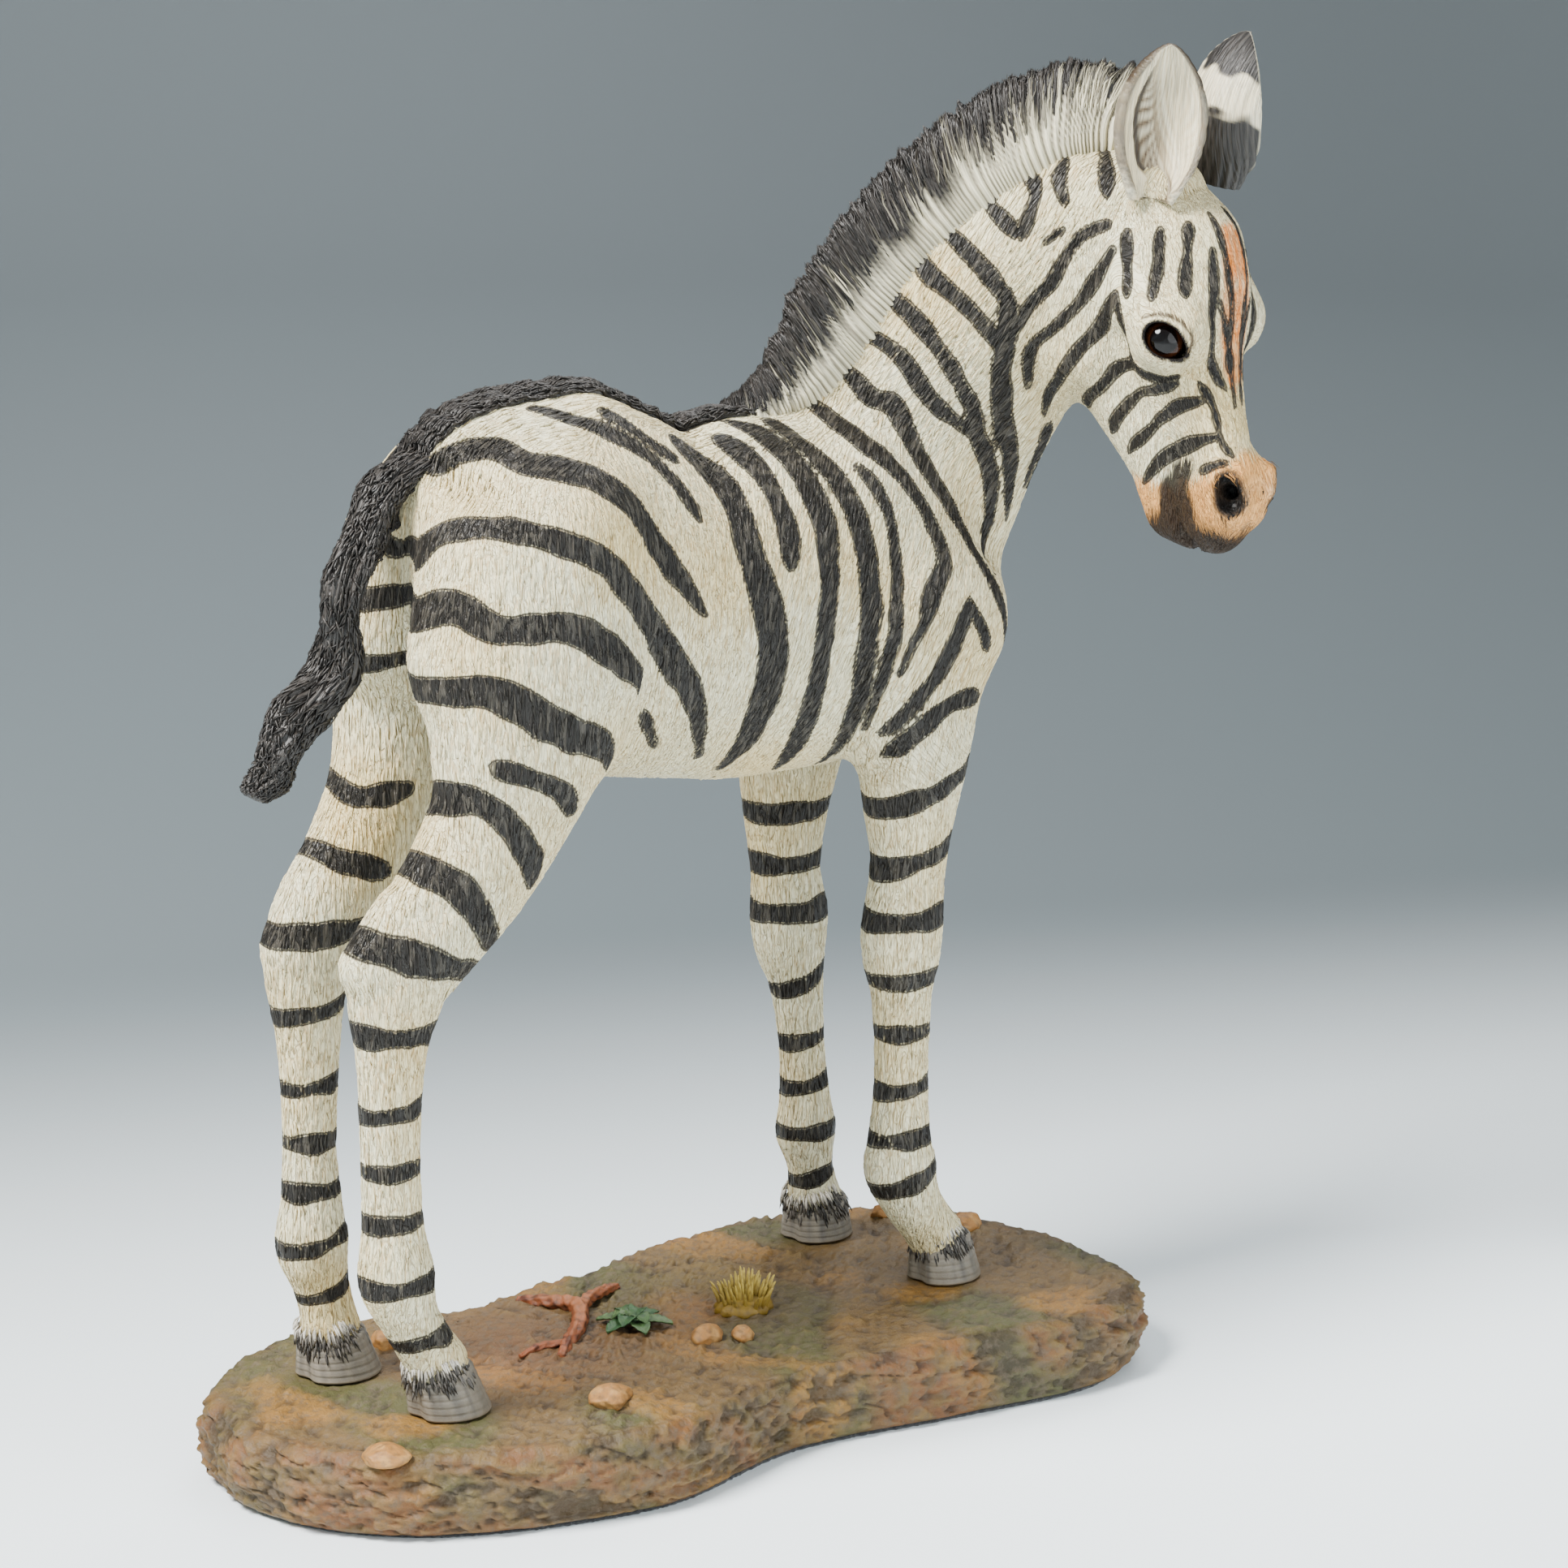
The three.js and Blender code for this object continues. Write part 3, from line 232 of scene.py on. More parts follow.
class Limb:
    """Oval sections along a centre line: rows of x, y, z, half depth and half width.

    `across` is the direction of the half width, as near as the line allows.
    """

    MARGIN = 14.0

    def __init__(self, rows, across=(0, 1, 0), steps=6):
        fine = spline_rows(rows, steps)
        self.centre = fine[:, :3]
        self.size = fine[:, 3:5]
        last = len(fine) - 1
        index = np.arange(len(fine))
        self.along = unit(self.centre[np.minimum(index + 1, last)]
                          - self.centre[np.maximum(index - 1, 0)])
        across = np.asarray(across, float)
        self.side = unit(across - self.along * (self.along @ across)[:, None])
        self.depth = np.cross(self.side, self.along)
        reach = self.size.max()
        self.low = self.centre.min(0) - reach - self.MARGIN
        self.high = self.centre.max(0) + reach + self.MARGIN

    def distance(self, points):
        """Distance to the oval skin, negative inside; round beyond both ends."""
        outside = np.maximum(np.maximum(self.low - points, points - self.high), 0)
        result = np.linalg.norm(outside, axis=1) + self.MARGIN
        near = np.flatnonzero((outside == 0).all(1))
        if len(near):
            result[near] = self._near(points[near])
        return result

    def _near(self, points):
        """The oval at the nearest place of the centre line says how far the skin is."""
        best = np.full(len(points), np.inf)
        index, share = np.zeros(len(points), int), np.zeros(len(points))
        last = len(self.centre) - 2
        for i in range(last + 1):
            p, u = self.centre[i], self.centre[i + 1] - self.centre[i]
            v = points - p
            t = np.clip(v @ u / (u @ u), 0, 1)
            v -= t[:, None] * u
            gap = np.einsum("ij,ij->i", v, v)
            closer = gap < best
            best[closer], index[closer], share[closer] = gap[closer], i, t[closer]

        def between(rows):
            mixed = share.reshape(-1, *[1] * (rows.ndim - 1))
            return rows[index] * (1 - mixed) + rows[index + 1] * mixed

        a, b = between(self.size).T
        r = points - between(self.centre)
        depth = (r * unit(between(self.depth))).sum(1)
        side = (r * unit(between(self.side))).sum(1)
        beyond = ((index == 0) & (share == 0)) | ((index == last) & (share == 1))
        end_size = np.minimum(a, b)
        end = np.where(beyond, (r * unit(between(self.along))).sum(1) / end_size, 0)
        # Inside a bend the whole distance counts, not only its part across the line.
        square = np.maximum(depth ** 2 + side ** 2, 1e-9)
        stretch = np.where(beyond, 1, np.sqrt(np.maximum((r ** 2).sum(1) / square, 1)))
        depth, side = depth * stretch / a, side * stretch / b
        k = np.sqrt(depth ** 2 + side ** 2 + end ** 2)
        slope = np.sqrt((depth / a) ** 2 + (side / b) ** 2 + (end / end_size) ** 2)
        return np.where(k < 0.2, (k - 1) * end_size, (k - 1) * k / np.maximum(slope, 1e-6))


class Skull:
    """Oval sections square to the head's straight axis: rows of distance along the head,
    offset to the front, half depth and half width. Both ends are round."""

    def __init__(self, rows):
        self.rows = spline_rows(rows, 8)

    def distance(self, points):
        local = head_local(points)
        stations = self.rows[:, 0]
        t = np.clip(local[:, 0], stations[0], stations[-1])
        offset, a, b = (np.interp(t, stations, self.rows[:, k]) for k in (1, 2, 3))
        r = np.stack([(local[:, 1] - offset) / a, local[:, 2] / b,
                      (local[:, 0] - t) / np.minimum(a, b)], 1)
        size = np.stack([a, b, np.minimum(a, b)], 1)
        k = np.linalg.norm(r, axis=1)
        slope = np.linalg.norm(r / size, axis=1)
        return np.where(k < 0.2, (k - 1) * size.min(1), (k - 1) * k / np.maximum(slope, 1e-6))


class Capsule:
    """A straight rod with round ends and a radius at each end."""

    def __init__(self, start, end, first, second):
        self.start, self.way = np.asarray(start, float), np.subtract(end, start).astype(float)
        self.first, self.growth = first, second - first

    def distance(self, points):
        v = points - self.start
        t = np.clip(v @ self.way / max(self.way @ self.way, 1e-9), 0, 1)
        return np.linalg.norm(v - t[:, None] * self.way, axis=1) - self.first - self.growth * t


def melt(a, b, blend):
    """Smooth minimum: two forms run together over the distance `blend`."""
    h = np.maximum(blend - np.abs(a - b), 0) / blend
    return np.minimum(a, b) - h * h * blend / 4


def carve(a, b, blend):
    """The form a with the form b cut out of it, its edge rounded over `blend`."""
    return -melt(-a, b, blend)


def mirror(place):
    return (place[0], -place[1], place[2])


def capsule_limb(start, end, first, second):
    """A capsule written as a limb, with the same rounding as the solids have."""
    direction = np.abs(np.subtract(end, start))
    across = (0, 1, 0) if direction[1] < direction[0] + direction[2] else (1, 0, 0)
    return Limb([[*start, first, first], [*end, second, second]], across, 1)


def both_sides(rows):
    """Head capsules of both sides in body millimetres, each with its blend."""
    found = []
    for start, end, first, second, blend in rows:
        for side in (-1, 1):
            turned = [on_head((p[0], p[1], p[2] * side)) for p in (start, end)]
            found.append((Capsule(*turned, first, second), blend))
    return found


def from_head(points):
    """Distance from the middle of the head."""
    return np.linalg.norm(points - on_head((38, -4, 0)), axis=1)


def eye_axes(local):
    """How far out of the eye's middle places lie, and along and up across its opening;
    the third coordinate of the places is measured to the eye's own side."""
    along, up, side = (local - EYE_PLACE).T
    return EYE_TURN[1] * side + EYE_TURN[0] * up, along, EYE_TURN[1] * up - EYE_TURN[0] * side


def eye_oval(along, front):
    """Below 1 inside the lids: an oval whose long way runs down to the nose and a little
    to the front, with a corner at that end."""
    long_way = 0.77 * along + 0.64 * front
    across = 0.77 * front - 0.64 * along
    corner = 1 + 0.14 * np.clip(long_way / 4, 0, 1.4) ** 2
    return np.sqrt((long_way / (4.3 * corner)) ** 2 + (across / 3.35) ** 2)


class Flesh:
    """The whole body as one field, in body millimetres."""

    BLEND, LEG_BLEND = 7.0, 3.0
    HEAD_REACH = 62.0   # how far from the head's middle its grooves and lids are worked out

    def __init__(self):
        rows = MUSCLES + [[mirror(a), mirror(b), ra, rb] for a, b, ra, rb in MUSCLES]
        self.body = [Limb(TRUNK), Limb(NECK, unit(np.array([0.35, 1, 0])))]
        self.body += [capsule_limb(*row) for row in rows]
        self.legs = {name: Limb(rows) for name, rows in LEGS.items()}
        self.hocks = [capsule_limb(*row) for row in HOCK_POINTS]
        self.skull = Skull(HEAD)
        self.masses = both_sides(HEAD_MASSES)
        self.grooves = both_sides(HEAD_GROOVES)
        folds = FOLDS + [[mirror(a), mirror(b), ra, rb, k] for a, b, ra, rb, k in FOLDS
                         if a[1] != 0]
        self.folds = [(Capsule(*row[:4]), row[4]) for row in folds]

    def join(self, forms, points, blend):
        field = forms[0].distance(points)
        for form in forms[1:]:
            field = melt(field, form.distance(points), blend)
        return field

    def whole(self, points):
        """The limbs and masses melted together, with no fold cut."""
        body = self.join(self.body, points, self.BLEND)
        hocks = self.join(self.hocks, points, self.LEG_BLEND)
        legs = {name: leg.distance(points) for name, leg in self.legs.items()}
        hind = np.minimum(melt(legs["hind_right"], hocks, self.LEG_BLEND),
                          melt(legs["hind_left"], hocks, self.LEG_BLEND))
        every_leg = np.minimum(hind, np.minimum(legs["fore_right"], legs["fore_left"]))
        head = self.skull.distance(points)
        for mass, blend in self.masses:
            head = melt(head, mass.distance(points), blend)
        return melt(melt(body, every_leg, self.BLEND), head, self.BLEND)

    def __call__(self, points):
        """The skin: the melted whole with folds cut, lids laid on and eyes opened."""
        points = np.asarray(points, float)
        field = self.whole(points)
        for fold, blend in self.folds:
            field = carve(field, fold.distance(points), blend)
        head = np.flatnonzero(from_head(points) < self.HEAD_REACH)
        if len(head):
            field[head] = self._face(field[head], points[head])
        return field

    def _face(self, field, points):
        for groove, blend in self.grooves:
            field = carve(field, groove.distance(points), blend)
        for side in (-1, 1):
            # The eye looks out to the side and somewhat to the front.
            local = head_local(points) * [1, 1, side]
            out, along, front = eye_axes(local)
            ball = np.linalg.norm(local - EYE_PLACE, axis=1)
            lids = np.maximum(ball - (EYE_RADIUS + 0.75), -out - 1)
            field = melt(field, lids, 4.4)
            opening = (eye_oval(along, front) - 1) * 3.6
            field = carve(field, np.maximum(opening, -out), 0.7)
        return field

    def snap(self, points, rounds=6):
        """Points moved onto the skin along the field's slope."""
        points = np.array(points, float)
        for _ in range(rounds):
            value, slope = self.slope(points)
            step = -value / np.maximum((slope ** 2).sum(1), 0.25)
            points += slope * np.clip(step, -6, 6)[:, None]
        return points

    def slope(self, points, h=0.05):
        """Field and its gradient by forward differences."""
        count = len(points)
        moved = np.vstack([points] + [points + h * np.eye(3)[i] for i in range(3)])
        values = self(moved).reshape(4, count)
        return values[0], (values[1:] - values[0]).T / h


# ------------------------------------------------------------------ fields into meshes

CORNERS = np.array([[c & 1, (c >> 1) & 1, c >> 2] for c in range(8)])
CELL_EDGES = [(c, c | bit) for c in range(8) for bit in (1, 2, 4) if not c & bit]


def sample_shell(field, low, shape, step, stride=4):
    """Field values on a grid, worked out only near the surface.

    Coarse blocks say where the surface may be; far blocks keep their coarse sign.
    """
    blocks = [n // stride + 2 for n in shape]
    index = np.stack(np.meshgrid(*[np.arange(n) for n in blocks], indexing="ij"), -1)
    centres = low + (index.reshape(-1, 3) * stride + (stride - 1) / 2) * step
    coarse = field(centres).reshape(blocks)
    values = coarse.repeat(stride, 0).repeat(stride, 1).repeat(stride, 2)
    values = values[:shape[0], :shape[1], :shape[2]]
    near = np.abs(coarse) < stride * step * 1.4
    fine = near.repeat(stride, 0).repeat(stride, 1).repeat(stride, 2)
    at = np.argwhere(fine[:shape[0], :shape[1], :shape[2]])
    values[tuple(at.T)] = field(low + at * step)
    return values


def untangle(values):
    """Where signs alternate round a grid face, its weakest corner changes side."""
    values = np.ascontiguousarray(values)
    flat = values.reshape(-1)
    strides = (values.shape[1] * values.shape[2], values.shape[2], 1)
    for _ in range(12):
        changed = False
        for first, second in ((0, 1), (0, 2), (1, 2)):
            a, b = strides[first], strides[second]
            at = np.arange(flat.size - a - b)
            face = np.stack([at, at + a, at + b, at + a + b], 1)
            inside = flat[face] < 0
            bad = (inside[:, 0] == inside[:, 3]) & (inside[:, 1] == inside[:, 2]) \
                & (inside[:, 0] != inside[:, 1])
            if bad.any():
                changed = True
                face = face[bad]
                weak = np.abs(flat[face]).argmin(1)
                corner = np.unique(face[np.arange(len(face)), weak])
                flat[corner] *= -1
        if not changed:
            break
    return values


def surface_net(values, low, step):
    """One vertex in each crossed cell at the mean of its crossings, one quad round each
    crossed grid edge, with its faces outwards. Returns vertices and quads."""
    shape = values.shape
    inside = values < 0
    sub = tuple(n - 1 for n in shape)
    corner_values = np.stack([values[c[0]:c[0] + sub[0], c[1]:c[1] + sub[1],
                                     c[2]:c[2] + sub[2]] for c in CORNERS], -1)
    signs = corner_values < 0
    crossed = signs.any(-1) & ~signs.all(-1)
    cells = np.argwhere(crossed)
    v = corner_values[crossed]
    total, count = np.zeros((len(v), 3)), np.zeros(len(v))
    for p, q in CELL_EDGES:
        cut = (v[:, p] < 0) != (v[:, q] < 0)
        t = v[cut, p] / (v[cut, p] - v[cut, q])
        total[cut] += CORNERS[p] + t[:, None] * (CORNERS[q] - CORNERS[p])
        count[cut] += 1
    vertices = low + (cells + total / count[:, None]) * step
    number = np.full(sub, -1)
    number[crossed] = np.arange(len(cells))
    quads = []
    for axis in range(3):
        others = [k for k in range(3) if k != axis]
        ahead = np.roll(inside, -1, axis)
        edge = inside != ahead
        edge[tuple(slice(-1, None) if k == axis else slice(None) for k in range(3))] = False
        at = np.argwhere(edge)
        back = np.zeros((2, 3), int)
        back[0, others[0]] = back[1, others[1]] = 1
        ring = [at, at - back[0], at - back[0] - back[1], at - back[1]]
        quad = np.stack([number[tuple(r.T)] for r in ring], 1)
        flip = inside[tuple(at.T)] ^ (axis == 1)
        quad[~flip] = quad[~flip][:, ::-1]
        quads.append(quad)
    return vertices, np.vstack(quads)


def to_triangles(vertices, quads):
    """Quads cut along their shorter diagonal."""
    a, b, c, d = (vertices[quads[:, k]] for k in range(4))
    long = np.linalg.norm(a - c, axis=1) > np.linalg.norm(b - d, axis=1)
    turned = np.where(long[:, None], np.roll(quads, -1, 1), quads)
    return np.vstack([turned[:, [0, 1, 2]], turned[:, [0, 2, 3]]])


def refine(vertices, triangles, chosen):
    """Splits the edges of the chosen triangles in half and mends their neighbours.

    A triangle with one, two or three split edges becomes two, three or four.
    """
    sides = np.sort(triangles[:, [0, 1, 1, 2, 2, 0]].reshape(-1, 2), axis=1)
    key = sides[:, 0] * len(vertices) + sides[:, 1]
    wanted = np.unique(key.reshape(-1, 3)[chosen])
    first, second = wanted // len(vertices), wanted % len(vertices)
    middles = (vertices[first] + vertices[second]) / 2
    place = np.minimum(np.searchsorted(wanted, key), len(wanted) - 1)
    middle = np.where(wanted[place] == key, place + len(vertices), -1).reshape(-1, 3)
    split = (middle >= 0).sum(1)
    made = [triangles[split == 0]]
    for count in (1, 2, 3):
        tri, mid = triangles[split == count], middle[split == count]
        if count < 3:
            # Turn each triangle so that its first edge is split and, of two, its last is not.
            lone = (mid >= 0) if count == 1 else np.roll(mid < 0, 1, 1)
            turn = lone.argmax(1)
            pick = (turn[:, None] + np.arange(3)) % 3
            tri = np.take_along_axis(tri, pick, 1)
            mid = np.take_along_axis(mid, pick, 1)
        (a, b, c), (ab, bc, ca) = tri.T, mid.T
        if count == 1:
            made += [np.stack([a, ab, c], 1), np.stack([ab, b, c], 1)]
        elif count == 2:
            made += [np.stack([ab, b, bc], 1), np.stack([a, ab, c], 1),
                     np.stack([ab, bc, c], 1)]
        else:
            made += [np.stack([a, ab, ca], 1), np.stack([ab, b, bc], 1),
                     np.stack([ca, bc, c], 1), np.stack([ab, bc, ca], 1)]
    return np.vstack([vertices, middles]), np.vstack(made)


def neighbour_mean(vertices, triangles):
    """The mean of the neighbours of each vertex."""
    first, second = triangles.T.ravel(), np.roll(triangles, -1, 1).T.ravel()
    total = np.stack([np.bincount(first, vertices[second, k], len(vertices)) for k in range(3)], 1)
    return total / np.bincount(first, minlength=len(vertices))[:, None]


def fair(vertices, triangles, weight, rounds):
    """Evens out a surface without shrinking it: each round moves the vertices towards
    the mean of their neighbours, and then nearly as far back out."""
    for step in (0.6, -0.63) * rounds:
        mean = neighbour_mean(vertices, triangles)
        vertices = vertices + step * weight[:, None] * (mean - vertices)
    return vertices


def relax(vertices, triangles, field, rounds):
    """Moves vertices towards the mean of their neighbours and back onto the surface."""
    for _ in range(rounds):
        vertices = vertices + 0.5 * (neighbour_mean(vertices, triangles) - vertices)
        vertices = field.snap(vertices, 1)
    return vertices


# ------------------------------------------------------------------ markings

# Dark stripes of the right side: half width, then the places each one passes. The left
# side has the same ones, a little moved.
BODY_STRIPES = [
    (1.6, [(-18, -11, 221), (-10, -16, 216), (-3, -18, 210)]),
    (1.9, [(-33, -6, 222), (-27, -11, 221), (-19, -16, 217), (-11, -19, 212), (-6, -22, 205),
           (-3, -24, 198)]),
    (3.1, [(-57, -2, 215), (-47, -10, 215), (-44, -19, 214), (-35, -25, 211),
           (-24, -27, 204), (-14, -27, 191), (-5, -27, 179)]),
    (2.7, [(-60, -1, 197), (-62, -6, 196), (-61, -13, 201), (-56, -21, 203), (-40, -32, 198),
           (-30, -32, 190), (-17, -28, 175), (-6, -24, 161), (2, -16, 146)]),
    (3.2, [(-62, -1, 187), (-66, -10, 185), (-64, -20, 188), (-58, -27, 184), (-45, -32, 183),
           (-35, -33, 177), (-22, -28, 166)]),
    (1.1, [(-19, -25, 160), (-11, -18, 150)]),
    (3.2, [(-60, -1, 172), (-66, -9, 171), (-66, -20, 172), (-62, -28, 172), (-55, -31, 168),
           (-46, -33, 162), (-35, -31, 157), (-31, -27, 151)]),
    (1.9, [(-61, -28, 157), (-55, -31, 154), (-47, -32, 150), (-41, -29, 144)]),
    (2.9, [(-56, -4, 149), (-65, -12, 148), (-65, -24, 150), (-59, -28, 146),
           (-52, -28, 136), (-50, -26, 130)]),
    (2.8, [(-62, -6, 132), (-71, -12, 135), (-70, -23, 134), (-65, -26, 129),
           (-61, -25, 122), (-57, -18, 119)]),
    (3.9, [(2, -14, 214), (8, -20, 204), (9, -26, 189), (13, -27, 172), (13, -24, 156),
           (11, -12, 141)]),
    (3, [(14, -10, 212), (18, -18, 204), (20, -23, 194), (19, -26, 185)]),
    (3.5, [(21, -5, 213), (26, -14, 209), (29, -21, 200), (30, -26, 186), (27, -27, 166),
           (27, -20, 148), (28, -10, 138)]),
    (3.2, [(30, -7, 214), (33, -16, 210), (37, -22, 200), (40, -26, 188), (40, -27, 175),
           (39, -25, 153), (42, -8, 136)]),
    (1.8, [(42, -23, 204), (47, -25, 194), (48, -27, 182), (45, -29, 167), (42, -23, 146)]),
    (2.6, [(40, -8, 217), (43, -18, 214), (47, -23, 209), (55, -25, 198), (60, -27, 189),
           (61, -28, 180), (55, -29, 173), (47, -28, 158)]),
    (2.6, [(48, -7, 222), (51, -16, 216), (56, -19, 213), (61, -22, 202), (71, -25, 184),
           (77, -27, 169), (80, -25, 159)]),
    (2.1, [(53, -9, 228), (59, -15, 222), (64, -19, 213), (74, -22, 204)]),
    (2.3, [(58, -11, 236), (63, -16, 229), (68, -20, 220), (73, -22, 211), (75, -22, 204),
           (80, -22, 192), (80, -23, 175)]),
    (2.2, [(65, -13, 244), (67, -16, 238), (72, -21, 232), (75, -23, 228), (79, -26, 221)]),
    (2.2, [(70, -16, 248), (73, -19, 244), (76, -23, 239), (79, -26, 233), (78, -25, 230)]),
    (2.9, [(79, -26, 235), (80, -25, 226), (79, -24, 219), (81, -23, 207), (84, -22, 199),
           (86, -19, 184)]),
    (1.7, [(79, -21, 258), (80, -18, 253), (82, -27, 246)]),
    (1.7, [(85, -24, 261), (86, -27, 255), (82, -27, 246)]),
    (1.9, [(92, -29, 263), (90, -30, 258), (89, -33, 253)]),
    (1.7, [(100, -33, 264), (97, -37, 260), (94, -40, 255)]),
    (1.8, [(93, -15, 190), (95, -17, 197), (94, -19, 206)]),
    (2.5, [(66, -30, 171), (57, -30, 157), (45, -25, 145)]),
    (1.8, [(66, -30, 171), (71, -28, 160)]),
    (2.6, [(70, -27, 149), (62, -30, 150), (52, -29, 145), (46, -24, 139)]),
]
# The dark strip along the back.
BACK_STRIPE = (4.2, [(-62, 4.4, 208), (-54, 4, 214), (-42, 3, 220), (-30, 2.5, 222), (-16, 2, 221),
                     (0, 1.5, 216), (16, 1, 213), (34, 0, 214)])
FAR_CROUP = (5, [(-38, 12, 219), (-46, 15, 215), (-53, 17, 210), (-60, 15, 203)])
# Along the head, to the front, to the side.
HEAD_STRIPES = [
    (1, [(5, -7, 18), (7, -11, 20)]),
    (1.6, [(6, 2, 15), (8, -5, 17), (15, -12, 19), (20, -19, 22), (24, -22, 23)]),
    (1.7, [(12, 2, 15), (19, -6, 16), (24, -15, 17), (28, -21, 20), (35, -25, 18)]),
    (1.8, [(21, 1, 16), (26, -5, 15), (30, -12, 15), (35, -20, 14), (42, -27, 12)]),
    (1.2, [(21, 1, 16), (27, 1.4, 16), (33, -0.6, 15), (36, -2, 13)]),
    (1.5, [(41, 7, 11), (37, 1, 13), (37, -7, 13), (41, -17, 10), (45, -22, 8)]),
    (1.5, [(42, 6, 10), (42, -1, 12), (45, -9, 10), (49, -15, 8)]),
    (1.6, [(47, 9, 7), (47, 4, 10), (50, -3, 10), (54, -12, 8)]),
    (1.6, [(55, 10, 5), (55, 5, 8), (57, -3, 9), (61, -10, 7)]),
    (1.3, [(61, 10, 6), (61.5, 6, 9)]),
    (0.8, [(43, 10, 8), (49, 11, 6), (56, 10, 5), (60, 11, 4)]),
    (1.2, [(9, 6, 14), (15, 5, 15), (22, 4, 16)]),
    (1.5, [(10, 13, 12), (18, 11, 14), (24, 9, 15)]),
    (1.5, [(11, 17, 8), (18, 16, 10), (25, 14, 12)]),
    (1.1, [(17, 20, 6), (24, 19, 7), (32, 16, 8), (40, 13, 6), (46, 13, 3)]),
    (1, [(28, 19, 6), (36, 17, 3), (43, 14, 2)]),
    (0.8, [(9, 20, 3), (20, 21, 3.4), (34, 18, 2.4), (50, 14, 1.6)]),
]
FOREHEAD_GOLD = [(14, 20.5, 1.2), (24, 20.5, 2), (34, 18, 2), (44, 14.5, 1)]

# Rings of the legs: height, half width, how much they drop towards the front.
RINGS = {
    "hind_right": [(117, 2.4, 0.3), (102.5, 2.3, 0.1), (86.5, 1.8, -0.1), (74, 1.7, 0),
                   (63, 1.8, 0), (49.5, 2.1, 0), (36.5, 1.6, -0.15)],
    "hind_left": [(116, 2.4, 0), (99.5, 1.9, -0.15), (83, 1.7, -0.1), (71, 1.9, 0),
                  (60.5, 1.8, 0), (49.5, 1.7, -0.2), (38, 1.3, -0.3)],
    "fore_right": [(131, 2.4, -0.3), (116, 2.4, -0.25), (102.5, 2.3, 0), (89, 1.8, 0),
                   (77, 1.8, 0), (64.5, 1.7, -0.1), (53.5, 1.8, 0), (44.5, 1.8, -0.3)],
    "fore_left": [(119, 2.2, 0), (107, 2.2, 0), (96, 2.5, 0), (79.5, 1.9, -0.35),
                  (65.5, 1.6, -0.15), (55, 1.8, -0.15), (44, 1.7, 0), (33.5, 1.5, -0.3)],
}
STRIPE_REACH = 6.0   # how far from a stripe its distance is worked out


def smoothstep(value, low, high):
    t = np.clip((value - low) / (high - low), 0, 1)
    return t * t * (3 - 2 * t)


def over(under, colour, share):
    """A colour, or a direction, laid over the ones under it."""
    share = np.clip(share, 0, 1)[:, None]
    return under * (1 - share) + np.asarray(colour) * share


def waves(points, size, seed, count=14):
    """Soft noise about -1 to 1: a mean of sines in random directions, `size` mm long."""
    draw = np.random.default_rng(seed)
    points = np.asarray(points, float)
    heading = unit(draw.normal(size=(count, points.shape[1])))
    heading *= 2 * math.pi / (size * draw.uniform(0.7, 1.5, (count, 1)))
    return np.sin(points @ heading.T + draw.uniform(0, 6.28, count)).sum(1) / count ** 0.5


def line_distance(points, line, widths):
    """Distance to a bent line less its half width there, for the points near it."""
    best = np.full(len(points), STRIPE_REACH)
    near = np.flatnonzero(((points > line.min(0) - STRIPE_REACH - 4)
                           & (points < line.max(0) + STRIPE_REACH + 4)).all(1))
    for span in zip(line[:-1], line[1:], widths[:-1], widths[1:]):
        best[near] = np.minimum(best[near], Capsule(*span).distance(points[near]))
    return best


def stripe_widths(half, count, index):
    """Half widths along a stripe: narrow ends and a slow swell between them."""
    t = np.linspace(0, 1, count)
    swell = 1 + 0.14 * np.sin(9 * t + 2.3 * index)
    return half * swell * np.minimum(1, np.minimum(0.55 + 4 * t, 0.25 + 5 * (1 - t)))


def neck_middle(places):
    """Side offset of the neck's middle at places on it; none on the trunk."""
    stations = np.array(NECK)
    offset = np.interp(places[:, 0], stations[:, 0], stations[:, 1])
    return np.where(places[:, 2] > 185, offset, 0)


def stripe_lines(flesh):
    """Every stripe as a line on the skin with its half widths."""
    lines = []
    for index, (half, places) in enumerate(BODY_STRIPES):
        right = np.array(places, float)
        left = right.copy()
        left[:, 1] = 2 * neck_middle(right) - right[:, 1]
        left[:, 0] += 1.5 * math.sin(2.1 * index) * (right[:, 2] < 240)
        left[right[:, 2] < 160] += [2, 0, -5]
        left = left[left[:, 2] > 118]
        lines += [(half, right), (half * (1 + 0.1 * math.sin(5 * index)), left)]
    lines += [(half, np.array(places, float)) for half, places in (BACK_STRIPE, FAR_CROUP)]
    for index, (half, places) in enumerate(HEAD_STRIPES):
        for side in (-1, 1):
            local = np.array(places, float) * [1, 1, side]
            local[:, 0] += 0.5 * math.sin(3 * index) * (side > 0)
            lines.append((half, on_head(local)))
    made = []
    for index, (half, places) in enumerate(lines):
        fine = flesh.snap(spline_rows(flesh.snap(places, 8), 5), 2)
        # Stout on the rump, slimmer on the neck and slimmest on the head.
        stout = 1 - 0.25 * smoothstep(fine[:, 0], -5, 45)
        stout -= 0.3 * smoothstep(-fine[:, 0], 50, 58) * (fine[:, 1] > 0)
        made.append((fine, stout * stripe_widths(half, len(fine), index)))
    return made


def leg_of(points):
    """Which leg each place is on, as masks by name, with the leg's middle there."""
    for name, rows in LEGS.items():
        rows = np.array(rows, float)[::-1]
        middle = np.stack([np.interp(points[:, 2], rows[:, 2], rows[:, k]) for k in (0, 1)], 1)
        fore, right = name.startswith("fore"), name.endswith("right")
        mine = ((points[:, 0] > 0) == fore) & ((points[:, 1] < 0) == right)
        yield name, mine & (points[:, 2] < 139), middle


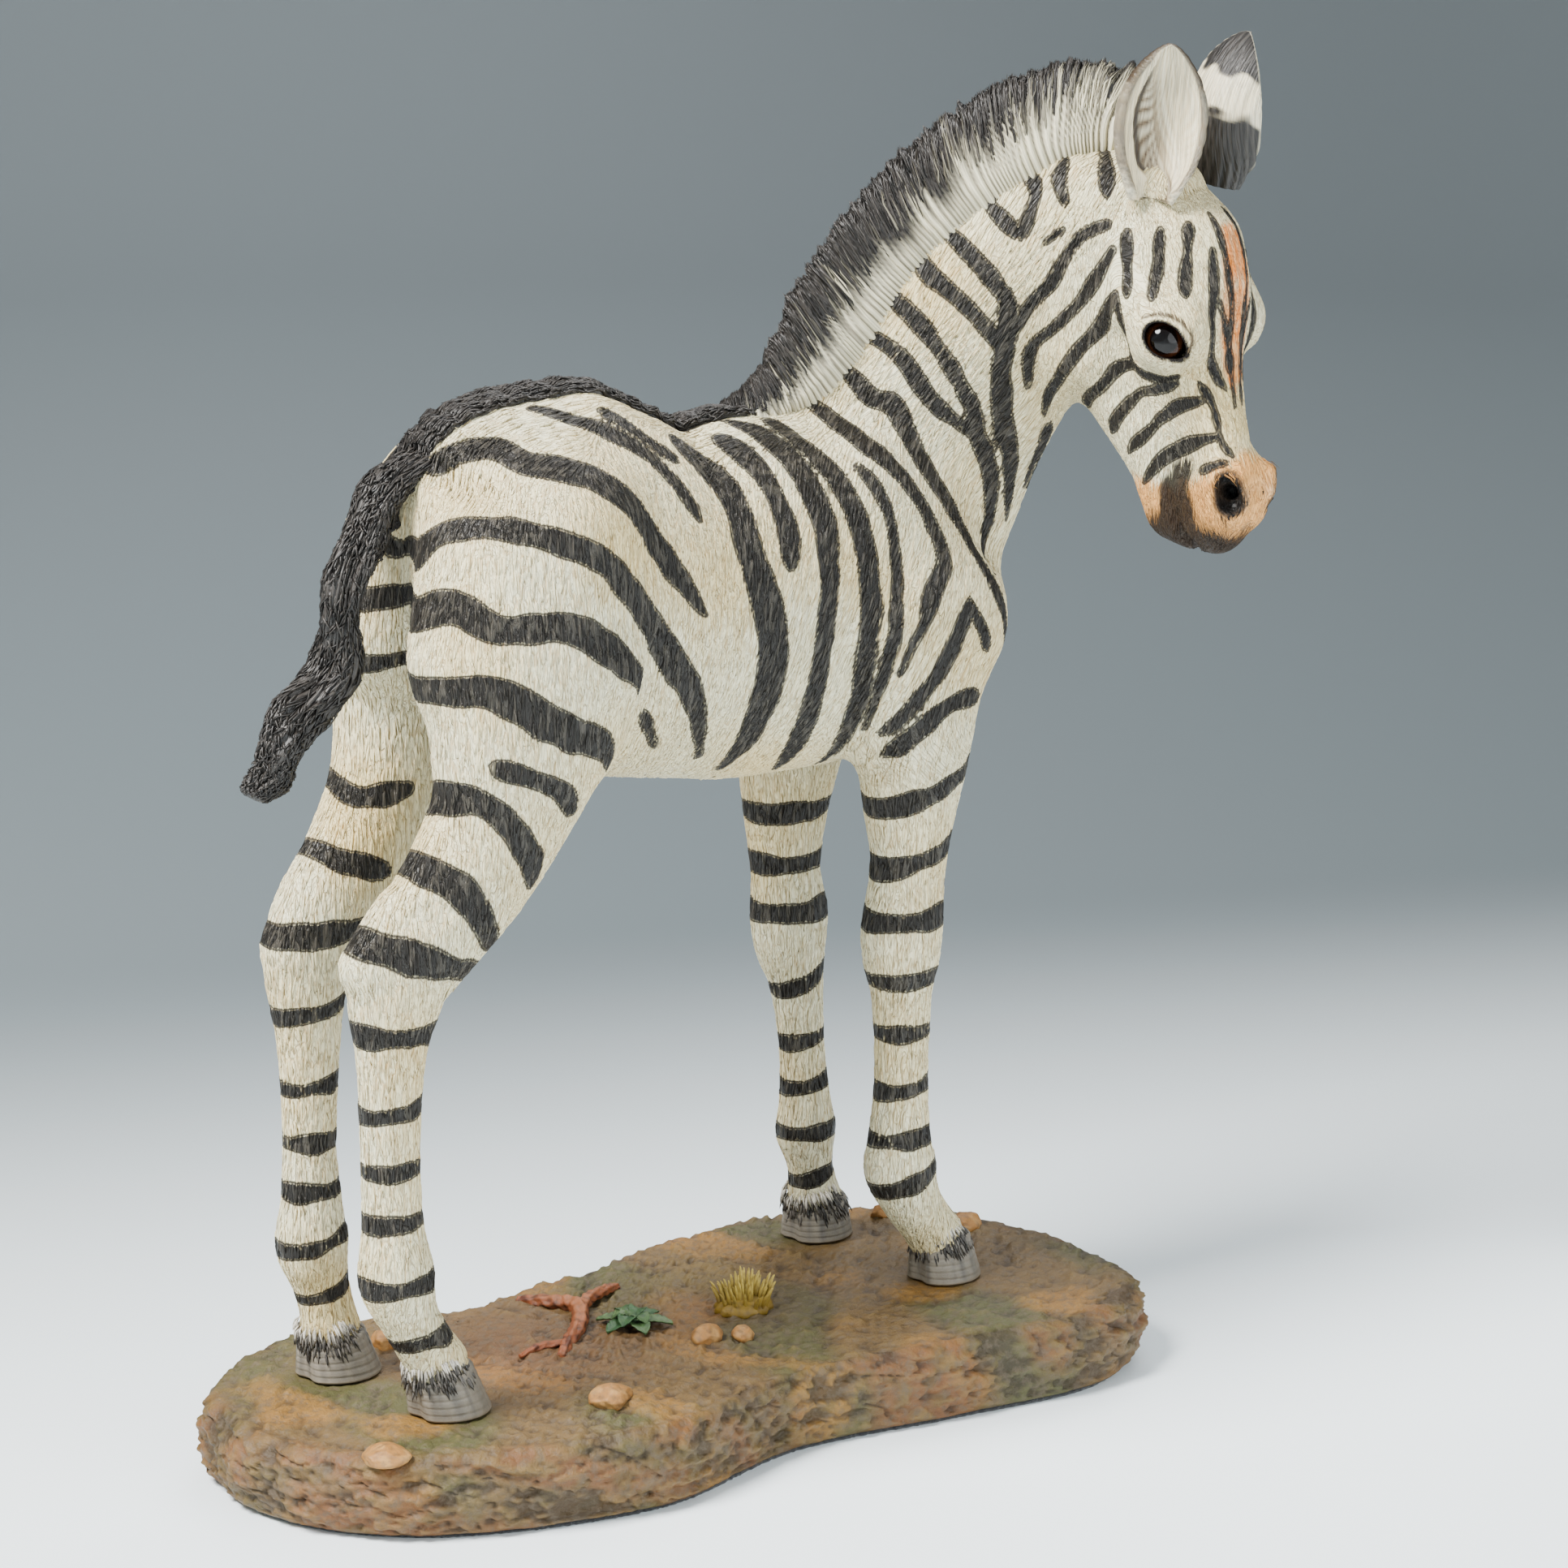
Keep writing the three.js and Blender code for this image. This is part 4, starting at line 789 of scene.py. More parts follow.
def stripe_field(points, lines):
    """Signed distance to the nearest stripe in millimetres, negative inside one."""
    field = np.full(len(points), STRIPE_REACH)
    for line, widths in lines:
        field = np.minimum(field, line_distance(points, line, widths))
    for name, mine, middle in leg_of(points):
        here, middle = points[mine], middle[mine]
        turn = np.arctan2(here[:, 1] - middle[:, 1], here[:, 0] - middle[:, 0])
        for index, (height, half, drop) in enumerate(RINGS[name]):
            line = height - drop * (here[:, 0] - middle[:, 0])
            width = 0.92 * half * (1 + 0.2 * np.sin(turn * 2 + 1.7 * index))
            field[mine] = np.minimum(field[mine], np.abs(here[:, 2] - line) - width)
    return field + 0.25 * waves(points, 7, 3)


def head_share(flesh, points):
    """1 on the head, 0 on the neck, with a short run between them."""
    along, front, _ = head_local(points).T
    ahead = (along + 2) * 0.89 + (front - 15) * 0.455
    return smoothstep(ahead, -3, 4) * smoothstep(-flesh.skull.distance(points), -9, -5)


def hair_slant(points):
    """How much the hair leans back as it runs down: more to the front and up the neck."""
    x, _, z = points.T
    slant = 0.45 * smoothstep(x, -20, 40) + 0.35 * smoothstep(z + 0.5 * x, 225, 255)
    return slant * smoothstep(z, 128, 150)


def lie_of_hair(flesh, points, normals):
    """Which way the hair lies, and the shares of the head and of the top of the back."""
    slant = hair_slant(points)
    way = np.stack([-slant, 0 * slant, 0 * slant - 1], 1)
    head = head_share(flesh, points)
    top = smoothstep(normals[:, 2], 0.72, 0.9) * (points[:, 2] > 150) * (1 - head)
    way = over(way, [-1.2, 0, -0.2], top)
    cheek = smoothstep(-head_local(points)[:, 1], -10, 0)[:, None]
    way = over(way, HEAD_ALONG - 0.5 * cheek * HEAD_FRONT, head)
    way -= normals * (way * normals).sum(1, keepdims=True)
    return unit(way), head, top


STROKE = 5.2   # length of a stroke of the hair; its width is 1


def hair_grid(points, head, top):
    """Places counted in strokes: two steps across the hair and one along it, for the body
    and, as the second, for the head or the top of the back; then the second's share."""
    x, y, z = points.T
    along, front, left = head_local(points).T
    cheek = smoothstep(-front, -10, 0)
    body = np.stack([x - hair_slant(points) * (z - 175), y, z / STROKE], 1)
    face = np.stack([front + 0.5 * cheek * along, left, along / STROKE], 1) * [1.25, 1.25, 1.3]
    back = np.stack([y, z, x / STROKE], 1)
    other = np.where((head > top)[:, None], face, back)
    bend = 0.7 * waves(points, 16, 8)[:, None] * [1, 1, 0]
    return body + bend, other + bend, np.maximum(head, top)


def linear(red, green, blue):
    """A colour as it is seen, made linear for the shaders."""
    return np.array([red, green, blue], float) ** 2.2


CREAM = linear(0.87, 0.845, 0.71)
IVORY = linear(0.86, 0.785, 0.58)
TAN = linear(0.93, 0.67, 0.38)
GOLD = linear(0.90, 0.52, 0.20)
SOOT = linear(0.12, 0.105, 0.095)
UMBER = linear(0.36, 0.27, 0.20)


def skin_paint(flesh, points):
    """The paint under the stripes: cream with warmer clouds, a tan muzzle with dark lips
    and nostrils, gold on the forehead and dark lids."""
    paint = over(np.tile(CREAM, (len(points), 1)), IVORY, 0.25 + 0.45 * waves(points, 38, 4))
    folds = np.min([fold.distance(points) for fold, _ in flesh.folds], 0)
    # Painted shade: the skin is darker and warmer in and near each fold.
    paint = over(paint, linear(0.72, 0.64, 0.50), 0.25 * smoothstep(-folds, -2.5, 0))
    head = np.flatnonzero(from_head(points) < flesh.HEAD_REACH)
    paint[head] = face_paint(flesh, points[head], paint[head])
    return paint


def face_paint(flesh, points, paint):
    along, front, left = head_local(points).T
    side = np.abs(left)
    blur = waves(points, 5, 6)
    inside = flesh.skull.distance(points) < 6
    muzzle = smoothstep(along + 0.25 * front + 0.6 * blur, 61.2, 64.2)
    chin = smoothstep(along - 0.4 * (front + 4), 60.5, 63.5) * (front < -2)
    tooled = 0.9 + 0.1 * waves(np.stack([along * 0.25, front, side], 1), 1.1, 12)
    paint = over(paint, TAN * tooled[:, None], np.maximum(muzzle, chin) * 0.95 * inside)
    # Painted highlight: paler paint on the top of the muzzle towards its tip.
    paint = over(paint, linear(0.93, 0.82, 0.70),
                 0.6 * smoothstep(along, 64, 70) * smoothstep(front, 11, 15))
    local = np.stack([along, front, side], 1)

    def near_line(places, widths):
        """Distance to a painted line laid over the face, less its half width."""
        laid = head_local(flesh.snap(on_head(places), 6))
        return line_distance(local, spline_rows(laid, 4),
                             spline_rows(np.array(widths, float)[:, None], 4)[:, 0])

    gold = near_line(FOREHEAD_GOLD, (1.4, 2.7, 2.8, 1.4))
    streaks = 0.75 + 0.25 * waves(local * [0.12, 1, 1], 1.3, 7)
    paint = over(paint, GOLD, np.clip(streaks, 0, 1) * smoothstep(-gold - 0.3 * blur, -1.2, 0.5))
    lips = near_line([(59, 1.5, 10.5), (63, -1, 10.5), (68, -3, 9.6), (73, -4.5, 7.5),
                      (76, -5, 4), (77, -5, 0)], (1.8, 3.4, 4.6, 5, 5, 4.6))
    tip = 0.5 * (along - 69) - 0.45 * (front - 2) + 0.3 * blur
    shade = np.maximum(smoothstep(-lips - 0.4 * blur, -1.4, 0.4),
                       smoothstep(tip, -0.8, 1.8) * smoothstep(along, 65, 69))
    paint = over(paint, SOOT, 0.97 * shade * inside)
    nostril = Capsule((65.2, 11.1, 8.4), (68.8, 10.2, 7.4), 2.9, 3.3).distance(local)
    nostril = np.minimum(nostril, Capsule((67, 10.2, 7.4), (67, 9, 2.8), 2.8, 2.4).distance(local))
    paint = over(paint, SOOT * 1.2, 0.95 * smoothstep(-nostril, -1.1, 0.3))
    paint = over(paint, SOOT * 0.3, smoothstep(-nostril, 0.1, 1))
    gap = np.linalg.norm(local - EYE_PLACE, axis=1)
    out, ahead, up = eye_axes(local)
    rim = smoothstep(-eye_oval(ahead, up), -1.22, -1.12) * (out > 0) * (gap < 9)
    paint = over(paint, linear(0.10, 0.08, 0.07), rim)
    # Painted shade: a thin dark line along the crease over the upper lid.
    crease = near_line([(27, 7, 17), (27, 11, 16.4), (29.2, 14, 15.5), (32.7, 15.6, 14.4),
                        (35.6, 14.8, 14.4)], (0.15, 0.3, 0.4, 0.35, 0.2))
    return over(paint, UMBER * 0.5, 0.9 * smoothstep(-crease, -0.45, 0.1))


# ------------------------------------------------------------------ meshes

MADE = {}   # what an operator leaves for the next ones


def signed_volume(points, triangles):
    a, b, c = (points[triangles[:, k]] for k in range(3))
    return float(np.einsum("ij,ij->", a, np.cross(b, c))) / 6


def add_piece(name, points, triangles, material, slot, nodes=(), uv=None, **layers):
    """Makes an object of triangles, with its layers as attributes on the vertices."""
    mesh = bpy.data.meshes.new(name)
    triangles = np.ascontiguousarray(triangles, dtype=np.int32)
    mesh.vertices.add(len(points))
    mesh.vertices.foreach_set("co", to_frame(points).ravel())
    mesh.loops.add(triangles.size)
    mesh.loops.foreach_set("vertex_index", triangles.ravel())
    mesh.polygons.add(len(triangles))
    mesh.polygons.foreach_set("loop_start", np.arange(len(triangles), dtype=np.int32) * 3)
    mesh.polygons.foreach_set("loop_total", np.full(len(triangles), 3, np.int32))
    mesh.update(calc_edges=True)
    mesh.polygons.foreach_set("use_smooth", np.ones(len(triangles), bool))
    for label, values in layers.items():
        kind, field = ("FLOAT", "value") if values.ndim == 1 else ("FLOAT_VECTOR", "vector")
        if label == "paint":
            kind, field = "FLOAT_COLOR", "color"
            values = np.hstack([values, np.ones((len(values), 1))])
        layer = mesh.attributes.new(label, kind, "POINT")
        layer.data.foreach_set(field, values.ravel())
    if uv is not None:
        layer = mesh.uv_layers.new(name="OFBake")
        layer.data.foreach_set("uv", uv[triangles.ravel()].ravel())
    mesh.materials.append(material)
    piece = bpy.data.objects.new(name, mesh)
    bpy.context.collection.objects.link(piece)
    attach(piece, "root")
    if nodes:
        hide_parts(*nodes)
    return piece


def grid_faces(rows, columns):
    """Triangles of a grid of vertices whose columns close into rings."""
    i, j = np.meshgrid(np.arange(rows - 1), np.arange(columns), indexing="ij")
    a, b = i * columns + j, i * columns + (j + 1) % columns
    c, d = b + columns, a + columns
    return np.vstack([np.stack([a, b, c], -1).reshape(-1, 3),
                      np.stack([a, c, d], -1).reshape(-1, 3)])


def close_tube(rings, ends=None):
    """Rings of points closed by fans at both ends, faces outwards. The fans run to `ends`,
    or to the middles of the end rings."""
    rows, columns = rings.shape[:2]
    points = np.vstack([rings.reshape(-1, 3), rings[[0, -1]].mean(1) if ends is None else ends])
    first = rows * columns
    j = np.arange(columns)
    k = (j + 1) % columns
    fans = [[first + 0 * j, k, j], [first + 1 + 0 * j, first - columns + j, first - columns + k]]
    faces = np.vstack([grid_faces(rows, columns)] + [np.stack(fan, 1) for fan in fans])
    outwards = signed_volume(points, faces) > 0
    return points, faces if outwards else faces[:, ::-1]


def join_meshes(parts):
    """Several meshes as one."""
    points, faces = zip(*parts)
    starts = np.cumsum([0] + [len(part) for part in points])
    return np.vstack(points), np.vstack([part + start for part, start in zip(faces, starts)])


def capped(values):
    """Values of a tube's rings, and those of the middles that close its ends."""
    return np.vstack([values, values[:1], values[-1:]])


def run_length(places):
    """Length along a line up to each of its places."""
    return np.concatenate([[0], np.cumsum(np.linalg.norm(np.diff(places, axis=0), axis=1))])


# ------------------------------------------------------------------ tufts

TUFT_FACES = np.array([[0, 2, 1], [0, 3, 2], [0, 1, 3],
                       [1, 2, 4], [4, 2, 5], [2, 3, 5], [5, 3, 6], [3, 1, 6], [6, 1, 4],
                       [4, 5, 7], [5, 6, 7], [6, 4, 7]])


def tuft_shapes(path, normals, width, height):
    """Closed slim tufts of 8 vertices along paths of four places: a root, two sections of
    left, crest and right, and a tip."""
    across = unit(np.cross(unit(path[:, 3] - path[:, 0]), normals))
    parts = [path[:, 0]]
    for station, share, rise in ((1, 1, 1), (2, 0.7, 0.8)):
        side = across * (width * share / 2)[:, None]
        lift = normals * (height * rise)[:, None]
        sink = -normals * 0.08
        parts += [path[:, station] - side + sink, path[:, station] + lift,
                  path[:, station] + side + sink]
    parts.append(path[:, 3] + normals * (height * 0.25)[:, None])
    points = np.stack(parts, 1)
    starts = np.arange(len(path))[:, None, None] * 8
    return points.reshape(-1, 3), (starts + TUFT_FACES).reshape(-1, 3)


def face_cross(points, triangles):
    """A vector square to each triangle, twice its area long."""
    a, b, c = (points[triangles[:, k]] for k in range(3))
    return np.cross(b - a, c - a)


def scatter(vertices, triangles, count, draw):
    """Random places spread evenly over a surface: triangle and shares of its corners."""
    area = np.linalg.norm(face_cross(vertices, triangles), axis=1)
    chosen = draw.choice(len(triangles), count, p=area / area.sum())
    u, v = draw.random((2, count))
    flip = u + v > 1
    u, v = np.where(flip, 1 - u, u), np.where(flip, 1 - v, v)
    return chosen, np.stack([1 - u - v, u, v], 1)


def vertex_normals(points, triangles):
    face = face_cross(points, triangles)
    total = np.stack([sum(np.bincount(triangles[:, k], face[:, axis], len(points))
                          for k in range(3)) for axis in range(3)], 1)
    return unit(total)


def bake_place(points):
    """Where a root lies on an unwrap of the skin: each limb a strip of its own, turned
    about its line across and measured along it upwards."""
    x, y, z = points.T
    along, front, left = head_local(points).T
    everywhere = np.ones(len(points), bool)
    head = (from_head(points) < 52) & (front > -26)
    # Who is on it, the strip's corner and width, the turn's sides, the length and its ends.
    strips = [
        (everywhere, (0.01, 0.01), 0.47, z - 178, y, (x + 90) / 190),
        (~head & (z + 0.6 * x > 232), (0.52, 0.01), 0.46, y + 14, x - 78 - 0.5 * (z - 215),
         (z - 180) / 95),
        (head, (0.01, 0.51), 0.47, left, front, (along + 12) / 95),
    ]
    for index, (_, mine, middle) in enumerate(leg_of(points)):
        strips.append((mine & ~head, (0.52 + 0.12 * index, 0.51), 0.1, y - middle[:, 1],
                       x - middle[:, 0], (z - 20) / 122))
    uv = np.zeros((len(points), 2))
    for mine, corner, width, up, across, share in strips:
        turn = np.arctan2(up, across) / (2 * math.pi) + 0.5
        place = np.stack([width * turn, 0.47 * np.clip(share, 0, 1)], 1) + corner
        uv[mine] = place[mine]
    return uv


def tuft_uv(roots):
    """Each tuft's eight vertices as a patch three thousandths across at its root."""
    patch = np.array([[0, -1.5], [-1, -0.5], [0, -0.5], [1, -0.5],
                      [-0.7, 0.6], [0, 0.6], [0.7, 0.6], [0, 1.5]]) * 0.001
    return (bake_place(roots)[:, None] + patch).reshape(-1, 2)


# ------------------------------------------------------------------ skin and coat

def shape_skin(flesh):
    """The one skin of the foal: a net over the flesh, finer on the head and finest round
    the eyes, nostrils and mouth. Returns vertices and triangles."""
    step = 1.35
    low, shape = np.array([-100.0, -70.0, 16.0]), (180, 86, 204)
    values = untangle(sample_shell(flesh, low, shape, step))
    vertices, quads = surface_net(values, low, step)
    triangles = to_triangles(vertices, quads)
    vertices = relax(vertices, triangles, flesh, 2)

    def body_share(points):
        return smoothstep(from_head(points), 46, 60)

    weight = body_share(vertices) * np.clip((vertices[:, 2] - 110) / 25, 0, 1)
    vertices = fair(vertices, triangles, weight, 22)

    def snap_head(points, rounds):
        near = np.flatnonzero(from_head(points) < 60)
        keep = body_share(points[near])[:, None]
        points[near] = points[near] * keep + flesh.snap(points[near], rounds) * (1 - keep)
        return points

    middle = vertices[triangles].mean(1)
    along, front, _ = head_local(middle).T
    face = (along > -2) & (front > -24) & (middle[:, 2] < 262) & (from_head(middle) < 52)
    vertices, triangles = refine(vertices, triangles, face)
    vertices = snap_head(vertices, 1)
    local = head_local(vertices[triangles].mean(1))
    local[:, 2] = np.abs(local[:, 2])
    fine = np.linalg.norm(local - [32.5, 8.2, 17], axis=1) < 8.5
    fine |= np.linalg.norm(local - [68, 8, 8], axis=1) < 6
    fine |= (np.abs(local[:, 1] + 3.6) < 2.6) & (local[:, 0] > 58) & (local[:, 2] < 14)
    vertices, triangles = refine(vertices, triangles, fine)
    return snap_head(vertices, 2), triangles


def build_skin(settings):
    flesh = Flesh()
    vertices, triangles = shape_skin(flesh)
    lines = stripe_lines(flesh)
    normals = vertex_normals(vertices, triangles)
    _, head, top = lie_of_hair(flesh, vertices, normals)
    hair, hair_b, zone = hair_grid(vertices, head, top)
    stripe = stripe_field(vertices, lines)
    paint = skin_paint(flesh, vertices)
    add_piece("foal_skin", vertices, triangles, coat_paint("foal_coat_skin", settings, 1.0),
              "coat", FLESH_NODES, stripe=stripe, hair=hair, hair_b=hair_b, zone=zone,
              paint=paint, lift=np.full(len(vertices), 0.3))
    MADE.update(flesh=flesh, vertices=vertices, triangles=triangles, lines=lines,
                normals=normals, head=head)


STATION = np.array([0, 1, 1, 1, 2, 2, 2, 3])        # place of each tuft vertex on its path
CREST = np.array([0.2, 0, 1, 0, 0, 1, 0, 0.6])      # and how high it lies


def one_per_stroke(roots, head, top):
    """Picks one root in each stroke of the hair, the strokes laid like bricks."""
    body, other, share = hair_grid(roots, head, top)
    grid = np.where(share[:, None] > 0.5, other, body) / [1.25, 1.25, 0.75]
    key = np.floor(grid)
    key[:, 2] = np.floor(grid[:, 2] + 0.37 * (key[:, 0] + key[:, 1]))
    _, first = np.unique(key, axis=0, return_index=True)
    return np.sort(first)


def grow_coat(settings, name, chosen, shares, seed):
    """Flat tufts at places of the skin, with the markings that lie under them: a path
    goes along the hair's way, bows a little to one side and is set down on the skin."""
    flesh, vertices = MADE["flesh"], MADE["vertices"]
    corners = MADE["triangles"][chosen]
    roots = np.einsum("ijk,ij->ik", vertices[corners], shares)
    normals = unit(np.einsum("ijk,ij->ik", MADE["normals"][corners], shares))
    way, head, top = lie_of_hair(flesh, roots, normals)
    local = head_local(roots)
    local[:, 2] = np.abs(local[:, 2])
    clear = np.linalg.norm(local - [EYE_PLACE[0], 8.6, 16], axis=1) > 7.2
    clear &= np.linalg.norm(local - [67, 9.5, 9], axis=1) > 3.6
    keep = np.flatnonzero(clear)
    keep = keep[one_per_stroke(roots[keep], head[keep], top[keep])][:settings.tufts]
    roots, normals, way, head = roots[keep], normals[keep], way[keep], head[keep]
    draw = np.random.default_rng(seed)
    count = len(roots)
    side = np.cross(normals, way)
    way = unit(way + side * draw.normal(0, 0.1, count)[:, None])
    feet = smoothstep(-roots[:, 2], -60, -36)
    small = settings.tuft_scale * (1 - 0.42 * head - 0.3 * feet)
    length = small * draw.uniform(4.6, 7.6, count)
    width = small * draw.uniform(0.75, 1.15, count)
    height = small * draw.uniform(0.16, 0.32, count)
    bow = side * (draw.uniform(-0.3, 0.3, count) * small)[:, None]
    ahead = [roots + way * (length * share)[:, None] + bow * curve
             for share, curve in ((0.3, 0.8), (0.68, 1), (1, 0))]
    landed = flesh.snap(np.vstack(ahead), 1).reshape(3, -1, 3)
    path = np.stack([roots - normals * 0.12, *landed], 1)
    points, faces = tuft_shapes(path, normals, width, height)
    spread = np.repeat(np.arange(count), 8)
    stripe = stripe_field(path.reshape(-1, 3), MADE["lines"]).reshape(-1, 4)
    stripe += draw.uniform(-0.12, 0.12, count)[:, None]
    hair, hair_b, zone = hair_grid(points, head[spread], np.zeros(len(spread)))
    crest = np.tile(CREST, count)
    paint = (skin_paint(flesh, roots) * draw.uniform(0.96, 1.04, count)[:, None])[spread]
    # Painted shade: each tuft is darker and warmer on its root, sides and tip than on its crest.
    paint = over(paint, paint * linear(0.84, 0.78, 0.66), 0.85 * (1 - crest))
    add_piece(name, points, faces, coat_paint("foal_coat_tufts", settings, 0.45), "coat",
              (), tuft_uv(roots), stripe=stripe[:, STATION].ravel(), hair=hair,
              hair_b=hair_b, zone=zone, paint=np.clip(paint, 0, 1), lift=crest)


def build_coat(settings):
    vertices, triangles = MADE["vertices"], MADE["triangles"]
    draw = np.random.default_rng(11)
    middle = vertices[triangles].mean(1)
    on_face = MADE["head"][triangles].mean(1) > 0.5
    legs = (middle[:, 2] < 126) & ~on_face
    right = middle[:, 1] < neck_middle(middle)
    groups = {"coat_right": right & ~legs & ~on_face, "coat_left": ~right & ~legs & ~on_face,
              "coat_legs": legs, "coat_head": on_face}
    for index, (name, mine) in enumerate(groups.items()):
        chosen, shares = scatter(vertices, triangles[mine], 60000, draw)
        grow_coat(settings, name, np.flatnonzero(mine)[chosen], shares, 20 + index)


# ------------------------------------------------------------------ mane and tail

# x, y, z of the crest under the mane, its height and half width.
MANE = [
    [22, 0.8, 209.6, 3.6, 4.2], [33, 0.6, 211.6, 6.6, 5.4], [43, -0.2, 216.6, 9.8, 6.8],
    [55, -2.6, 228.8, 14.4, 7.4], [67, -6, 243, 14.6, 7.6], [81, -13, 256, 15.2, 7.6],
    [94, -21, 264, 15.6, 7.4], [104, -28, 266, 15, 7], [110, -33, 264, 13.6, 6],
]
TAIL = [
    [-46, 4, 213, 2.6, 4.4], [-53, 4, 212, 3.2, 4.6], [-60, 3.6, 208.6, 3.6, 4.6],
    [-66.5, 3, 203.6, 3.6, 4.2], [-71.5, 2, 197.5, 3.4, 3.9], [-74.6, 1, 190, 3.4, 3.8],
    [-77, 1, 180.5, 3.8, 4], [-80.5, 1, 172, 4.7, 4.6], [-87.5, 1, 164.5, 5.2, 4.8],
    [-93.2, 1, 158.4, 4.9, 4.5], [-96, 1, 154.2, 4, 3.7], [-97.6, 1, 151.6, 2.6, 2.5],
    [-98.3, 1, 150.4, 1, 1],
]


def strands(across, along, pitch, seed):
    """Relief of combed strands, 0 to 1: rounded ridges `pitch` apart that wander a little
    along their length, in clumps of uneven height."""
    plane = np.stack([across.ravel(), along.ravel() * 0.3], 1)
    wander = 0.8 * waves(plane, 9 * pitch, seed).reshape(across.shape)
    phase = across / pitch + wander
    ridge = np.abs(np.sin(math.pi * phase))
    clump = waves(np.stack([np.floor(phase).ravel(), along.ravel() * 0.08], 1), 3.1,
                  seed + 1).reshape(across.shape)
    return ridge * (0.75 + 0.25 * clump)


def carried_frames(rows, steps, upward):
    """A splined line with, at each place, the way along, to the side and up."""
    fine = spline_rows(rows, steps)
    ahead = unit(np.gradient(fine[:, :3], axis=0))
    side = unit(np.cross(np.asarray(upward, float), ahead))
    return fine, ahead, side, np.cross(ahead, side)


def carried(fine, first, second, one, two):
    """Rings round a line: at each of its places, `one` and `two` along two directions."""
    return fine[:, None, :3] + first[:, None] * one[..., None] + second[:, None] * two[..., None]


def hug(grid, index, level, ahead, around, out):
    """Paths of locks that lie along a grid of places: each starts at a place and takes
    three steps of `ahead` rows and `around` columns, lifted a hair's breadth."""
    path = []
    for step, lift in enumerate((-0.25, 0.05, 0.1, 0.0)):
        row = np.clip(np.round(index + step * ahead).astype(int), 0, grid.shape[0] - 1)
        column = np.round(level + step * around).astype(int) % grid.shape[1]
        path.append(grid[row, column] + lift * out)
    return np.stack(path, 1)


def add_locks(name, path, out, width, height, share, tone, place, finish, draw):
    """Locks of long hair: `share` is how dark, `place` counts strands across."""
    total = len(path)
    points, faces = tuft_shapes(path, out, draw.uniform(0.7, 1.3, total) * width,
                                draw.uniform(0.6, 1.4, total) * height)
    paint = hair_paint(share, draw.uniform(0.1, 1, total), tone, place)
    hair = np.stack([np.repeat(place, 8), np.repeat(share * 4, 8), np.zeros(total * 8)], 1)
    add_piece(name, points, faces, hair_finish(finish), "dark_hair", (), tuft_uv(path[:, 0]),
              paint=np.repeat(paint, 8, 0), hair=hair)


def coats(count, base, *layers):
    """A base colour on `count` places under coats of paint, each a colour and its share."""
    paint = np.tile(linear(*base), (count, 1))
    for colour, share in layers:
        paint = over(paint, linear(*colour), share)
    return paint


def hair_paint(share, relief, seed, length, bare=0.0):
    """Cream at the roots and charcoal towards the tips, in streaks along the strands.
    `bare` is how much farther up the cream reaches."""
    share, relief, length = share.ravel(), relief.ravel(), length.ravel()
    streak = waves(np.stack([length, share * 0.6], 1), 1.6, seed)
    patch = waves(np.stack([length, share * 0.2], 1), 14, seed + 1)
    dark = smoothstep(share - bare + 0.14 * streak + 0.1 * patch, 0.04, 0.54)
    tips = coats(dark.size, (0.085, 0.078, 0.072), ((0.27, 0.255, 0.24), 0.65 * relief ** 3))
    # Painted shade: the cream roots turn brown in the hollows between the strands.
    roots = coats(dark.size, (0.85, 0.82, 0.70),
                  ((0.33, 0.285, 0.225), 0.8 * smoothstep(-relief, -0.55, 0)))
    return over(roots, tips, dark)


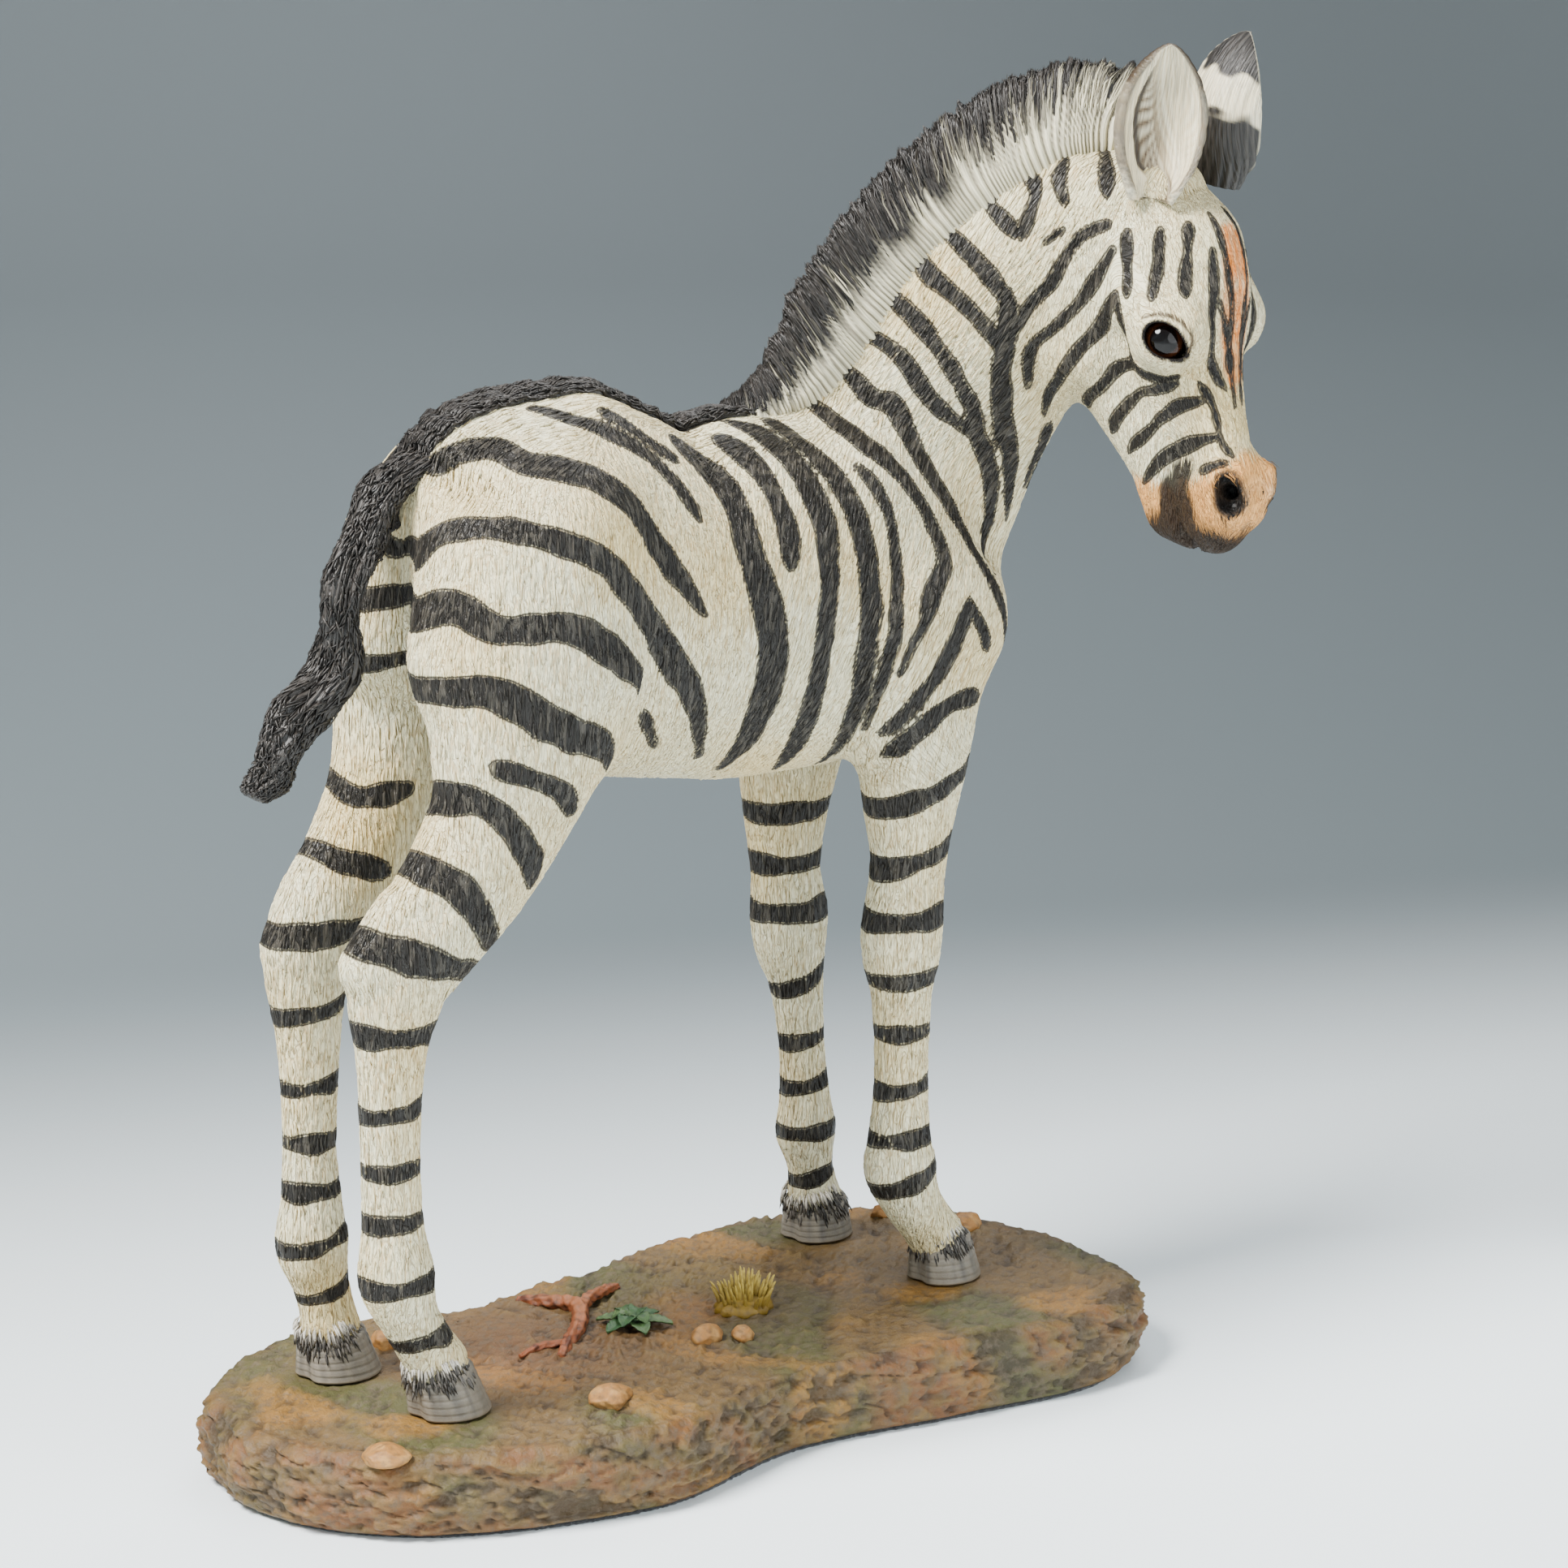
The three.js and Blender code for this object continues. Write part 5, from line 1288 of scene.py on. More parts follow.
def build_mane(settings):
    """The mane as a closed comb: at crest place s and angle a its outline is
    (w(a) side, h(a) up), pushed out by the strands' relief, with a jagged top."""
    fine, ahead, side, up = carried_frames(MANE, 130, (0, 0, 1))
    count, columns = len(fine), 44
    s = run_length(fine[:, :3])
    outline = np.array([(-0.5, -0.9), (-0.85, -0.45), (-1, 0), (-0.82, 0.34), (-0.5, 0.68),
                        (-0.2, 0.93), (0, 1), (0.2, 0.93), (0.5, 0.68), (0.82, 0.34), (1, 0),
                        (0.85, -0.45), (0.5, -0.9)])
    t = np.linspace(0, 1, columns)
    knots = np.linspace(0, 1, len(outline))
    wide, high = (np.interp(t, knots, outline[:, k]) for k in (0, 1))
    share = np.clip(high, 0, 1)[None, :] * np.ones((count, 1))
    place = s[:, None] - 5.5 * share ** 1.3
    relief = strands(place + 2 * np.sign(wide), share * 14, 1.25, 31)
    notch = 1 + 0.03 * waves(s[:, None], 3.2, 32) + 0.03 * waves(s[:, None], 11, 33)
    ends = np.minimum(1, np.minimum(s / 4 + 0.2, (s[-1] - s) / 5 + 0.25))
    tall = (fine[:, 3] * notch * ends)[:, None] * (1 + 0.08 * (relief - 0.5) * share)
    half = fine[:, 4][:, None]
    push = settings.strand_depth * (relief - 0.5) * np.clip(1 - share ** 6, 0.2, 1)
    points = carried(fine, side, up, (half + push) * wide[None], tall * high[None]) \
        - ahead[:, None] * (0.25 * share * 5.5)[..., None]
    closed, faces = close_tube(points)
    bare = 0.3 * smoothstep(place.ravel(), s[-1] - 42, s[-1] - 8)
    paint = hair_paint(share, relief, 34, place, bare)
    hair = np.stack([place.ravel(), share.ravel() * 4, 0 * share.ravel()], 1)
    add_piece("mane_comb", closed, faces, hair_finish("foal_mane_hair"), "dark_hair",
              ("mane",), paint=capped(paint), hair=capped(hair))
    # Locks that lie up the sides of the comb and make its top ragged.
    draw = np.random.default_rng(35)
    total = 4200
    index = draw.integers(20, count - 60, total)
    level = draw.integers(9, columns - 9, total)
    rising = np.where(t[level] < 0.5, 1, -1)
    steps = draw.uniform(1.6, 3.4, total)
    steps = np.minimum(steps, np.abs(level - (columns - 1) / 2) / 3 + 0.15)
    from_share = share[0, level]
    to_share = share[0, np.clip(level + np.round(3 * steps * rising).astype(int), 0,
                                columns - 1)]
    lean_rows = 5.5 * (to_share ** 1.3 - from_share ** 1.3) / (s[-1] / count) / 3
    out = unit(side[index] * wide[level][:, None] + (0.2 + from_share ** 2)[:, None] * up[index])
    path = hug(points, index, level, lean_rows, steps * rising, out)
    path[:, 3] += up[index] * (draw.uniform(0, 1, total) * smoothstep(to_share, 0.8, 1))[:, None]
    bare = 0.3 * smoothstep(s[index], s[-1] - 42, s[-1] - 8)
    add_locks("mane_locks", path, out, 0.52, 0.24, (from_share + to_share) / 2 - bare, 36,
              place[index, level], "foal_mane_hair", draw)


def build_tail(settings):
    """The tail as ovals along its line, with strands that twist slowly round it."""
    fine, _, side, up = carried_frames(TAIL, 34, (1, 0, 0.2))
    fine[:, :3] += np.stack([0.8 * np.sin(np.arange(len(fine)) / 16)] + [0 * fine[:, 0]] * 2, 1)
    count, columns = len(fine), 110
    s = run_length(fine[:, :3])
    turn = np.linspace(0, 2 * math.pi, columns, endpoint=False)[None, :]
    plane = np.stack([np.cos(turn + 0 * s[:, None]) * 5, np.sin(turn + 0 * s[:, None]) * 5,
                      s[:, None] * 0.22 + 0 * turn], -1)
    wave = waves(plane.reshape(-1, 3), 9, 41).reshape(count, columns)
    strand = np.abs(np.sin(13 * turn + 0.07 * s[:, None] + 2.6 * wave))
    clump = waves(plane.reshape(-1, 3) * [1, 1, 2.4], 8, 42).reshape(count, columns)
    push = settings.strand_depth * (0.8 * strand - 0.5 + 0.9 * clump)
    push *= smoothstep(s, 0, 8)[:, None] * smoothstep(s[-1] - s, -1, 6)[:, None]
    points = carried(fine, up, side, (fine[:, 3:4] + push) * np.cos(turn),
                     (fine[:, 4:5] + push) * np.sin(turn))
    closed, faces = close_tube(points)
    relief = np.clip(strand, 0, 1)
    paint = hair_paint(np.ones_like(relief), relief, 43, s[:, None] + 0 * turn)
    around, place = (turn * 5 + 0 * s[:, None]).ravel(), (s[:, None] / 4 + 0 * turn).ravel()
    add_piece("tail_hair", closed, faces, hair_finish("foal_tail_hair"), "dark_hair",
              ("tail",), paint=capped(paint), hair=capped(np.stack([around, place, 0 * place], 1)))
    draw = np.random.default_rng(44)
    total = 2600
    index = draw.integers(8, count - 34, total)
    level = draw.integers(0, columns, total)
    angle = turn[0, level]
    out = up[index] * np.cos(angle)[:, None] + side[index] * np.sin(angle)[:, None]
    path = hug(points, index, level, draw.uniform(3, 7, total),
               draw.normal(0, 2.2, total), out)
    path += out[:, None] * (draw.uniform(0, 0.5, (total, 1)) * [0, 0.4, 0.8, 1])[..., None]
    add_locks("tail_locks", path, out, 0.62, 0.3, np.ones(total), 45, s[index],
              "foal_tail_hair", draw)


# The raised dark strip from the mane to the tail: x, y, z, height and half width.
BACK_STRIP = [
    [36, 0, 213, 2, 4], [22, 0.8, 212, 2, 3.4], [8, 1.2, 213, 1.8, 3.6], [-8, 1.6, 218, 2, 4.6],
    [-20, 2.4, 222, 1.8, 6], [-32, 3.4, 224, 2, 7.2], [-44, 5, 222, 2.2, 8.4],
    [-52, 7, 217, 2.4, 8.8], [-58, 8, 212, 2.4, 8], [-64, 7.6, 206, 2, 6],
    [-69, 5.6, 200, 1.2, 3.4],
]


def build_back_strip(settings):
    """A low ridge of hair laid on the skin of the back: over its half width w it rises by
    h sqrt(1 - u^2), with strands that run slantwise towards the tail and locks on it."""
    flesh = MADE["flesh"]
    fine, _, side, _ = carried_frames(BACK_STRIP, 40, (0, 0, 1))
    count, columns = len(fine), 30
    u = np.cos(np.linspace(0, math.pi, columns))[None, :] + 0 * fine[:, :1]
    across = fine[:, 4:5] * u
    ground = flesh.snap((fine[:, None, :3] + side[:, None] * across[..., None]).reshape(-1, 3), 8)
    normal = unit(flesh.slope(ground)[1]).reshape(count, columns, 3)
    ground = ground.reshape(count, columns, 3)
    s = run_length(fine[:, :3])
    place = s[:, None] + 0 * u
    bend = 1.2 * waves(np.stack([place.ravel(), across.ravel()], 1), 9, 46).reshape(count, -1)
    relief = strands(across + 0.45 * np.abs(across) + bend - 0.3 * place, place, 1.2, 47)
    lumps = waves(np.stack([across.ravel(), place.ravel()], 1), 5, 48).reshape(count, -1)
    high = fine[:, 3:4] * np.sqrt(1 - 0.98 * u ** 2) \
        + settings.strand_depth * (0.55 * (relief - 0.5) + 0.4 * lumps)
    top = ground + normal * (np.maximum(high, 0.15))[..., None]
    low = ground - normal * 1.4
    closed, faces = close_tube(np.concatenate([top, low[:, ::-1]], 1))
    paint = hair_paint(np.ones_like(relief), relief, 49, place)
    hair = np.stack([across.ravel() - 0.3 * place.ravel(), (place / 4).ravel(),
                     0 * place.ravel()], 1).reshape(count, columns, 3)
    both = [np.concatenate([each, each[:, ::-1]], 1).reshape(-1, 3)
            for each in (paint.reshape(count, columns, 3), hair)]
    add_piece("back_strip", closed, faces, hair_finish("foal_tail_hair"), "dark_hair",
              paint=capped(both[0]), hair=capped(both[1]))
    draw = np.random.default_rng(50)
    total = 4200
    index, level = draw.integers(6, count - 14, total), draw.integers(2, columns - 3, total)
    out = normal[index, level]
    outward = np.sign(columns / 2 - level) * draw.uniform(-0.3, 1.1, total)
    path = hug(top, index, level, draw.uniform(2.2, 5, total), 0, out)
    path += side[index][:, None] * (outward[:, None] * np.array([0, 0.2, 0.5, 0.9]))[..., None]
    path[:, 3] += out * draw.uniform(-0.1, 0.5, total)[:, None]
    add_locks("back_locks", path, out, 0.55, 0.26, np.ones(total), 52, s[index],
              "foal_tail_hair", draw)


# ------------------------------------------------------------------ ears, eyes, hooves

EAR_LENGTH, EAR_WIDTH, EAR_WALL = 33.0, 19.4, 1.5
# Share of the length, share of the half width, how far the edges roll in, in degrees.
EAR_OUTLINE = [[0, 0.5, 118], [0.12, 0.68, 108], [0.28, 0.9, 92], [0.45, 1, 74],
               [0.62, 0.95, 60], [0.78, 0.74, 48], [0.9, 0.46, 38], [0.97, 0.22, 30],
               [1, 0.06, 26]]
EARS = {
    "ear_right": ((3, 10.5, -9), (0.16, 0.03), (0.8, 0.56), -1),
    "ear_left": ((3, 10.5, 13.5), (0.2, 0.14), (1, 0.15), 1),
}


def build_ear(name, root, lean, facing, side):
    """A cupped ear: at share s of its length an arc of radius r(s), rolled in at both
    edges, with an outer and an inner face joined over rounded rims."""
    rows = spline_rows(EAR_OUTLINE, 12)
    axis = unit(np.array([0, 0, 1.0]) + lean[0] * FORWARD + lean[1] * side * HEAD_LEFT)
    opened = facing[0] * side * HEAD_LEFT + facing[1] * FORWARD
    opened = unit(opened - axis * (opened @ axis))
    across = np.cross(axis, opened)
    share, width, roll = (rows[:, k][:, None] for k in range(3))
    w = EAR_WIDTH / 2 * width
    radius = w / np.sin(np.radians(np.minimum(roll, 90)))
    middle = on_head(root) + (share * EAR_LENGTH) * axis - 2.2 * np.sin(math.pi * share) * opened
    draw_seed = 51 if side < 0 else 56

    def arc(t, r):
        angle = np.radians(roll) * t
        return middle[:, None] + (r * np.sin(angle))[..., None] * across \
            + (radius - w * 0.5 - r * np.cos(angle))[..., None] * opened

    def hairs(t, seed, pitch):
        along = share * EAR_LENGTH + 0 * t
        return strands(t * w * 1.1 + 0.25 * along, along, pitch, seed)

    outer = np.linspace(-1, 1, 40)[None] + 0 * share
    inner = -outer
    fringe = smoothstep(-share, -0.45, -0.2) if side > 0 else 0 * share
    out_relief = hairs(outer, draw_seed, 1.1)
    in_relief = hairs(inner, draw_seed + 1, 0.9)
    thick = EAR_WALL * (1 - 0.25 * np.abs(inner) ** 4)
    # The near rim is a thick roll that crosses the mouth of the ear at its foot; inside
    # it the hollow drops away and climbs again to the far rim.
    brink = -0.44 - 0.22 * share + 0.06 * np.sin(3 * math.pi * share) \
        + 0.9 * smoothstep(-share, -0.2, 0.02)
    roll_up = smoothstep(brink - inner, -0.02, 0.09) * smoothstep(-share, -0.97, -0.85)
    fold = roll_up + 0.75 * np.exp(-((inner - brink - 0.75) / 0.16) ** 2) \
        * smoothstep(-share, -0.5, -0.1)
    outside = arc(outer, radius + (0.28 + 0.6 * fringe) * (out_relief - 0.5))
    inside = arc(inner * 0.955, radius - thick - 0.24 * (in_relief - 0.5) - 1.1 * fold)
    points, faces = close_tube(np.concatenate([outside, inside], 1))
    cream, shade, brown = (0.89, 0.86, 0.75), (0.80, 0.71, 0.54), (0.22, 0.16, 0.11)
    s, out_hair, in_hair = (share + 0 * outer).ravel(), out_relief.ravel(), in_relief.ravel()
    ripple = 0.03 * waves(np.stack([outer.ravel() * 8, s * 33], 1), 4, draw_seed)
    bands = np.maximum(smoothstep(s + ripple, 0.70, 0.74), smoothstep(-s + ripple, -0.5, -0.45)
                       * (0.35 if side < 0 else 1))
    dark = coats(s.size, (0.09, 0.083, 0.077), ((0.30, 0.285, 0.265), 0.6 * out_hair ** 3))
    back = over(coats(s.size, cream, (shade, 0.5 * (1 - out_hair))), dark, bands)
    rim = smoothstep(np.abs(outer).ravel(), 0.95, 0.99) * smoothstep(s, 0.1, 0.25)
    back = over(back, linear(*(brown if side < 0 else cream)), 0.7 * rim)
    # Painted shade: brown in the hollow just inside the near rim, under its roll, and a darker
    # line where the roll drops into the hollow.
    past = (inner - brink).ravel()
    deep = smoothstep(past, -0.02, 0.08) * smoothstep(-past, -0.95, -0.3) \
        * smoothstep(-s, -0.9, -0.5)
    step = smoothstep(-np.abs(past - 0.08), -0.13, -0.03) * smoothstep(-s, -0.92, -0.7)
    rim = smoothstep(np.abs(inner).ravel(), 0.93, 0.975) * smoothstep(s, 0.02, 0.1)
    hollow = coats(s.size, cream, (shade, 0.75 * (1 - in_hair)),
                   ((0.30, 0.22, 0.15), 0.9 * deep * (1.15 - 0.75 * in_hair)),
                   ((0.14, 0.10, 0.07), 0.95 * step), (brown, 0.8 * rim))
    paint = np.concatenate([each.reshape(*outer.shape, 3) for each in (back, hollow)], 1)
    hair = np.concatenate([np.stack([t * w * 1.3, share * 8 + 0 * t, face + 0 * t], -1)
                           for t, face in ((outer, 0), (inner, 1))], 1)
    add_piece(name + "_shell", points, faces, hair_finish("foal_ear_hair"), "coat", (name,),
              paint=np.vstack([paint.reshape(-1, 3), back[:1], back[-1:]]),
              hair=capped(hair.reshape(-1, 3)))


def build_ears():
    for name, (root, lean, facing, side) in EARS.items():
        build_ear(name, root, lean, facing, side)


def build_eyes():
    """Glossy balls whose pole looks out of the lids: a black pupil, a brown ring."""
    for name, side in (("eye_right", -1), ("eye_left", 1)):
        middle = on_head((EYE_PLACE[0], EYE_PLACE[1], EYE_PLACE[2] * side))
        look = unit(HEAD_LEFT * side * EYE_TURN[1] + HEAD_FRONT * EYE_TURN[0])
        one = unit(np.cross(look, HEAD_ALONG))
        two = np.cross(look, one)
        polar = np.linspace(0.02, math.pi - 0.02, 48)[:, None, None]
        turn = np.linspace(0, 2 * math.pi, 72, endpoint=False)[None, :, None]
        radius = EYE_RADIUS * (1 + 0.015 * np.exp(-(polar / 0.5) ** 2))
        rings = middle + radius * (np.cos(polar) * look + np.sin(polar)
                                   * (np.cos(turn) * one + np.sin(turn) * two))
        points, faces = close_tube(rings)
        angle = (polar[..., 0] + 0 * turn[..., 0]).ravel()
        iris = smoothstep(angle, 0.6, 0.72) * smoothstep(-angle, -0.98, -0.86)
        paint = coats(angle.size, (0.05, 0.035, 0.03), ((0.30, 0.17, 0.10), 0.35 * iris))
        add_piece(name + "_ball", points, faces, eye_finish("foal_eye_gloss"), "eye", (name,),
                  paint=capped(paint))


HOOVES = {
    "hoof_hind_right": ((-67.3, -15, 27.5), (-64.3, -15), (7.2, 6.6), (9, 8.1)),
    "hoof_hind_left": ((-70, 18, 27), (-68, 18), (7.2, 6.7), (9.4, 8.5)),
    "hoof_fore_right": ((66.2, -21, 27), (67.6, -21), (6.7, 6.2), (8.4, 7.7)),
    "hoof_fore_left": ((64.2, 18, 26), (64.8, 18), (7.1, 6.6), (8.3, 7.7)),
}
GROUND = 18.0


def build_hooves():
    """Each hoof: ovals from the sole up to the coronet, longer at the toe, with growth
    rings; then a fringe of dark hair that hangs over its top."""
    locks = []
    for number, (name, (crown, sole, top, bottom)) in enumerate(HOOVES.items()):
        levels = np.concatenate([[0, 0.02], np.linspace(0.05, 0.94, 40), [0.98, 1.0, 1.0]])
        shrink = np.concatenate([[0.95, 0.985], np.ones(40), [0.97, 0.9, 0.6]])
        turn = np.linspace(0, 2 * math.pi, 72, endpoint=False)
        t = levels[:, None]
        fore = np.cos(turn)[None]
        heel = 1 - 0.16 * np.exp(-((turn - math.pi) / 0.3) ** 2)[None] + 0 * t
        rings = 1 + 0.006 * np.sin(34 * t + 1.2 * fore) + 0.003 * np.sin(71 * t + fore * 3)
        a = (bottom[0] + (top[0] - bottom[0]) * t) * shrink[:, None] * rings * heel
        b = (bottom[1] + (top[1] - bottom[1]) * t) * shrink[:, None] * rings
        x = sole[0] + (crown[0] - sole[0]) * t + a * fore
        y = sole[1] + (crown[1] - sole[1]) * t + b * np.sin(turn)[None]
        z = GROUND + 0.35 + (crown[2] - GROUND) * t + 1.2 * fore * t
        points, faces = close_tube(np.stack([x, y, z + 0 * x], -1))
        low = (t + 0 * fore).ravel()
        streak = waves(np.stack([np.cos(turn) * 9, np.sin(turn) * 9], 1), 2.4, 60 + number)
        paint = coats(low.size, (0.48, 0.45, 0.40),
                      ((0.33, 0.32, 0.30),
                       0.3 + 0.5 * np.tile(streak, len(levels)) * (0.4 + low)),
                      ((0.50, 0.44, 0.36), 0.5 * smoothstep(-low, -0.15, 0)))
        add_piece(name + "_wall", points, faces, grained("foal_hoof_horn"), "hoof", (name,),
                  paint=capped(paint))
        locks.append(coronet_fringe(crown, top, number))
    points, faces = join_meshes([lock[:2] for lock in locks])
    paint, roots = (np.vstack([lock[k] for lock in locks]) for k in (2, 3))
    hair = np.stack([points[:, 0] * 2 + points[:, 1] * 2, points[:, 2] / 2, 0 * points[:, 0]], 1)
    add_piece("coronet_fringes", points, faces, hair_finish("foal_fringe_hair"), "coat", (),
              tuft_uv(roots), paint=paint, hair=hair)


def coronet_fringe(crown, top, number):
    """Three rows of locks round a coronet that hang down over the hoof."""
    draw = np.random.default_rng(70 + number)
    total = 330
    turn = draw.uniform(0, 2 * math.pi, total)
    row = draw.random(total)
    out = np.stack([np.cos(turn), np.sin(turn), 0 * turn], 1)
    rise = 1.2 * np.cos(turn) + 5.2 * row - 0.2
    swell = np.stack([(top[0] - 0.1 - 1.5 * row) * np.cos(turn),
                      (top[1] - 0.1 - 1.2 * row) * np.sin(turn), rise], 1)
    root = np.array(crown) + swell - rise[:, None] * [0.5, 0, 0]
    lean = unit(np.array([0.25, 0, -1]) + 0.3 * out + 0.1 * draw.normal(size=(total, 3)))
    length = draw.uniform(2.4, 4.2, total)[:, None]
    path = np.stack([root + lean * length * share + out * lift for share, lift
                     in ((0, -0.5), (0.35, 0.12), (0.7, 0.15), (1, 0))], 1)
    points, faces = tuft_shapes(path, out, draw.uniform(0.5, 0.85, total),
                                draw.uniform(0.2, 0.4, total))
    paint = coats(total, (0.24, 0.23, 0.22),
                  ((0.55, 0.52, 0.48), 0.6 * draw.random(total) ** 2),
                  ((0.85, 0.82, 0.76), smoothstep(row + 0.2 * draw.random(total), 0.75, 1.0)))
    return points, faces, np.repeat(paint, 8, 0), root


# ------------------------------------------------------------------ ground

BASE_OUTLINE = [(106.5, -22), (100, 10), (76, 32), (42, 37), (4, 33), (-28, 33), (-64, 44),
                (-96, 28), (-104, -4), (-85, -34), (-40, -52), (4, -46), (44, -54), (80, -60),
                (102, -47)]
MOUNDS = [(27, 12, 2.2, 13), (-40, -36, 1.6, 12), (10, -30, -1, 14), (84, -40, -0.8, 12),
          (-92, -12, -1, 10), (-20, 20, 0.8, 10), (90, 14, 0.8, 9)]
FELT_HEIGHT, BASE_BOTTOM = 0.9, 1.2
EARTH_GLAZE = np.array([0.43, 0.415, 0.345])


def base_edge(count):
    """Evenly spaced places on the smooth closed outline of the ground."""
    corners = np.array(BASE_OUTLINE, float)
    wide = np.vstack([corners[-2:], corners, corners[:3]])
    fine = spline_rows(wide, 60)[2 * 60:-2 * 60 - 1]
    fine = fine[:len(corners) * 60 + 1]
    s = run_length(fine)
    at = np.linspace(0, s[-1], count, endpoint=False)
    return np.stack([np.interp(at, s, fine[:, k]) for k in (0, 1)], 1)


def ground_height(x, y):
    """Height of the modelled ground: low mounds, level under the hooves."""
    height = GROUND + sum(rise * np.exp(-((x - mx) ** 2 + (y - my) ** 2) / radius ** 2)
                          for mx, my, rise, radius in MOUNDS)
    for _, sole, _, size in HOOVES.values():
        away = np.hypot(x - sole[0], y - sole[1]) / size[0]
        height = GROUND + (height - GROUND) * smoothstep(away, 1.3, 2.2)
    return height


def build_base():
    """The ground as rings about its middle: the top follows the mounds with a tooled
    grain, then a rounded shoulder and a rough, hacked side down to the felt."""
    edge = base_edge(540)
    top_rows = np.concatenate([np.linspace(0.03, 0.9, 78), np.linspace(0.91, 0.965, 8)])
    drop = np.linspace(0, 1, 40)
    side_scale = 0.975 + 0.028 * np.sin(math.pi * np.clip(drop * 0.85 + 0.12, 0, 1))
    side_high = 1 - 0.03 - 0.97 * drop
    scale = np.concatenate([top_rows, side_scale])[:, None, None]
    flat = edge[None] * scale
    x, y = flat[..., 0], flat[..., 1]
    z = ground_height(x, y)
    rows = len(top_rows)
    z[rows:] = BASE_BOTTOM + (z[rows - 1] - 0.7 - BASE_BOTTOM)[None] * side_high[:, None]
    points = np.stack([x, y, z], -1)
    out = unit(np.stack([edge[:, 0], edge[:, 1] * 1.4, 0 * edge[:, 0]], 1))
    lean = np.concatenate([np.zeros(rows - 8), np.linspace(0, 0.7, 8), np.ones(40)])[:, None, None]
    normal = unit(np.array([0, 0, 1.0]) * (1 - lean) + out[None] * lean)
    place = points.reshape(-1, 3)
    coarse = waves(place, 17, 81)
    lumps = waves(place, 6.5, 82)
    grain = waves(place, 1.9, 83, 20)
    hacked = 1 - np.abs(waves(place * [1, 1, 1.7], 8, 84))
    side_share = lean.repeat(540, 1).reshape(-1)
    feet = np.ones(len(place))
    for _, sole, _, size in HOOVES.values():
        feet *= smoothstep(np.hypot(place[:, 0] - sole[0], place[:, 1] - sole[1]) / size[0],
                           1.0, 1.5)
    layers = waves(place * [0.35, 0.35, 2.2], 5, 87)
    crack = smoothstep(-np.abs(waves(place * [1, 1, 1.3], 12, 88)), -0.12, 0)
    pits = waves(place, 3.4, 89, 20)
    rise = (0.3 * lumps + 0.24 * grain + 0.3 * pits) * (1 - side_share) * (0.25 + 0.75 * feet) \
        + (0.6 * coarse + 0.7 * (hacked - 0.6) + 0.35 * layers + 0.3 * grain + 0.3 * pits
           - 0.9 * crack) * side_share
    fade = np.ones(len(place))
    fade[-540 * 2:] = 0.3
    rise = np.clip(rise, -1.6, 1.7) * fade
    rings = (place + normal.reshape(-1, 3) * rise[:, None]).reshape(points.shape)
    rings[..., 2] = np.maximum(rings[..., 2], BASE_BOTTOM)
    solid, faces = close_tube(rings, [[0, 0, GROUND], [0, 0, BASE_BOTTOM]])
    paint = earth_paint(place, coarse, lumps, side_share, rise)
    add_piece("modelled_ground", solid, faces, grained("foal_earth"), "earth", ("base",),
              paint=capped(paint))


def earth_paint(place, coarse, lumps, side, rise):
    """Washes of olive, ochre, brown and dull pink, darker in the hollows of the side."""

    def patch(at_x, at_y, radius):
        return np.exp(-((place[:, :2] - (at_x, at_y)) ** 2).sum(1) / radius ** 2)

    pink = np.clip(patch(-30, 2, 24) + patch(20, -2, 18), 0, 1)
    return EARTH_GLAZE * coats(
        len(place), (0.56, 0.45, 0.29),
        ((0.42, 0.42, 0.26), smoothstep(waves(place, 40, 85), -0.3, 0.8)),
        ((0.76, 0.56, 0.28), 0.8 * smoothstep(waves(place, 27, 86), 0.3, 1.2)),
        ((0.58, 0.36, 0.28), 0.45 * pink * (side < 0.2)),
        ((0.66, 0.56, 0.36), 0.7 * patch(27, 12, 14)),
        ((0.60, 0.36, 0.20), 0.65 * side * smoothstep(coarse, -0.6, 0.9)),
        ((0.46, 0.42, 0.24), 0.5 * side * smoothstep(lumps, 0, 1)),
        # Dark wash with painted shade in the hollows, and pale dry-brushed paint with a painted
        # highlight on the raised lumps.
        ((0.22, 0.16, 0.10), 0.7 * smoothstep(-rise, 0.1, 0.7)),
        ((0.70, 0.58, 0.36), 0.4 * smoothstep(rise, 0.3, 1.1)))


def build_felt():
    """The felt pad: the ground's outline drawn in a little, with a soft fuzzy edge."""
    edge = base_edge(900) * 0.962
    fuzz = 0.18 * waves(edge, 1.3, 91) + 0.12 * waves(edge, 0.6, 92)
    out = unit(edge)
    rows = [(0.97, 0.0), (0.995, 0.0), (1.0, 0.25), (1.0, 0.7), (0.995, FELT_HEIGHT),
            (0.97, FELT_HEIGHT)]
    rings = np.stack([np.column_stack([edge * scale + out * (fuzz * (scale > 0.99))[:, None],
                                       np.full(len(edge), high)]) for scale, high in rows])
    points, faces = close_tube(rings)
    add_piece("felt_pad_cloth", points, faces, felt_finish("foal_felt"), "felt", ("felt_pad",))


STONES = {
    "stone_front": (-38, -35, 5.2, 4, 2.8, 20), "stone_rear": (-90, -27, 5, 4.2, 2.2, -20),
    "stone_grass_large": (3.5, -16.5, 3.6, 2.8, 2.5, 10),
    "stone_grass_small": (10.5, -20, 2.7, 2.3, 2, 40),
    "stone_behind_hoof": (93, 0, 4.2, 3.4, 2.9, 30),
    "stone_far_edge": (84, 17, 3.2, 2.8, 2.2, 0),
    "stone_between_hooves": (-51, 25, 3, 2.8, 2.6, 15),
}


def ball_places(rows, columns, gap):
    """Places of a unit ball in rings from the top down, `gap` short of both poles."""
    polar = np.linspace(gap, math.pi - gap, rows)[:, None]
    turn = np.linspace(0, 2 * math.pi, columns, endpoint=False)[None, :]
    return np.stack([np.sin(polar) * np.cos(turn), np.sin(polar) * np.sin(turn),
                     np.cos(polar) + 0 * turn], -1)


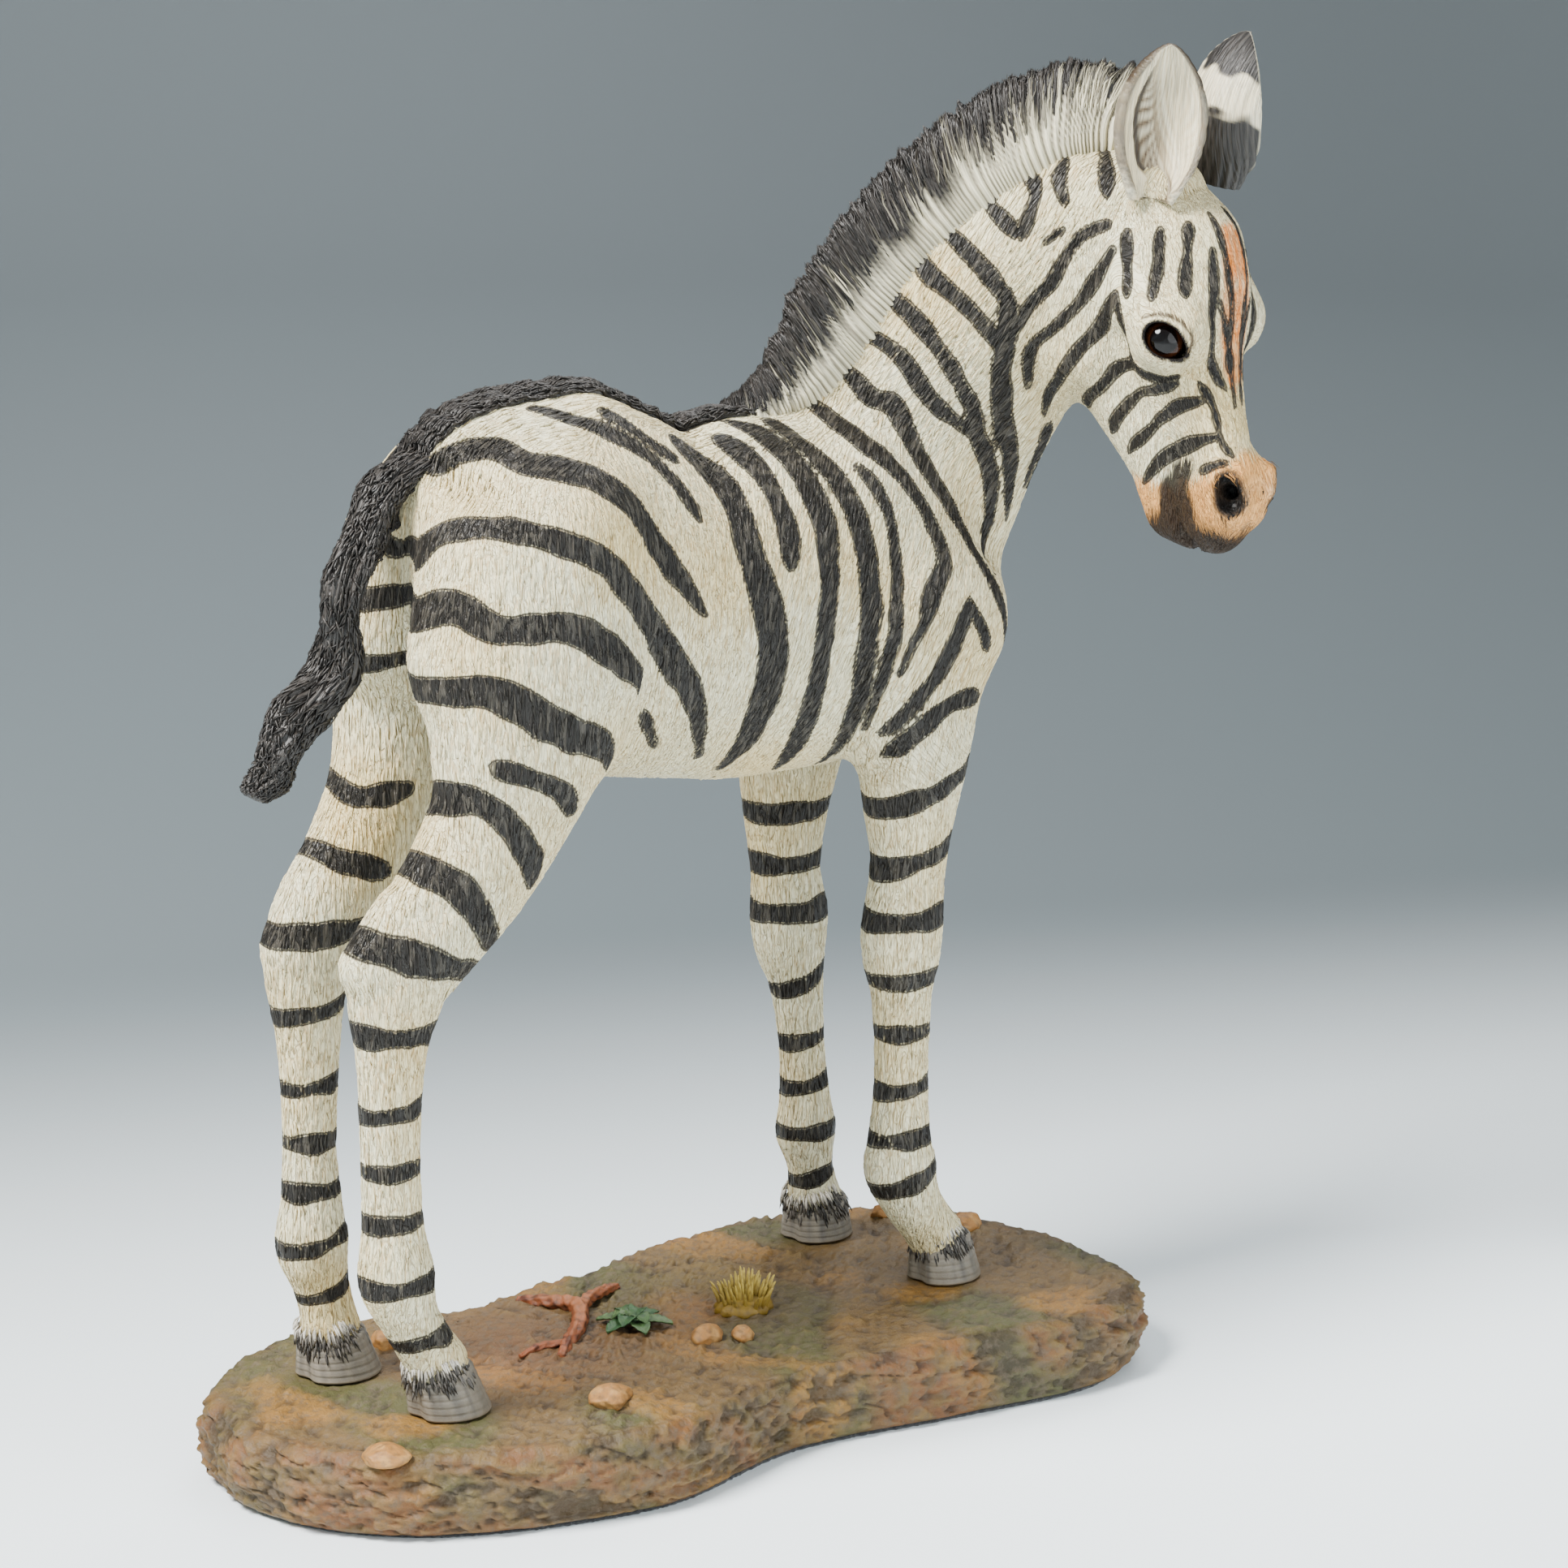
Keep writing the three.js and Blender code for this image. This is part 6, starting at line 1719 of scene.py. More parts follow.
def build_stones():
    """Pebbles: spheres squeezed to half axes a, b, c, with some faces cut flat."""
    for number, (name, (x, y, a, b, c, turn)) in enumerate(STONES.items()):
        ball = ball_places(30, 44, 0.03).reshape(-1, 3)
        draw = np.random.default_rng(100 + number)
        cuts = unit(draw.normal(size=(9, 3)) + [0, 0, 0.3])
        flat = np.minimum(1, 0.8 / np.maximum((ball @ cuts.T).max(1), 0.3))
        size = 1.08 * (0.05 + 0.95 * flat) * (1 + 0.02 * waves(ball, 0.5, 101))
        t = math.radians(turn)
        spin = np.array([[math.cos(t), math.sin(t), 0], [-math.sin(t), math.cos(t), 0], [0, 0, 1]])
        middle = [x, y, ground_height(x, y) + 0.2 * c]
        placed = (ball * size[:, None] * [a, b, c]) @ spin + middle
        points, faces = close_tube(placed.reshape(30, 44, 3))
        light, dark = waves(points, 3, 110 + number), waves(points, 2, 120 + number)
        paint = coats(len(points), (0.60, 0.42, 0.22),
                      ((0.70, 0.54, 0.33), 0.6 * smoothstep(light, 0, 1)),
                      ((0.40, 0.29, 0.17), 0.6 * smoothstep(-dark, 0.2, 1)))
        add_piece(name + "_pebble", points, faces, grained("foal_ground_pieces"), "stone", (name,),
                  paint=paint)


ROOT_ARMS = [
    [[-13, 27, 18.2, 1, 1], [-10, 20, 19.2, 1.5, 1.5], [-8, 13, 19.7, 1.7, 1.7],
     [-14, 5, 19.1, 1.6, 1.6], [-22, -1, 18.5, 1.3, 1.3], [-27, -5, 18, 0.9, 0.9]],
    [[-8, 12, 19.6, 1.4, 1.4], [-2, 16, 19.4, 1.3, 1.3], [4, 18, 19.2, 1.1, 1.1],
     [8, 19, 18.6, 0.8, 0.8]],
    [[-22, -1, 18.6, 0.9, 0.9], [-28, 1, 18.6, 0.8, 0.8], [-34, 0, 18.2, 0.5, 0.5]],
]


def build_root():
    """The root: rough round rods along bent lines, lying half in the ground."""
    parts = []
    for rows in ROOT_ARMS:
        fine, _, side, up = carried_frames(rows, 16, (0, 0, 1))
        turn = np.linspace(0, 2 * math.pi, 28, endpoint=False)[None, :]
        s = np.arange(len(fine))[:, None] * 0.45
        bark = 0.12 * np.sin(5 * turn + 0.5 * s) + 0.1 * np.sin(2.1 * s + 3 * np.sin(turn))
        size = fine[:, 3:4] * (1 + bark)
        parts.append(close_tube(carried(fine, side, up, size * np.cos(turn), size * np.sin(turn))))
    points, faces = join_meshes(parts)
    # Dark random patches, and paler paint along the root's top: a painted highlight.
    paint = coats(len(points), (0.50, 0.28, 0.17),
                  ((0.30, 0.16, 0.10), smoothstep(-waves(points, 2.2, 131), 0, 1)),
                  ((0.66, 0.42, 0.27), 0.6 * smoothstep(points[:, 2], 19.6, 21.4)))
    add_piece("surface_root", points, faces, grained("foal_ground_pieces"), "root", ("root",),
              paint=paint)


def build_plant():
    """A rosette of leaves: each a thin pointed plate that arches from the middle, folded
    along its rib and notched along its edges."""
    x, y = -4, -1
    parts, tones = [], []
    for index in range(11):
        inner = index >= 6
        turn = math.radians(60 * index + (28 if inner else 10))
        length = (4.6 if inner else 7.6) + 0.6 * math.sin(3 * index)
        way = np.array([math.cos(turn), math.sin(turn), 0])
        across = np.array([-way[1], way[0], 0])
        t = np.linspace(0, 1, 22)[:, None]
        u = np.linspace(-1, 1, 13)[None, :]
        notch = 1 + 0.14 * np.abs(np.sin(9 * math.pi * t)) - 0.07
        half = 2.1 * np.sin(math.pi * np.clip(t * 0.9 + 0.07, 0, 1)) ** 0.7 * notch
        rise = GROUND + 0.9 + (1.5 if inner else 0.8) * np.sin(math.pi * (0.12 + 0.78 * t)) \
            + (0.7 if inner else 0)
        vein = 0.1 * np.cos(10 * math.pi * (t + 0.25 * np.abs(u)))
        high = rise + 0.25 * np.abs(u) * half + vein * np.abs(u)
        spots = np.array([x, y, 0]) + way * (0.6 + length * t)[..., None] \
            + across * (half * u)[..., None]
        top = spots + np.array([0, 0, 1]) * high[..., None]
        low = top - np.array([0, 0, 1]) * (0.42 * (1.02 - np.abs(u) ** 2) + 0.05
                                           + 0 * t)[..., None]
        parts.append(close_tube(np.concatenate([top, low[:, ::-1]], 1)))
        pale = np.full(len(parts[-1][0]), 0.3 * (index % 3))
        tones.append(coats(len(pale), (0.26, 0.42, 0.24), ((0.46, 0.56, 0.34), pale)))
    points, faces = join_meshes(parts)
    tone = over(np.vstack(tones) * 0.55, linear(0.06, 0.17, 0.10),
                0.5 * smoothstep(-waves(points, 1.4, 141), 0, 1))
    add_piece("leaf_rosette", points, faces, grained("foal_leaves"), "leaf", ("leafy_plant",),
              paint=tone)


def build_grass():
    """A tuft of dry grass: stiff blades that rise from one low mound and lean outwards."""
    x, y = 21, -8
    draw = np.random.default_rng(150)
    polar = np.linspace(0.05, math.pi - 0.05, 16)[:, None]
    around = np.linspace(0, 2 * math.pi, 40, endpoint=False)[None, :]
    ridge = 1 + 0.08 * np.sin(14 * around)
    mound = np.stack([x + 6.6 * np.sin(polar) * np.cos(around) * ridge,
                      y + 5.4 * np.sin(polar) * np.sin(around) * ridge,
                      GROUND + 0.3 + 2.8 * np.cos(polar) + 0 * around], -1)
    parts = [close_tube(mound)]
    for index in range(70):
        angle = 2 * math.pi * index / 70 * 5 + 0.2 * draw.normal()
        spread = draw.uniform(0.15, 1)
        way = np.array([math.cos(angle), 0.85 * math.sin(angle), 0])
        tall = draw.uniform(5, 9) * (1.1 - 0.35 * spread)
        foot = np.array([x, y, GROUND]) + way * 5.4 * spread
        rows = [[*(foot + way * 0.3), 0.6, 0.6],
                [*(foot + way * 1.1 * spread + [0, 0, tall * 0.5]), 0.55, 0.5],
                [*(foot + way * 2.3 * spread + [0, 0, tall * 0.9]), 0.32, 0.3],
                [*(foot + way * 2.9 * spread + [0, 0, tall]), 0.1, 0.1]]
        fine, _, side, up = carried_frames(rows, 4, (1, 0.3, 0))
        turn = np.linspace(0, 2 * math.pi, 6, endpoint=False)[None, :]
        parts.append(close_tube(carried(fine, side, up, fine[:, 3:4] * np.cos(turn),
                                        0.6 * fine[:, 4:5] * np.sin(turn))))
    points, faces = join_meshes(parts)
    tall = smoothstep(points[:, 2], GROUND + 1, GROUND + 7)
    paint = coats(len(points), (0.48, 0.38, 0.12), ((0.78, 0.68, 0.34), tall),
                  ((0.42, 0.32, 0.12), 0.5 * smoothstep(-waves(points, 1.2, 151), 0, 1)))
    add_piece("dry_grass", points, faces, grained("foal_ground_pieces"), "straw", ("grass_tuft",),
              paint=paint)


# ------------------------------------------------------------------ materials

def node(tree, kind, inputs=(), **settings):
    """Adds a shader node; inputs are values or sockets to link."""
    made = tree.nodes.new("ShaderNode" + kind)
    for key, value in settings.items():
        setattr(made, key, value)
    for key, value in dict(inputs).items():
        if isinstance(value, bpy.types.NodeSocket):
            tree.links.new(value, made.inputs[key])
        else:
            made.inputs[key].default_value = value
    return made


def calc(tree, operation, first, second=0.0):
    return node(tree, "Math", {0: first, 1: second}, operation=operation).outputs[0]


def ramp(tree, value, low, high, to_low=0.0, to_high=1.0):
    """A value eased from one range to another."""
    return node(tree, "MapRange", {"Value": value, "From Min": low, "From Max": high,
                                   "To Min": to_low, "To Max": to_high},
                interpolation_type="SMOOTHSTEP").outputs["Result"]


def tint(tree, share, *colours):
    """Two colours mixed by a share."""
    first, second = (colour if isinstance(colour, bpy.types.NodeSocket) else (*colour, 1)
                     for colour in colours)
    return node(tree, "Mix", {0: share, 6: first, 7: second}, data_type="RGBA").outputs[2]


def attribute(tree, name, output="Color"):
    return node(tree, "Attribute", attribute_name=name).outputs[output]


def new_group(name, inputs, outputs):
    """A shader group with its sockets: names with their kinds and defaults."""
    group = bpy.data.node_groups.new(name, "ShaderNodeTree")
    for label, (kind, default) in inputs.items():
        socket = group.interface.new_socket(label, in_out="INPUT", socket_type="NodeSocket" + kind)
        if default is not None:
            socket.default_value = default
    for label in outputs:
        kind = "Color" if label == "Color" else "Float"
        group.interface.new_socket(label, in_out="OUTPUT", socket_type="NodeSocket" + kind)
    start, end = (group.nodes.new("NodeGroup" + kind) for kind in ("Input", "Output"))
    return group, start.outputs, end.inputs


def tooled_strokes():
    """Strokes cut into the clay, counted in strokes across and along: the streak is a
    stretched noise, and a groove runs where it crosses its middle."""
    name = "Foal tooled strokes"
    if name in bpy.data.node_groups:
        return bpy.data.node_groups[name]
    group, given, out = new_group(
        name, {"Strokes": ("Vector", None), "Other strokes": ("Vector", None),
               "Share of other": ("Float", 0.0)}, ("Streak", "Groove", "Fine"))

    def strokes(scale, detail, distortion, width, depth):
        """The noise of both kinds of place, mixed, and the groove along its middle."""
        both = [node(group, "TexNoise", {"Vector": given[label], "Scale": scale,
                                         "Detail": detail, "Roughness": 0.5,
                                         "Distortion": distortion}).outputs[0]
                for label in ("Strokes", "Other strokes")]
        mix = node(group, "Mix", {0: given["Share of other"], 2: both[0], 3: both[1]}).outputs[0]
        away = calc(group, "ABSOLUTE", calc(group, "SUBTRACT", mix, 0.5))
        return mix, ramp(group, away, 0.0, width, depth, 0.0)

    streak, groove = strokes(0.8, 1.5, 0.35, 0.045, 1.0)
    fine, fine_groove = strokes(2.1, 1.0, 0.0, 0.05, 0.5)
    group.links.new(streak, out["Streak"])
    group.links.new(calc(group, "MAXIMUM", groove, fine_groove), out["Groove"])
    group.links.new(fine, out["Fine"])
    return group


def striped_paint():
    """Paint over tooled hair: stripes with hairy edges and a thin engraved outline, grey
    strokes dry-brushed over the dark, and an ochre wash that stays in the grooves."""
    name = "Foal striped paint"
    if name in bpy.data.node_groups:
        return bpy.data.node_groups[name]
    group, given, out = new_group(
        name, {"Stripe": ("Float", 6.0), "Paint": ("Color", (1, 1, 1, 1)),
               "Streak": ("Float", 0.5), "Groove": ("Float", 0.0), "Fine": ("Float", 0.5),
               "Lift": ("Float", 0.3),
               "Dark": ("Color", (0.03, 0.03, 0.03, 1)), "Grey": ("Color", (0.2, 0.2, 0.2, 1)),
               "Wash": ("Color", (0.5, 0.4, 0.3, 1))},
        ("Color", "Height", "Roughness"))
    hairy = calc(group, "MULTIPLY", calc(group, "SUBTRACT", given["Fine"], 0.5), 0.7)
    edge = calc(group, "ADD", given["Stripe"], hairy)
    dark_share = ramp(group, edge, -0.25, 0.25, 1.0, 0.0)
    outline = ramp(group, calc(group, "ABSOLUTE", calc(group, "SUBTRACT", given["Stripe"], 0.15)),
                   0.06, 0.36, 0.95, 0.0)
    stained = node(group, "VectorMath", {0: given["Paint"], 1: given["Wash"]},
                   operation="MULTIPLY").outputs[0]
    washed = tint(group, calc(group, "MULTIPLY", given["Groove"], 0.6), given["Paint"], stained)
    raised = calc(group, "ADD", given["Streak"], calc(group, "MULTIPLY", given["Lift"], 0.16))
    brushed = ramp(group, raised, 0.52, 0.74, 0.0, 0.9)
    strokes = calc(group, "MULTIPLY", brushed, ramp(group, given["Groove"], 0.2, 0.8, 1, 0.3))
    dark = tint(group, strokes, given["Dark"], given["Grey"])
    colour = tint(group, dark_share, washed, dark)
    colour = tint(group, outline, colour, (0.02, 0.015, 0.011))
    height = calc(group, "SUBTRACT", calc(group, "MULTIPLY", given["Streak"], 0.8),
                  calc(group, "MULTIPLY", given["Groove"], 0.34))
    height = calc(group, "SUBTRACT", height, calc(group, "MULTIPLY", outline, 0.3))
    group.links.new(colour, out["Color"])
    group.links.new(height, out["Height"])
    group.links.new(ramp(group, dark_share, 0, 1, 0.5, 0.42), out["Roughness"])
    return group


def made_once(build):
    """A material is built when it is first asked for by its name, and shared after that."""
    def finish(name, *values):
        if name not in bpy.data.materials:
            material = bpy.data.materials.new(name)
            material.use_nodes = True
            tree = material.node_tree
            build(tree, tree.nodes["Principled BSDF"], *values)
        return bpy.data.materials[name]
    finish.__doc__ = build.__doc__
    return finish


def dress(tree, shader, colour, specular, roughness=None, height=None, depth=0.0):
    """Links a colour and a bump `depth` metres high to a shader, and sets its gloss."""
    tree.links.new(colour, shader.inputs["Base Color"])
    if height is not None:
        bump = node(tree, "Bump", {"Height": height, "Strength": 1.0, "Distance": depth})
        tree.links.new(bump.outputs[0], shader.inputs["Normal"])
    if roughness is not None:
        shader.inputs["Roughness"].default_value = roughness
    shader.inputs["Specular IOR Level"].default_value = specular


@made_once
def coat_paint(tree, shader, settings, tooth):
    """Painted short hair, with the stripes and paint that the vertices carry."""
    strokes = node(tree, "Group", {"Strokes": attribute(tree, "hair", "Vector"),
                                   "Other strokes": attribute(tree, "hair_b", "Vector"),
                                   "Share of other": attribute(tree, "zone", "Fac")},
                   node_tree=tooled_strokes()).outputs
    paint = node(tree, "Group", {
        "Stripe": attribute(tree, "stripe", "Fac"), "Paint": attribute(tree, "paint"),
        "Lift": attribute(tree, "lift", "Fac"), "Dark": (*settings.stripe_colour, 1),
        "Grey": (*settings.stroke_colour, 1), "Wash": (*linear(0.75, 0.65, 0.54), 1),
        **{label: strokes[label] for label in ("Streak", "Groove", "Fine")},
    }, node_tree=striped_paint()).outputs
    tree.links.new(paint["Roughness"], shader.inputs["Roughness"])
    dress(tree, shader, paint["Color"], 0.25, None, paint["Height"], settings.tooling * tooth)


@made_once
def hair_finish(tree, shader):
    """Painted long hair: the vertices carry its colour, and fine streaks its bump."""
    stretch = node(tree, "Mapping", {"Vector": attribute(tree, "hair", "Vector"),
                                     "Scale": (2.4, 0.5, 2.4)})
    noise = node(tree, "TexNoise", {"Vector": stretch.outputs[0], "Scale": 1.0,
                                    "Detail": 2.0}).outputs[0]
    shade = ramp(tree, noise, 0.35, 0.6, 0.4, 0.0)
    colour = tint(tree, shade, attribute(tree, "paint"), (0.05, 0.042, 0.036))
    dress(tree, shader, colour, 0.35, 0.42, noise, 0.00034)


# Roughness, grain in lumps per metre, its depth in metres, how dark the painted shade in its
# hollows is.
GRAINS = {
    "foal_hoof_horn": (0.48, 700.0, 0.00012, 0.25), "foal_earth": (0.56, 520.0, 0.0007, 0.6),
    "foal_ground_pieces": (0.5, 900.0, 0.0003, 0.35), "foal_leaves": (0.45, 1100.0, 0.00015, 0.2),
}


@made_once
def grained_finish(tree, shader, roughness, scale, depth, painted_hollow_shade):
    """Paint from the vertices with a grain read at places of the piece."""
    grain = node(tree, "TexNoise", {"Vector": node(tree, "TexCoord").outputs["Object"],
                                    "Scale": scale, "Detail": 5.0,
                                    "Roughness": 0.65}).outputs[0]
    # Painted shade: the colour darkens where the grain, and so the bump, is low.
    shade = ramp(tree, grain, 0.36, 0.54, painted_hollow_shade, 0.0)
    colour = tint(tree, shade, attribute(tree, "paint"), (0.09, 0.065, 0.04))
    dress(tree, shader, colour, 0.4, roughness, grain, depth)


def grained(name):
    return grained_finish(name, *GRAINS[name])


@made_once
def eye_finish(tree, shader):
    dress(tree, shader, attribute(tree, "paint"), 0.2, 0.06)
    shader.inputs["Coat Weight"].default_value = 0.15
    shader.inputs["Coat Roughness"].default_value = 0.02


@made_once
def felt_finish(tree, shader):
    """Black felt: a fine tangle of fibres over a soft sheen."""
    fibres = node(tree, "TexNoise", {"Vector": node(tree, "TexCoord").outputs["Object"],
                                     "Scale": 2600.0, "Detail": 4.0,
                                     "Distortion": 1.5}).outputs[0]
    colour = tint(tree, ramp(tree, fibres, 0.4, 0.7), (0.006, 0.006, 0.008), (0.03, 0.03, 0.035))
    dress(tree, shader, colour, 0.5, 0.95, fibres, 0.0004)
    shader.inputs["Sheen Weight"].default_value = 0.3


@made_once
def backdrop_finish(tree, shader, settings):
    """Paper whose pale pool round the figurine fades with the depth behind it, sooner at
    the left, and is darker beyond it towards the right."""
    place = node(tree, "TexCoord").outputs["Object"]

    def along(way):
        dot = node(tree, "VectorMath", {0: place, 1: way}, operation="DOT_PRODUCT")
        return dot.outputs["Value"]

    across = along((0.755, -0.656, 0))
    # Painted shade on the floor towards the left.
    floor = tint(tree, ramp(tree, across, -0.24, 0.04, 0.26, 0.0),
                 settings.floor_colour, (0.3, 0.33, 0.35))
    beyond = tint(tree, ramp(tree, along((0.656, 0.755, 0)), 0.4, 2.0),
                  settings.middle_colour, settings.wall_colour)
    # Painted shade on the paper beyond the pool, deepening towards the right.
    beyond = tint(tree, ramp(tree, across, -0.25, 0.35, 0.0, 0.36), beyond, (0.02, 0.023, 0.025))
    # The painted pool of light: the pale floor near the figurine gives way to the darker paper
    # behind.
    colour = tint(tree, ramp(tree, along((0.46, 0.92, 0.3)), -0.06, 0.37), floor, beyond)
    dress(tree, shader, colour, 0.1, 0.9)


# ------------------------------------------------------------------ stage

def build_backdrop(settings):
    """A pale floor that curves up all round into a grey wall: radius r(t) and height z(t)
    of a round bowl with its middle closed by a fan."""
    flat, bend, wall, columns = 1.35, 0.85, 2.6, 96
    t = np.linspace(0, math.pi / 2, 24)
    radius = np.concatenate([[0.05, 0.4, 0.8, 1.1], flat + bend * np.sin(t), [flat + bend] * 3])
    high = np.concatenate([[0, 0, 0, 0], bend * (1 - np.cos(t)), [1.2, 1.8, wall]])
    turn = np.linspace(0, 2 * math.pi, columns, endpoint=False)[None, :]
    rings = np.stack([radius[:, None] * np.cos(turn), radius[:, None] * np.sin(turn),
                      high[:, None] + 0 * turn], -1).reshape(-1, 3)
    j = np.arange(columns)
    fan = np.stack([np.full(columns, len(rings)), (j + 1) % columns, j], 1)
    faces = np.vstack([grid_faces(len(radius), columns), fan])[:, ::-1]
    mesh = bpy.data.meshes.new("backdrop")
    mesh.from_pydata(np.vstack([rings, [[0, 0, 0]]]).tolist(), [], faces.tolist())
    mesh.polygons.foreach_set("use_smooth", np.ones(len(faces), bool))
    mesh.materials.append(backdrop_finish("backdrop_paper", settings))
    backdrop = bpy.data.objects.new("backdrop", mesh)
    bpy.context.collection.objects.link(backdrop)


def aim(thing, place, target):
    """Puts a lamp or camera at a place, looking at a target."""
    back = Vector(place) - Vector(target)
    thing.location = place
    thing.rotation_mode = "QUATERNION"
    thing.rotation_quaternion = back.to_track_quat("Z", "Y")


def add_lamp(name, power, size, place, colour):
    lamp = bpy.data.lights.new(name, "AREA")
    lamp.energy, lamp.shape, lamp.size, lamp.color = power, "DISK", size, colour
    thing = bpy.data.objects.new(name, lamp)
    bpy.context.collection.objects.link(thing)
    aim(thing, place, (0, 0, 0.14))


CAMERA_TARGET, CAMERA_EYE = (-9.8, -56.7, 150), (-770.25, -931.49, 460.58)


def build_stage(settings):
    build_backdrop(settings)
    back = unit(to_frame(CAMERA_EYE) - to_frame(CAMERA_TARGET)) * [1, 1, 0]
    right = np.array([-back[1], back[0], 0])
    up = np.array([0, 0, 1])
    key = back * 0.5 - right * 0.75 + up * 1.25
    fill = back * 0.9 + right * 0.9 + up * 0.55
    rear = -back * 1.0 + right * 0.3 + up * 1.3
    add_lamp("key_light", settings.key_power, 0.6, key, (1, 0.985, 0.96))
    add_lamp("fill_light", settings.fill_power, 1.3, fill, (0.97, 0.985, 1))
    add_lamp("rear_light", settings.rear_power, 1.1, rear, (0.98, 0.99, 1))
    world = bpy.data.worlds.new("studio_air")
    world.use_nodes = True
    sky = world.node_tree.nodes["Background"]
    sky.inputs["Color"].default_value = (0.93, 0.96, 1, 1)
    sky.inputs["Strength"].default_value = settings.air
    bpy.context.scene.world = world
    camera = bpy.data.cameras.new("camera")
    camera.sensor_width, camera.lens = 36.0, 137.6
    camera.clip_start, camera.clip_end = 0.05, 20
    thing = bpy.data.objects.new("camera", camera)
    bpy.context.collection.objects.link(thing)
    aim(thing, Vector(to_frame(CAMERA_EYE)), Vector(to_frame(CAMERA_TARGET)))
    bpy.context.scene.camera = thing


# ------------------------------------------------------------------ add-on

class FoalCoat(bpy.types.PropertyGroup):
    """Sizes and colours of the short hair."""
    tooling: FloatProperty(name="Tooling depth",
                           description="Depth of the strokes cut into the coat",
                           default=0.0008, min=0, max=0.002, unit="LENGTH", precision=5)
    tuft_scale: FloatProperty(name="Tuft size", description="Size of the raised tufts, 1 as made",
                              default=1.0, min=0.2, max=3)
    tufts: IntProperty(name="Tufts", description="Most tufts in one piece of the coat",
                       default=15500, min=100, max=16000)
    stripe_colour: FloatVectorProperty(name="Stripe", subtype="COLOR",
                                       description="Dark paint of the stripes",
                                       default=(0.0132, 0.0113, 0.009), min=0, max=1)
    stroke_colour: FloatVectorProperty(name="Brushed strokes", subtype="COLOR",
                                       description="Lighter strokes brushed over the stripes",
                                       default=(0.056, 0.049, 0.038), min=0, max=1)


class FoalHair(bpy.types.PropertyGroup):
    """Relief of the mane and tail."""
    strand_depth: FloatProperty(name="Strand depth",
                                description="Relief of the combed strands in mm",
                                default=1.0, min=0, max=3)


class FoalStage(bpy.types.PropertyGroup):
    """Light and backdrop."""
    key_power: FloatProperty(name="Key light", description="Power of the main soft light",
                             default=70, min=0, unit="POWER")
    fill_power: FloatProperty(name="Fill light",
                              description="Power of the soft light from the right",
                              default=12, min=0, unit="POWER")
    rear_power: FloatProperty(name="Rear light", description="Power of the light from behind",
                              default=16, min=0, unit="POWER")
    air: FloatProperty(name="Air", description="Strength of the even light all round",
                       default=0.68, min=0, max=5)
    # Colours of the paper, with the pool of light and the shade behind it painted in.
    floor_colour: FloatVectorProperty(name="Floor", description="Paper on the floor",
                                      subtype="COLOR", default=(0.87, 0.94, 0.97), min=0, max=1)
    middle_colour: FloatVectorProperty(name="Middle", subtype="COLOR",
                                       description="Paper behind the figurine",
                                       default=(0.119, 0.142, 0.152), min=0, max=1)
    wall_colour: FloatVectorProperty(name="Wall", description="Paper at the top of the wall",
                                     subtype="COLOR", default=(0.172, 0.196, 0.207), min=0, max=1)


class FOAL_OT_skin(bpy.types.Operator):
    """The foal's one skin, with its paint and stripes."""
    bl_idname = "foal.skin"
    bl_label = "Skin"

    def execute(self, context):
        build_skin(context.scene.foal_coat)
        return {"FINISHED"}


class FOAL_OT_coat(bpy.types.Operator):
    """Flat tufts of short hair over the skin."""
    bl_idname = "foal.coat"
    bl_label = "Coat"

    def execute(self, context):
        build_coat(context.scene.foal_coat)
        return {"FINISHED"}


class FOAL_OT_mane(bpy.types.Operator):
    """The combed upright mane with its loose locks."""
    bl_idname = "foal.mane"
    bl_label = "Mane"

    def execute(self, context):
        build_mane(context.scene.foal_hair)
        return {"FINISHED"}


class FOAL_OT_tail(bpy.types.Operator):
    """The wavy tail with its loose locks."""
    bl_idname = "foal.tail"
    bl_label = "Tail"

    def execute(self, context):
        build_tail(context.scene.foal_hair)
        return {"FINISHED"}


class FOAL_OT_strip(bpy.types.Operator):
    """The raised strip of hair along the back."""
    bl_idname = "foal.strip"
    bl_label = "Back strip"

    def execute(self, context):
        build_back_strip(context.scene.foal_hair)
        return {"FINISHED"}


class FOAL_OT_ears(bpy.types.Operator):
    """Both cupped ears."""
    bl_idname = "foal.ears"
    bl_label = "Ears"

    def execute(self, context):
        build_ears()
        return {"FINISHED"}


class FOAL_OT_eyes(bpy.types.Operator):
    """Both glossy eyes."""
    bl_idname = "foal.eyes"
    bl_label = "Eyes"

    def execute(self, context):
        build_eyes()
        return {"FINISHED"}


class FOAL_OT_hooves(bpy.types.Operator):
    """The four hooves and the fringes over them."""
    bl_idname = "foal.hooves"
    bl_label = "Hooves"

    def execute(self, context):
        build_hooves()
        return {"FINISHED"}


class FOAL_OT_base(bpy.types.Operator):
    """The modelled ground."""
    bl_idname = "foal.base"
    bl_label = "Ground"

    def execute(self, context):
        build_base()
        return {"FINISHED"}


class FOAL_OT_felt(bpy.types.Operator):
    """The felt pad under the ground."""
    bl_idname = "foal.felt"
    bl_label = "Felt"

    def execute(self, context):
        build_felt()
        return {"FINISHED"}


class FOAL_OT_stones(bpy.types.Operator):
    """The pebbles on the ground."""
    bl_idname = "foal.stones"
    bl_label = "Stones"

    def execute(self, context):
        build_stones()
        return {"FINISHED"}


class FOAL_OT_root(bpy.types.Operator):
    """The root that lies on the ground."""
    bl_idname = "foal.root"
    bl_label = "Root"

    def execute(self, context):
        build_root()
        return {"FINISHED"}


class FOAL_OT_plant(bpy.types.Operator):
    """The rosette of leaves."""
    bl_idname = "foal.plant"
    bl_label = "Leafy plant"

    def execute(self, context):
        build_plant()
        return {"FINISHED"}


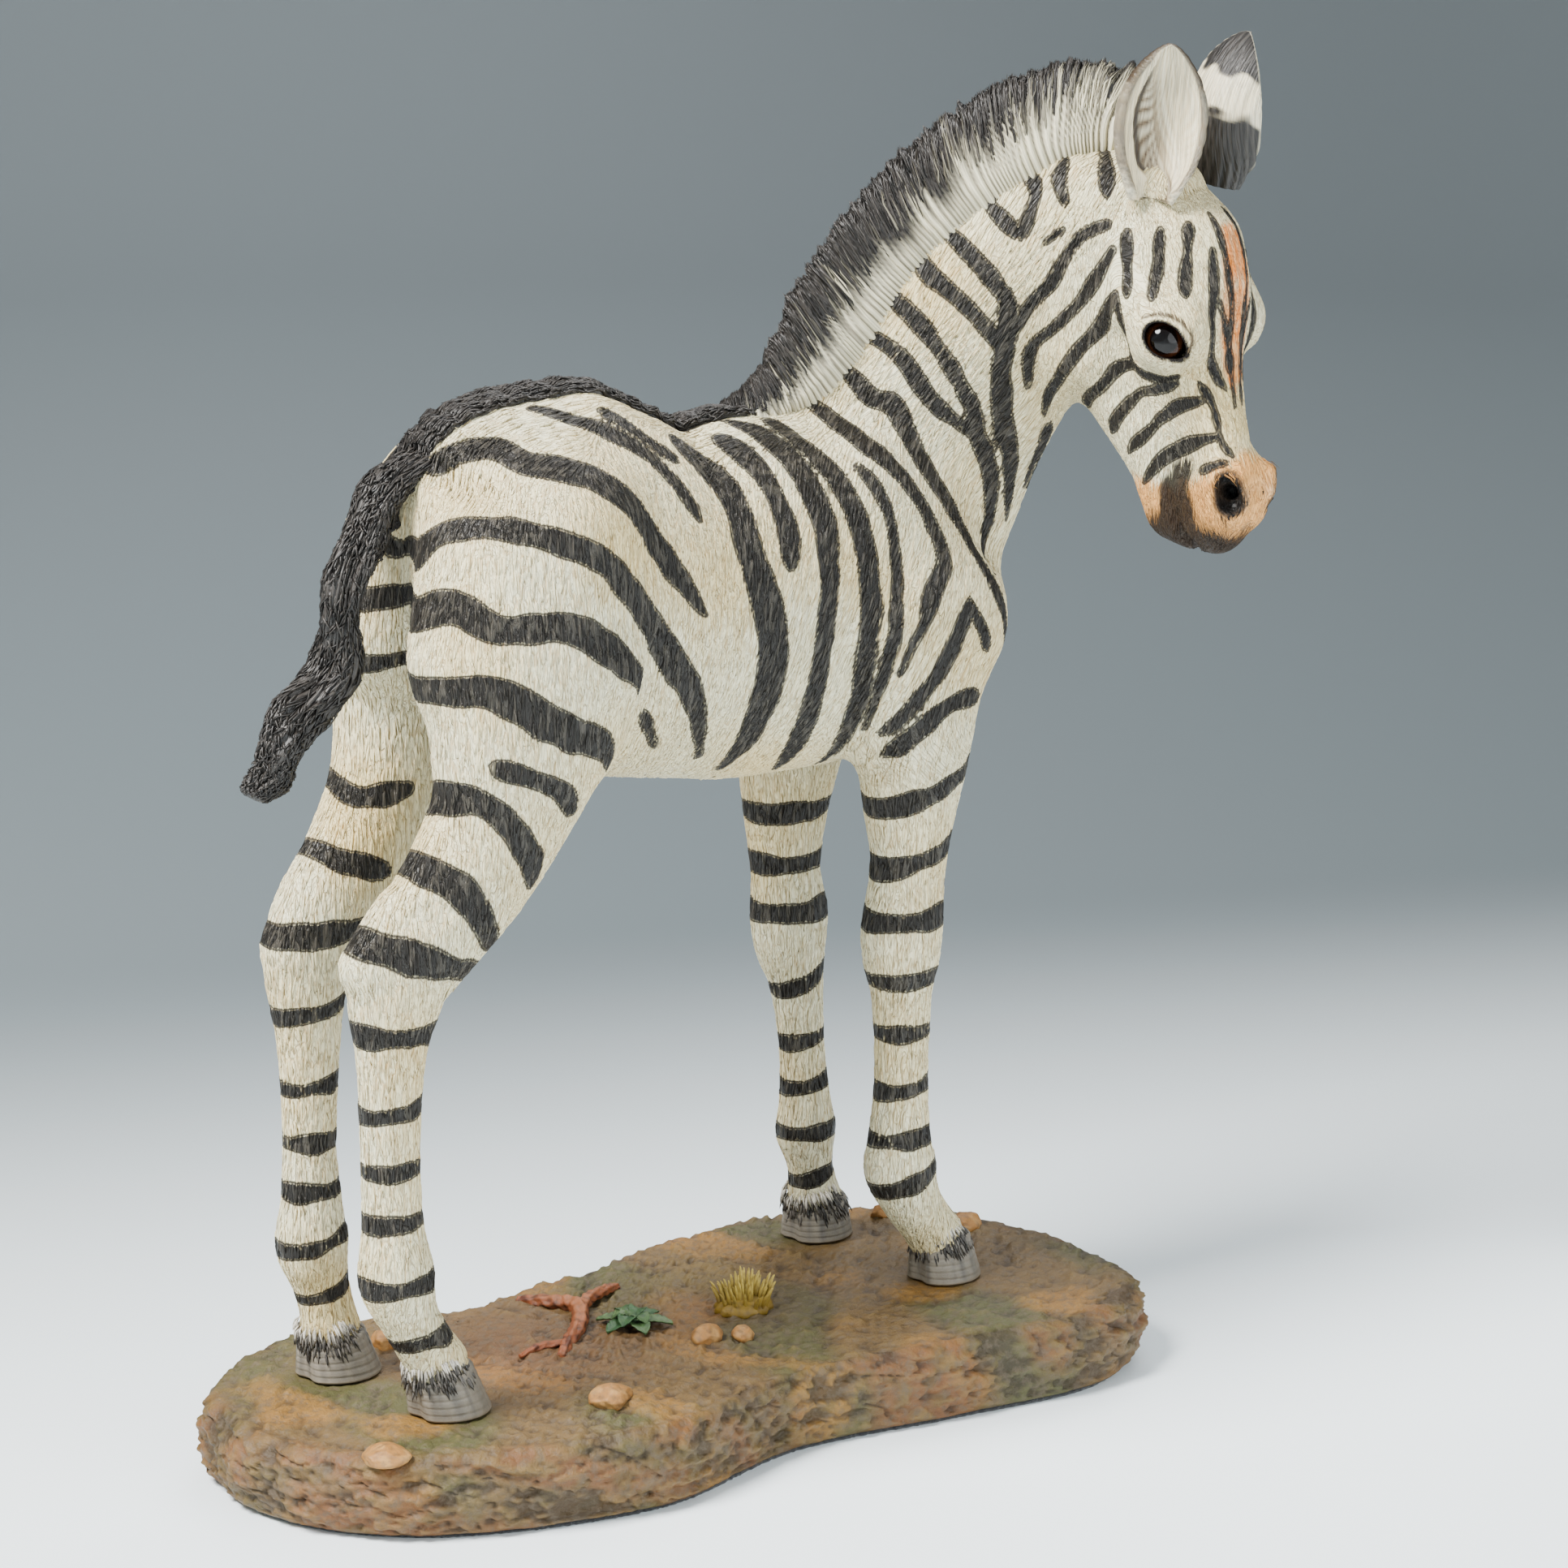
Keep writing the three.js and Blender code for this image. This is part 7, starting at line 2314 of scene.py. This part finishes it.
class FOAL_OT_grass(bpy.types.Operator):
    """The tuft of dry grass."""
    bl_idname = "foal.grass"
    bl_label = "Dry grass"

    def execute(self, context):
        build_grass()
        return {"FINISHED"}


class FOAL_OT_stage(bpy.types.Operator):
    """Backdrop, lights and camera."""
    bl_idname = "foal.stage"
    bl_label = "Stage"

    def execute(self, context):
        build_stage(context.scene.foal_stage)
        return {"FINISHED"}


PARTS = ("skin", "coat", "mane", "tail", "strip", "ears", "eyes", "hooves",
         "base", "felt", "stones", "root", "plant", "grass", "stage")


class FOAL_PT_sidebar(bpy.types.Panel):
    """Lists the settings and the steps."""
    bl_label = "Zebra foal"
    bl_idname = "FOAL_PT_sidebar"
    bl_space_type = "VIEW_3D"
    bl_region_type = "UI"
    bl_category = "Zebra foal"

    def draw(self, context):
        for name in ("foal_coat", "foal_hair", "foal_stage"):
            settings = getattr(context.scene, name)
            for key in settings.__annotations__:
                self.layout.prop(settings, key)
        for part in PARTS:
            self.layout.operator("foal." + part)


GROUPS = {"foal_coat": FoalCoat, "foal_hair": FoalHair, "foal_stage": FoalStage}
OPERATORS = (FOAL_OT_skin, FOAL_OT_coat, FOAL_OT_mane, FOAL_OT_tail, FOAL_OT_strip,
             FOAL_OT_ears, FOAL_OT_eyes, FOAL_OT_hooves, FOAL_OT_base,
             FOAL_OT_felt, FOAL_OT_stones, FOAL_OT_root, FOAL_OT_plant,
             FOAL_OT_grass, FOAL_OT_stage)


def register():
    for group in GROUPS.values():
        bpy.utils.register_class(group)
    for name, group in GROUPS.items():
        setattr(bpy.types.Scene, name, PointerProperty(type=group))
    for item in (*OPERATORS, FOAL_PT_sidebar):
        bpy.utils.register_class(item)


def unregister():
    for item in reversed((*OPERATORS, FOAL_PT_sidebar)):
        bpy.utils.unregister_class(item)
    for name, group in GROUPS.items():
        delattr(bpy.types.Scene, name)
        bpy.utils.unregister_class(group)


def main():
    register()
    for part in PARTS:
        getattr(bpy.ops.foal, part)()


if __name__ == "__main__":
    main()
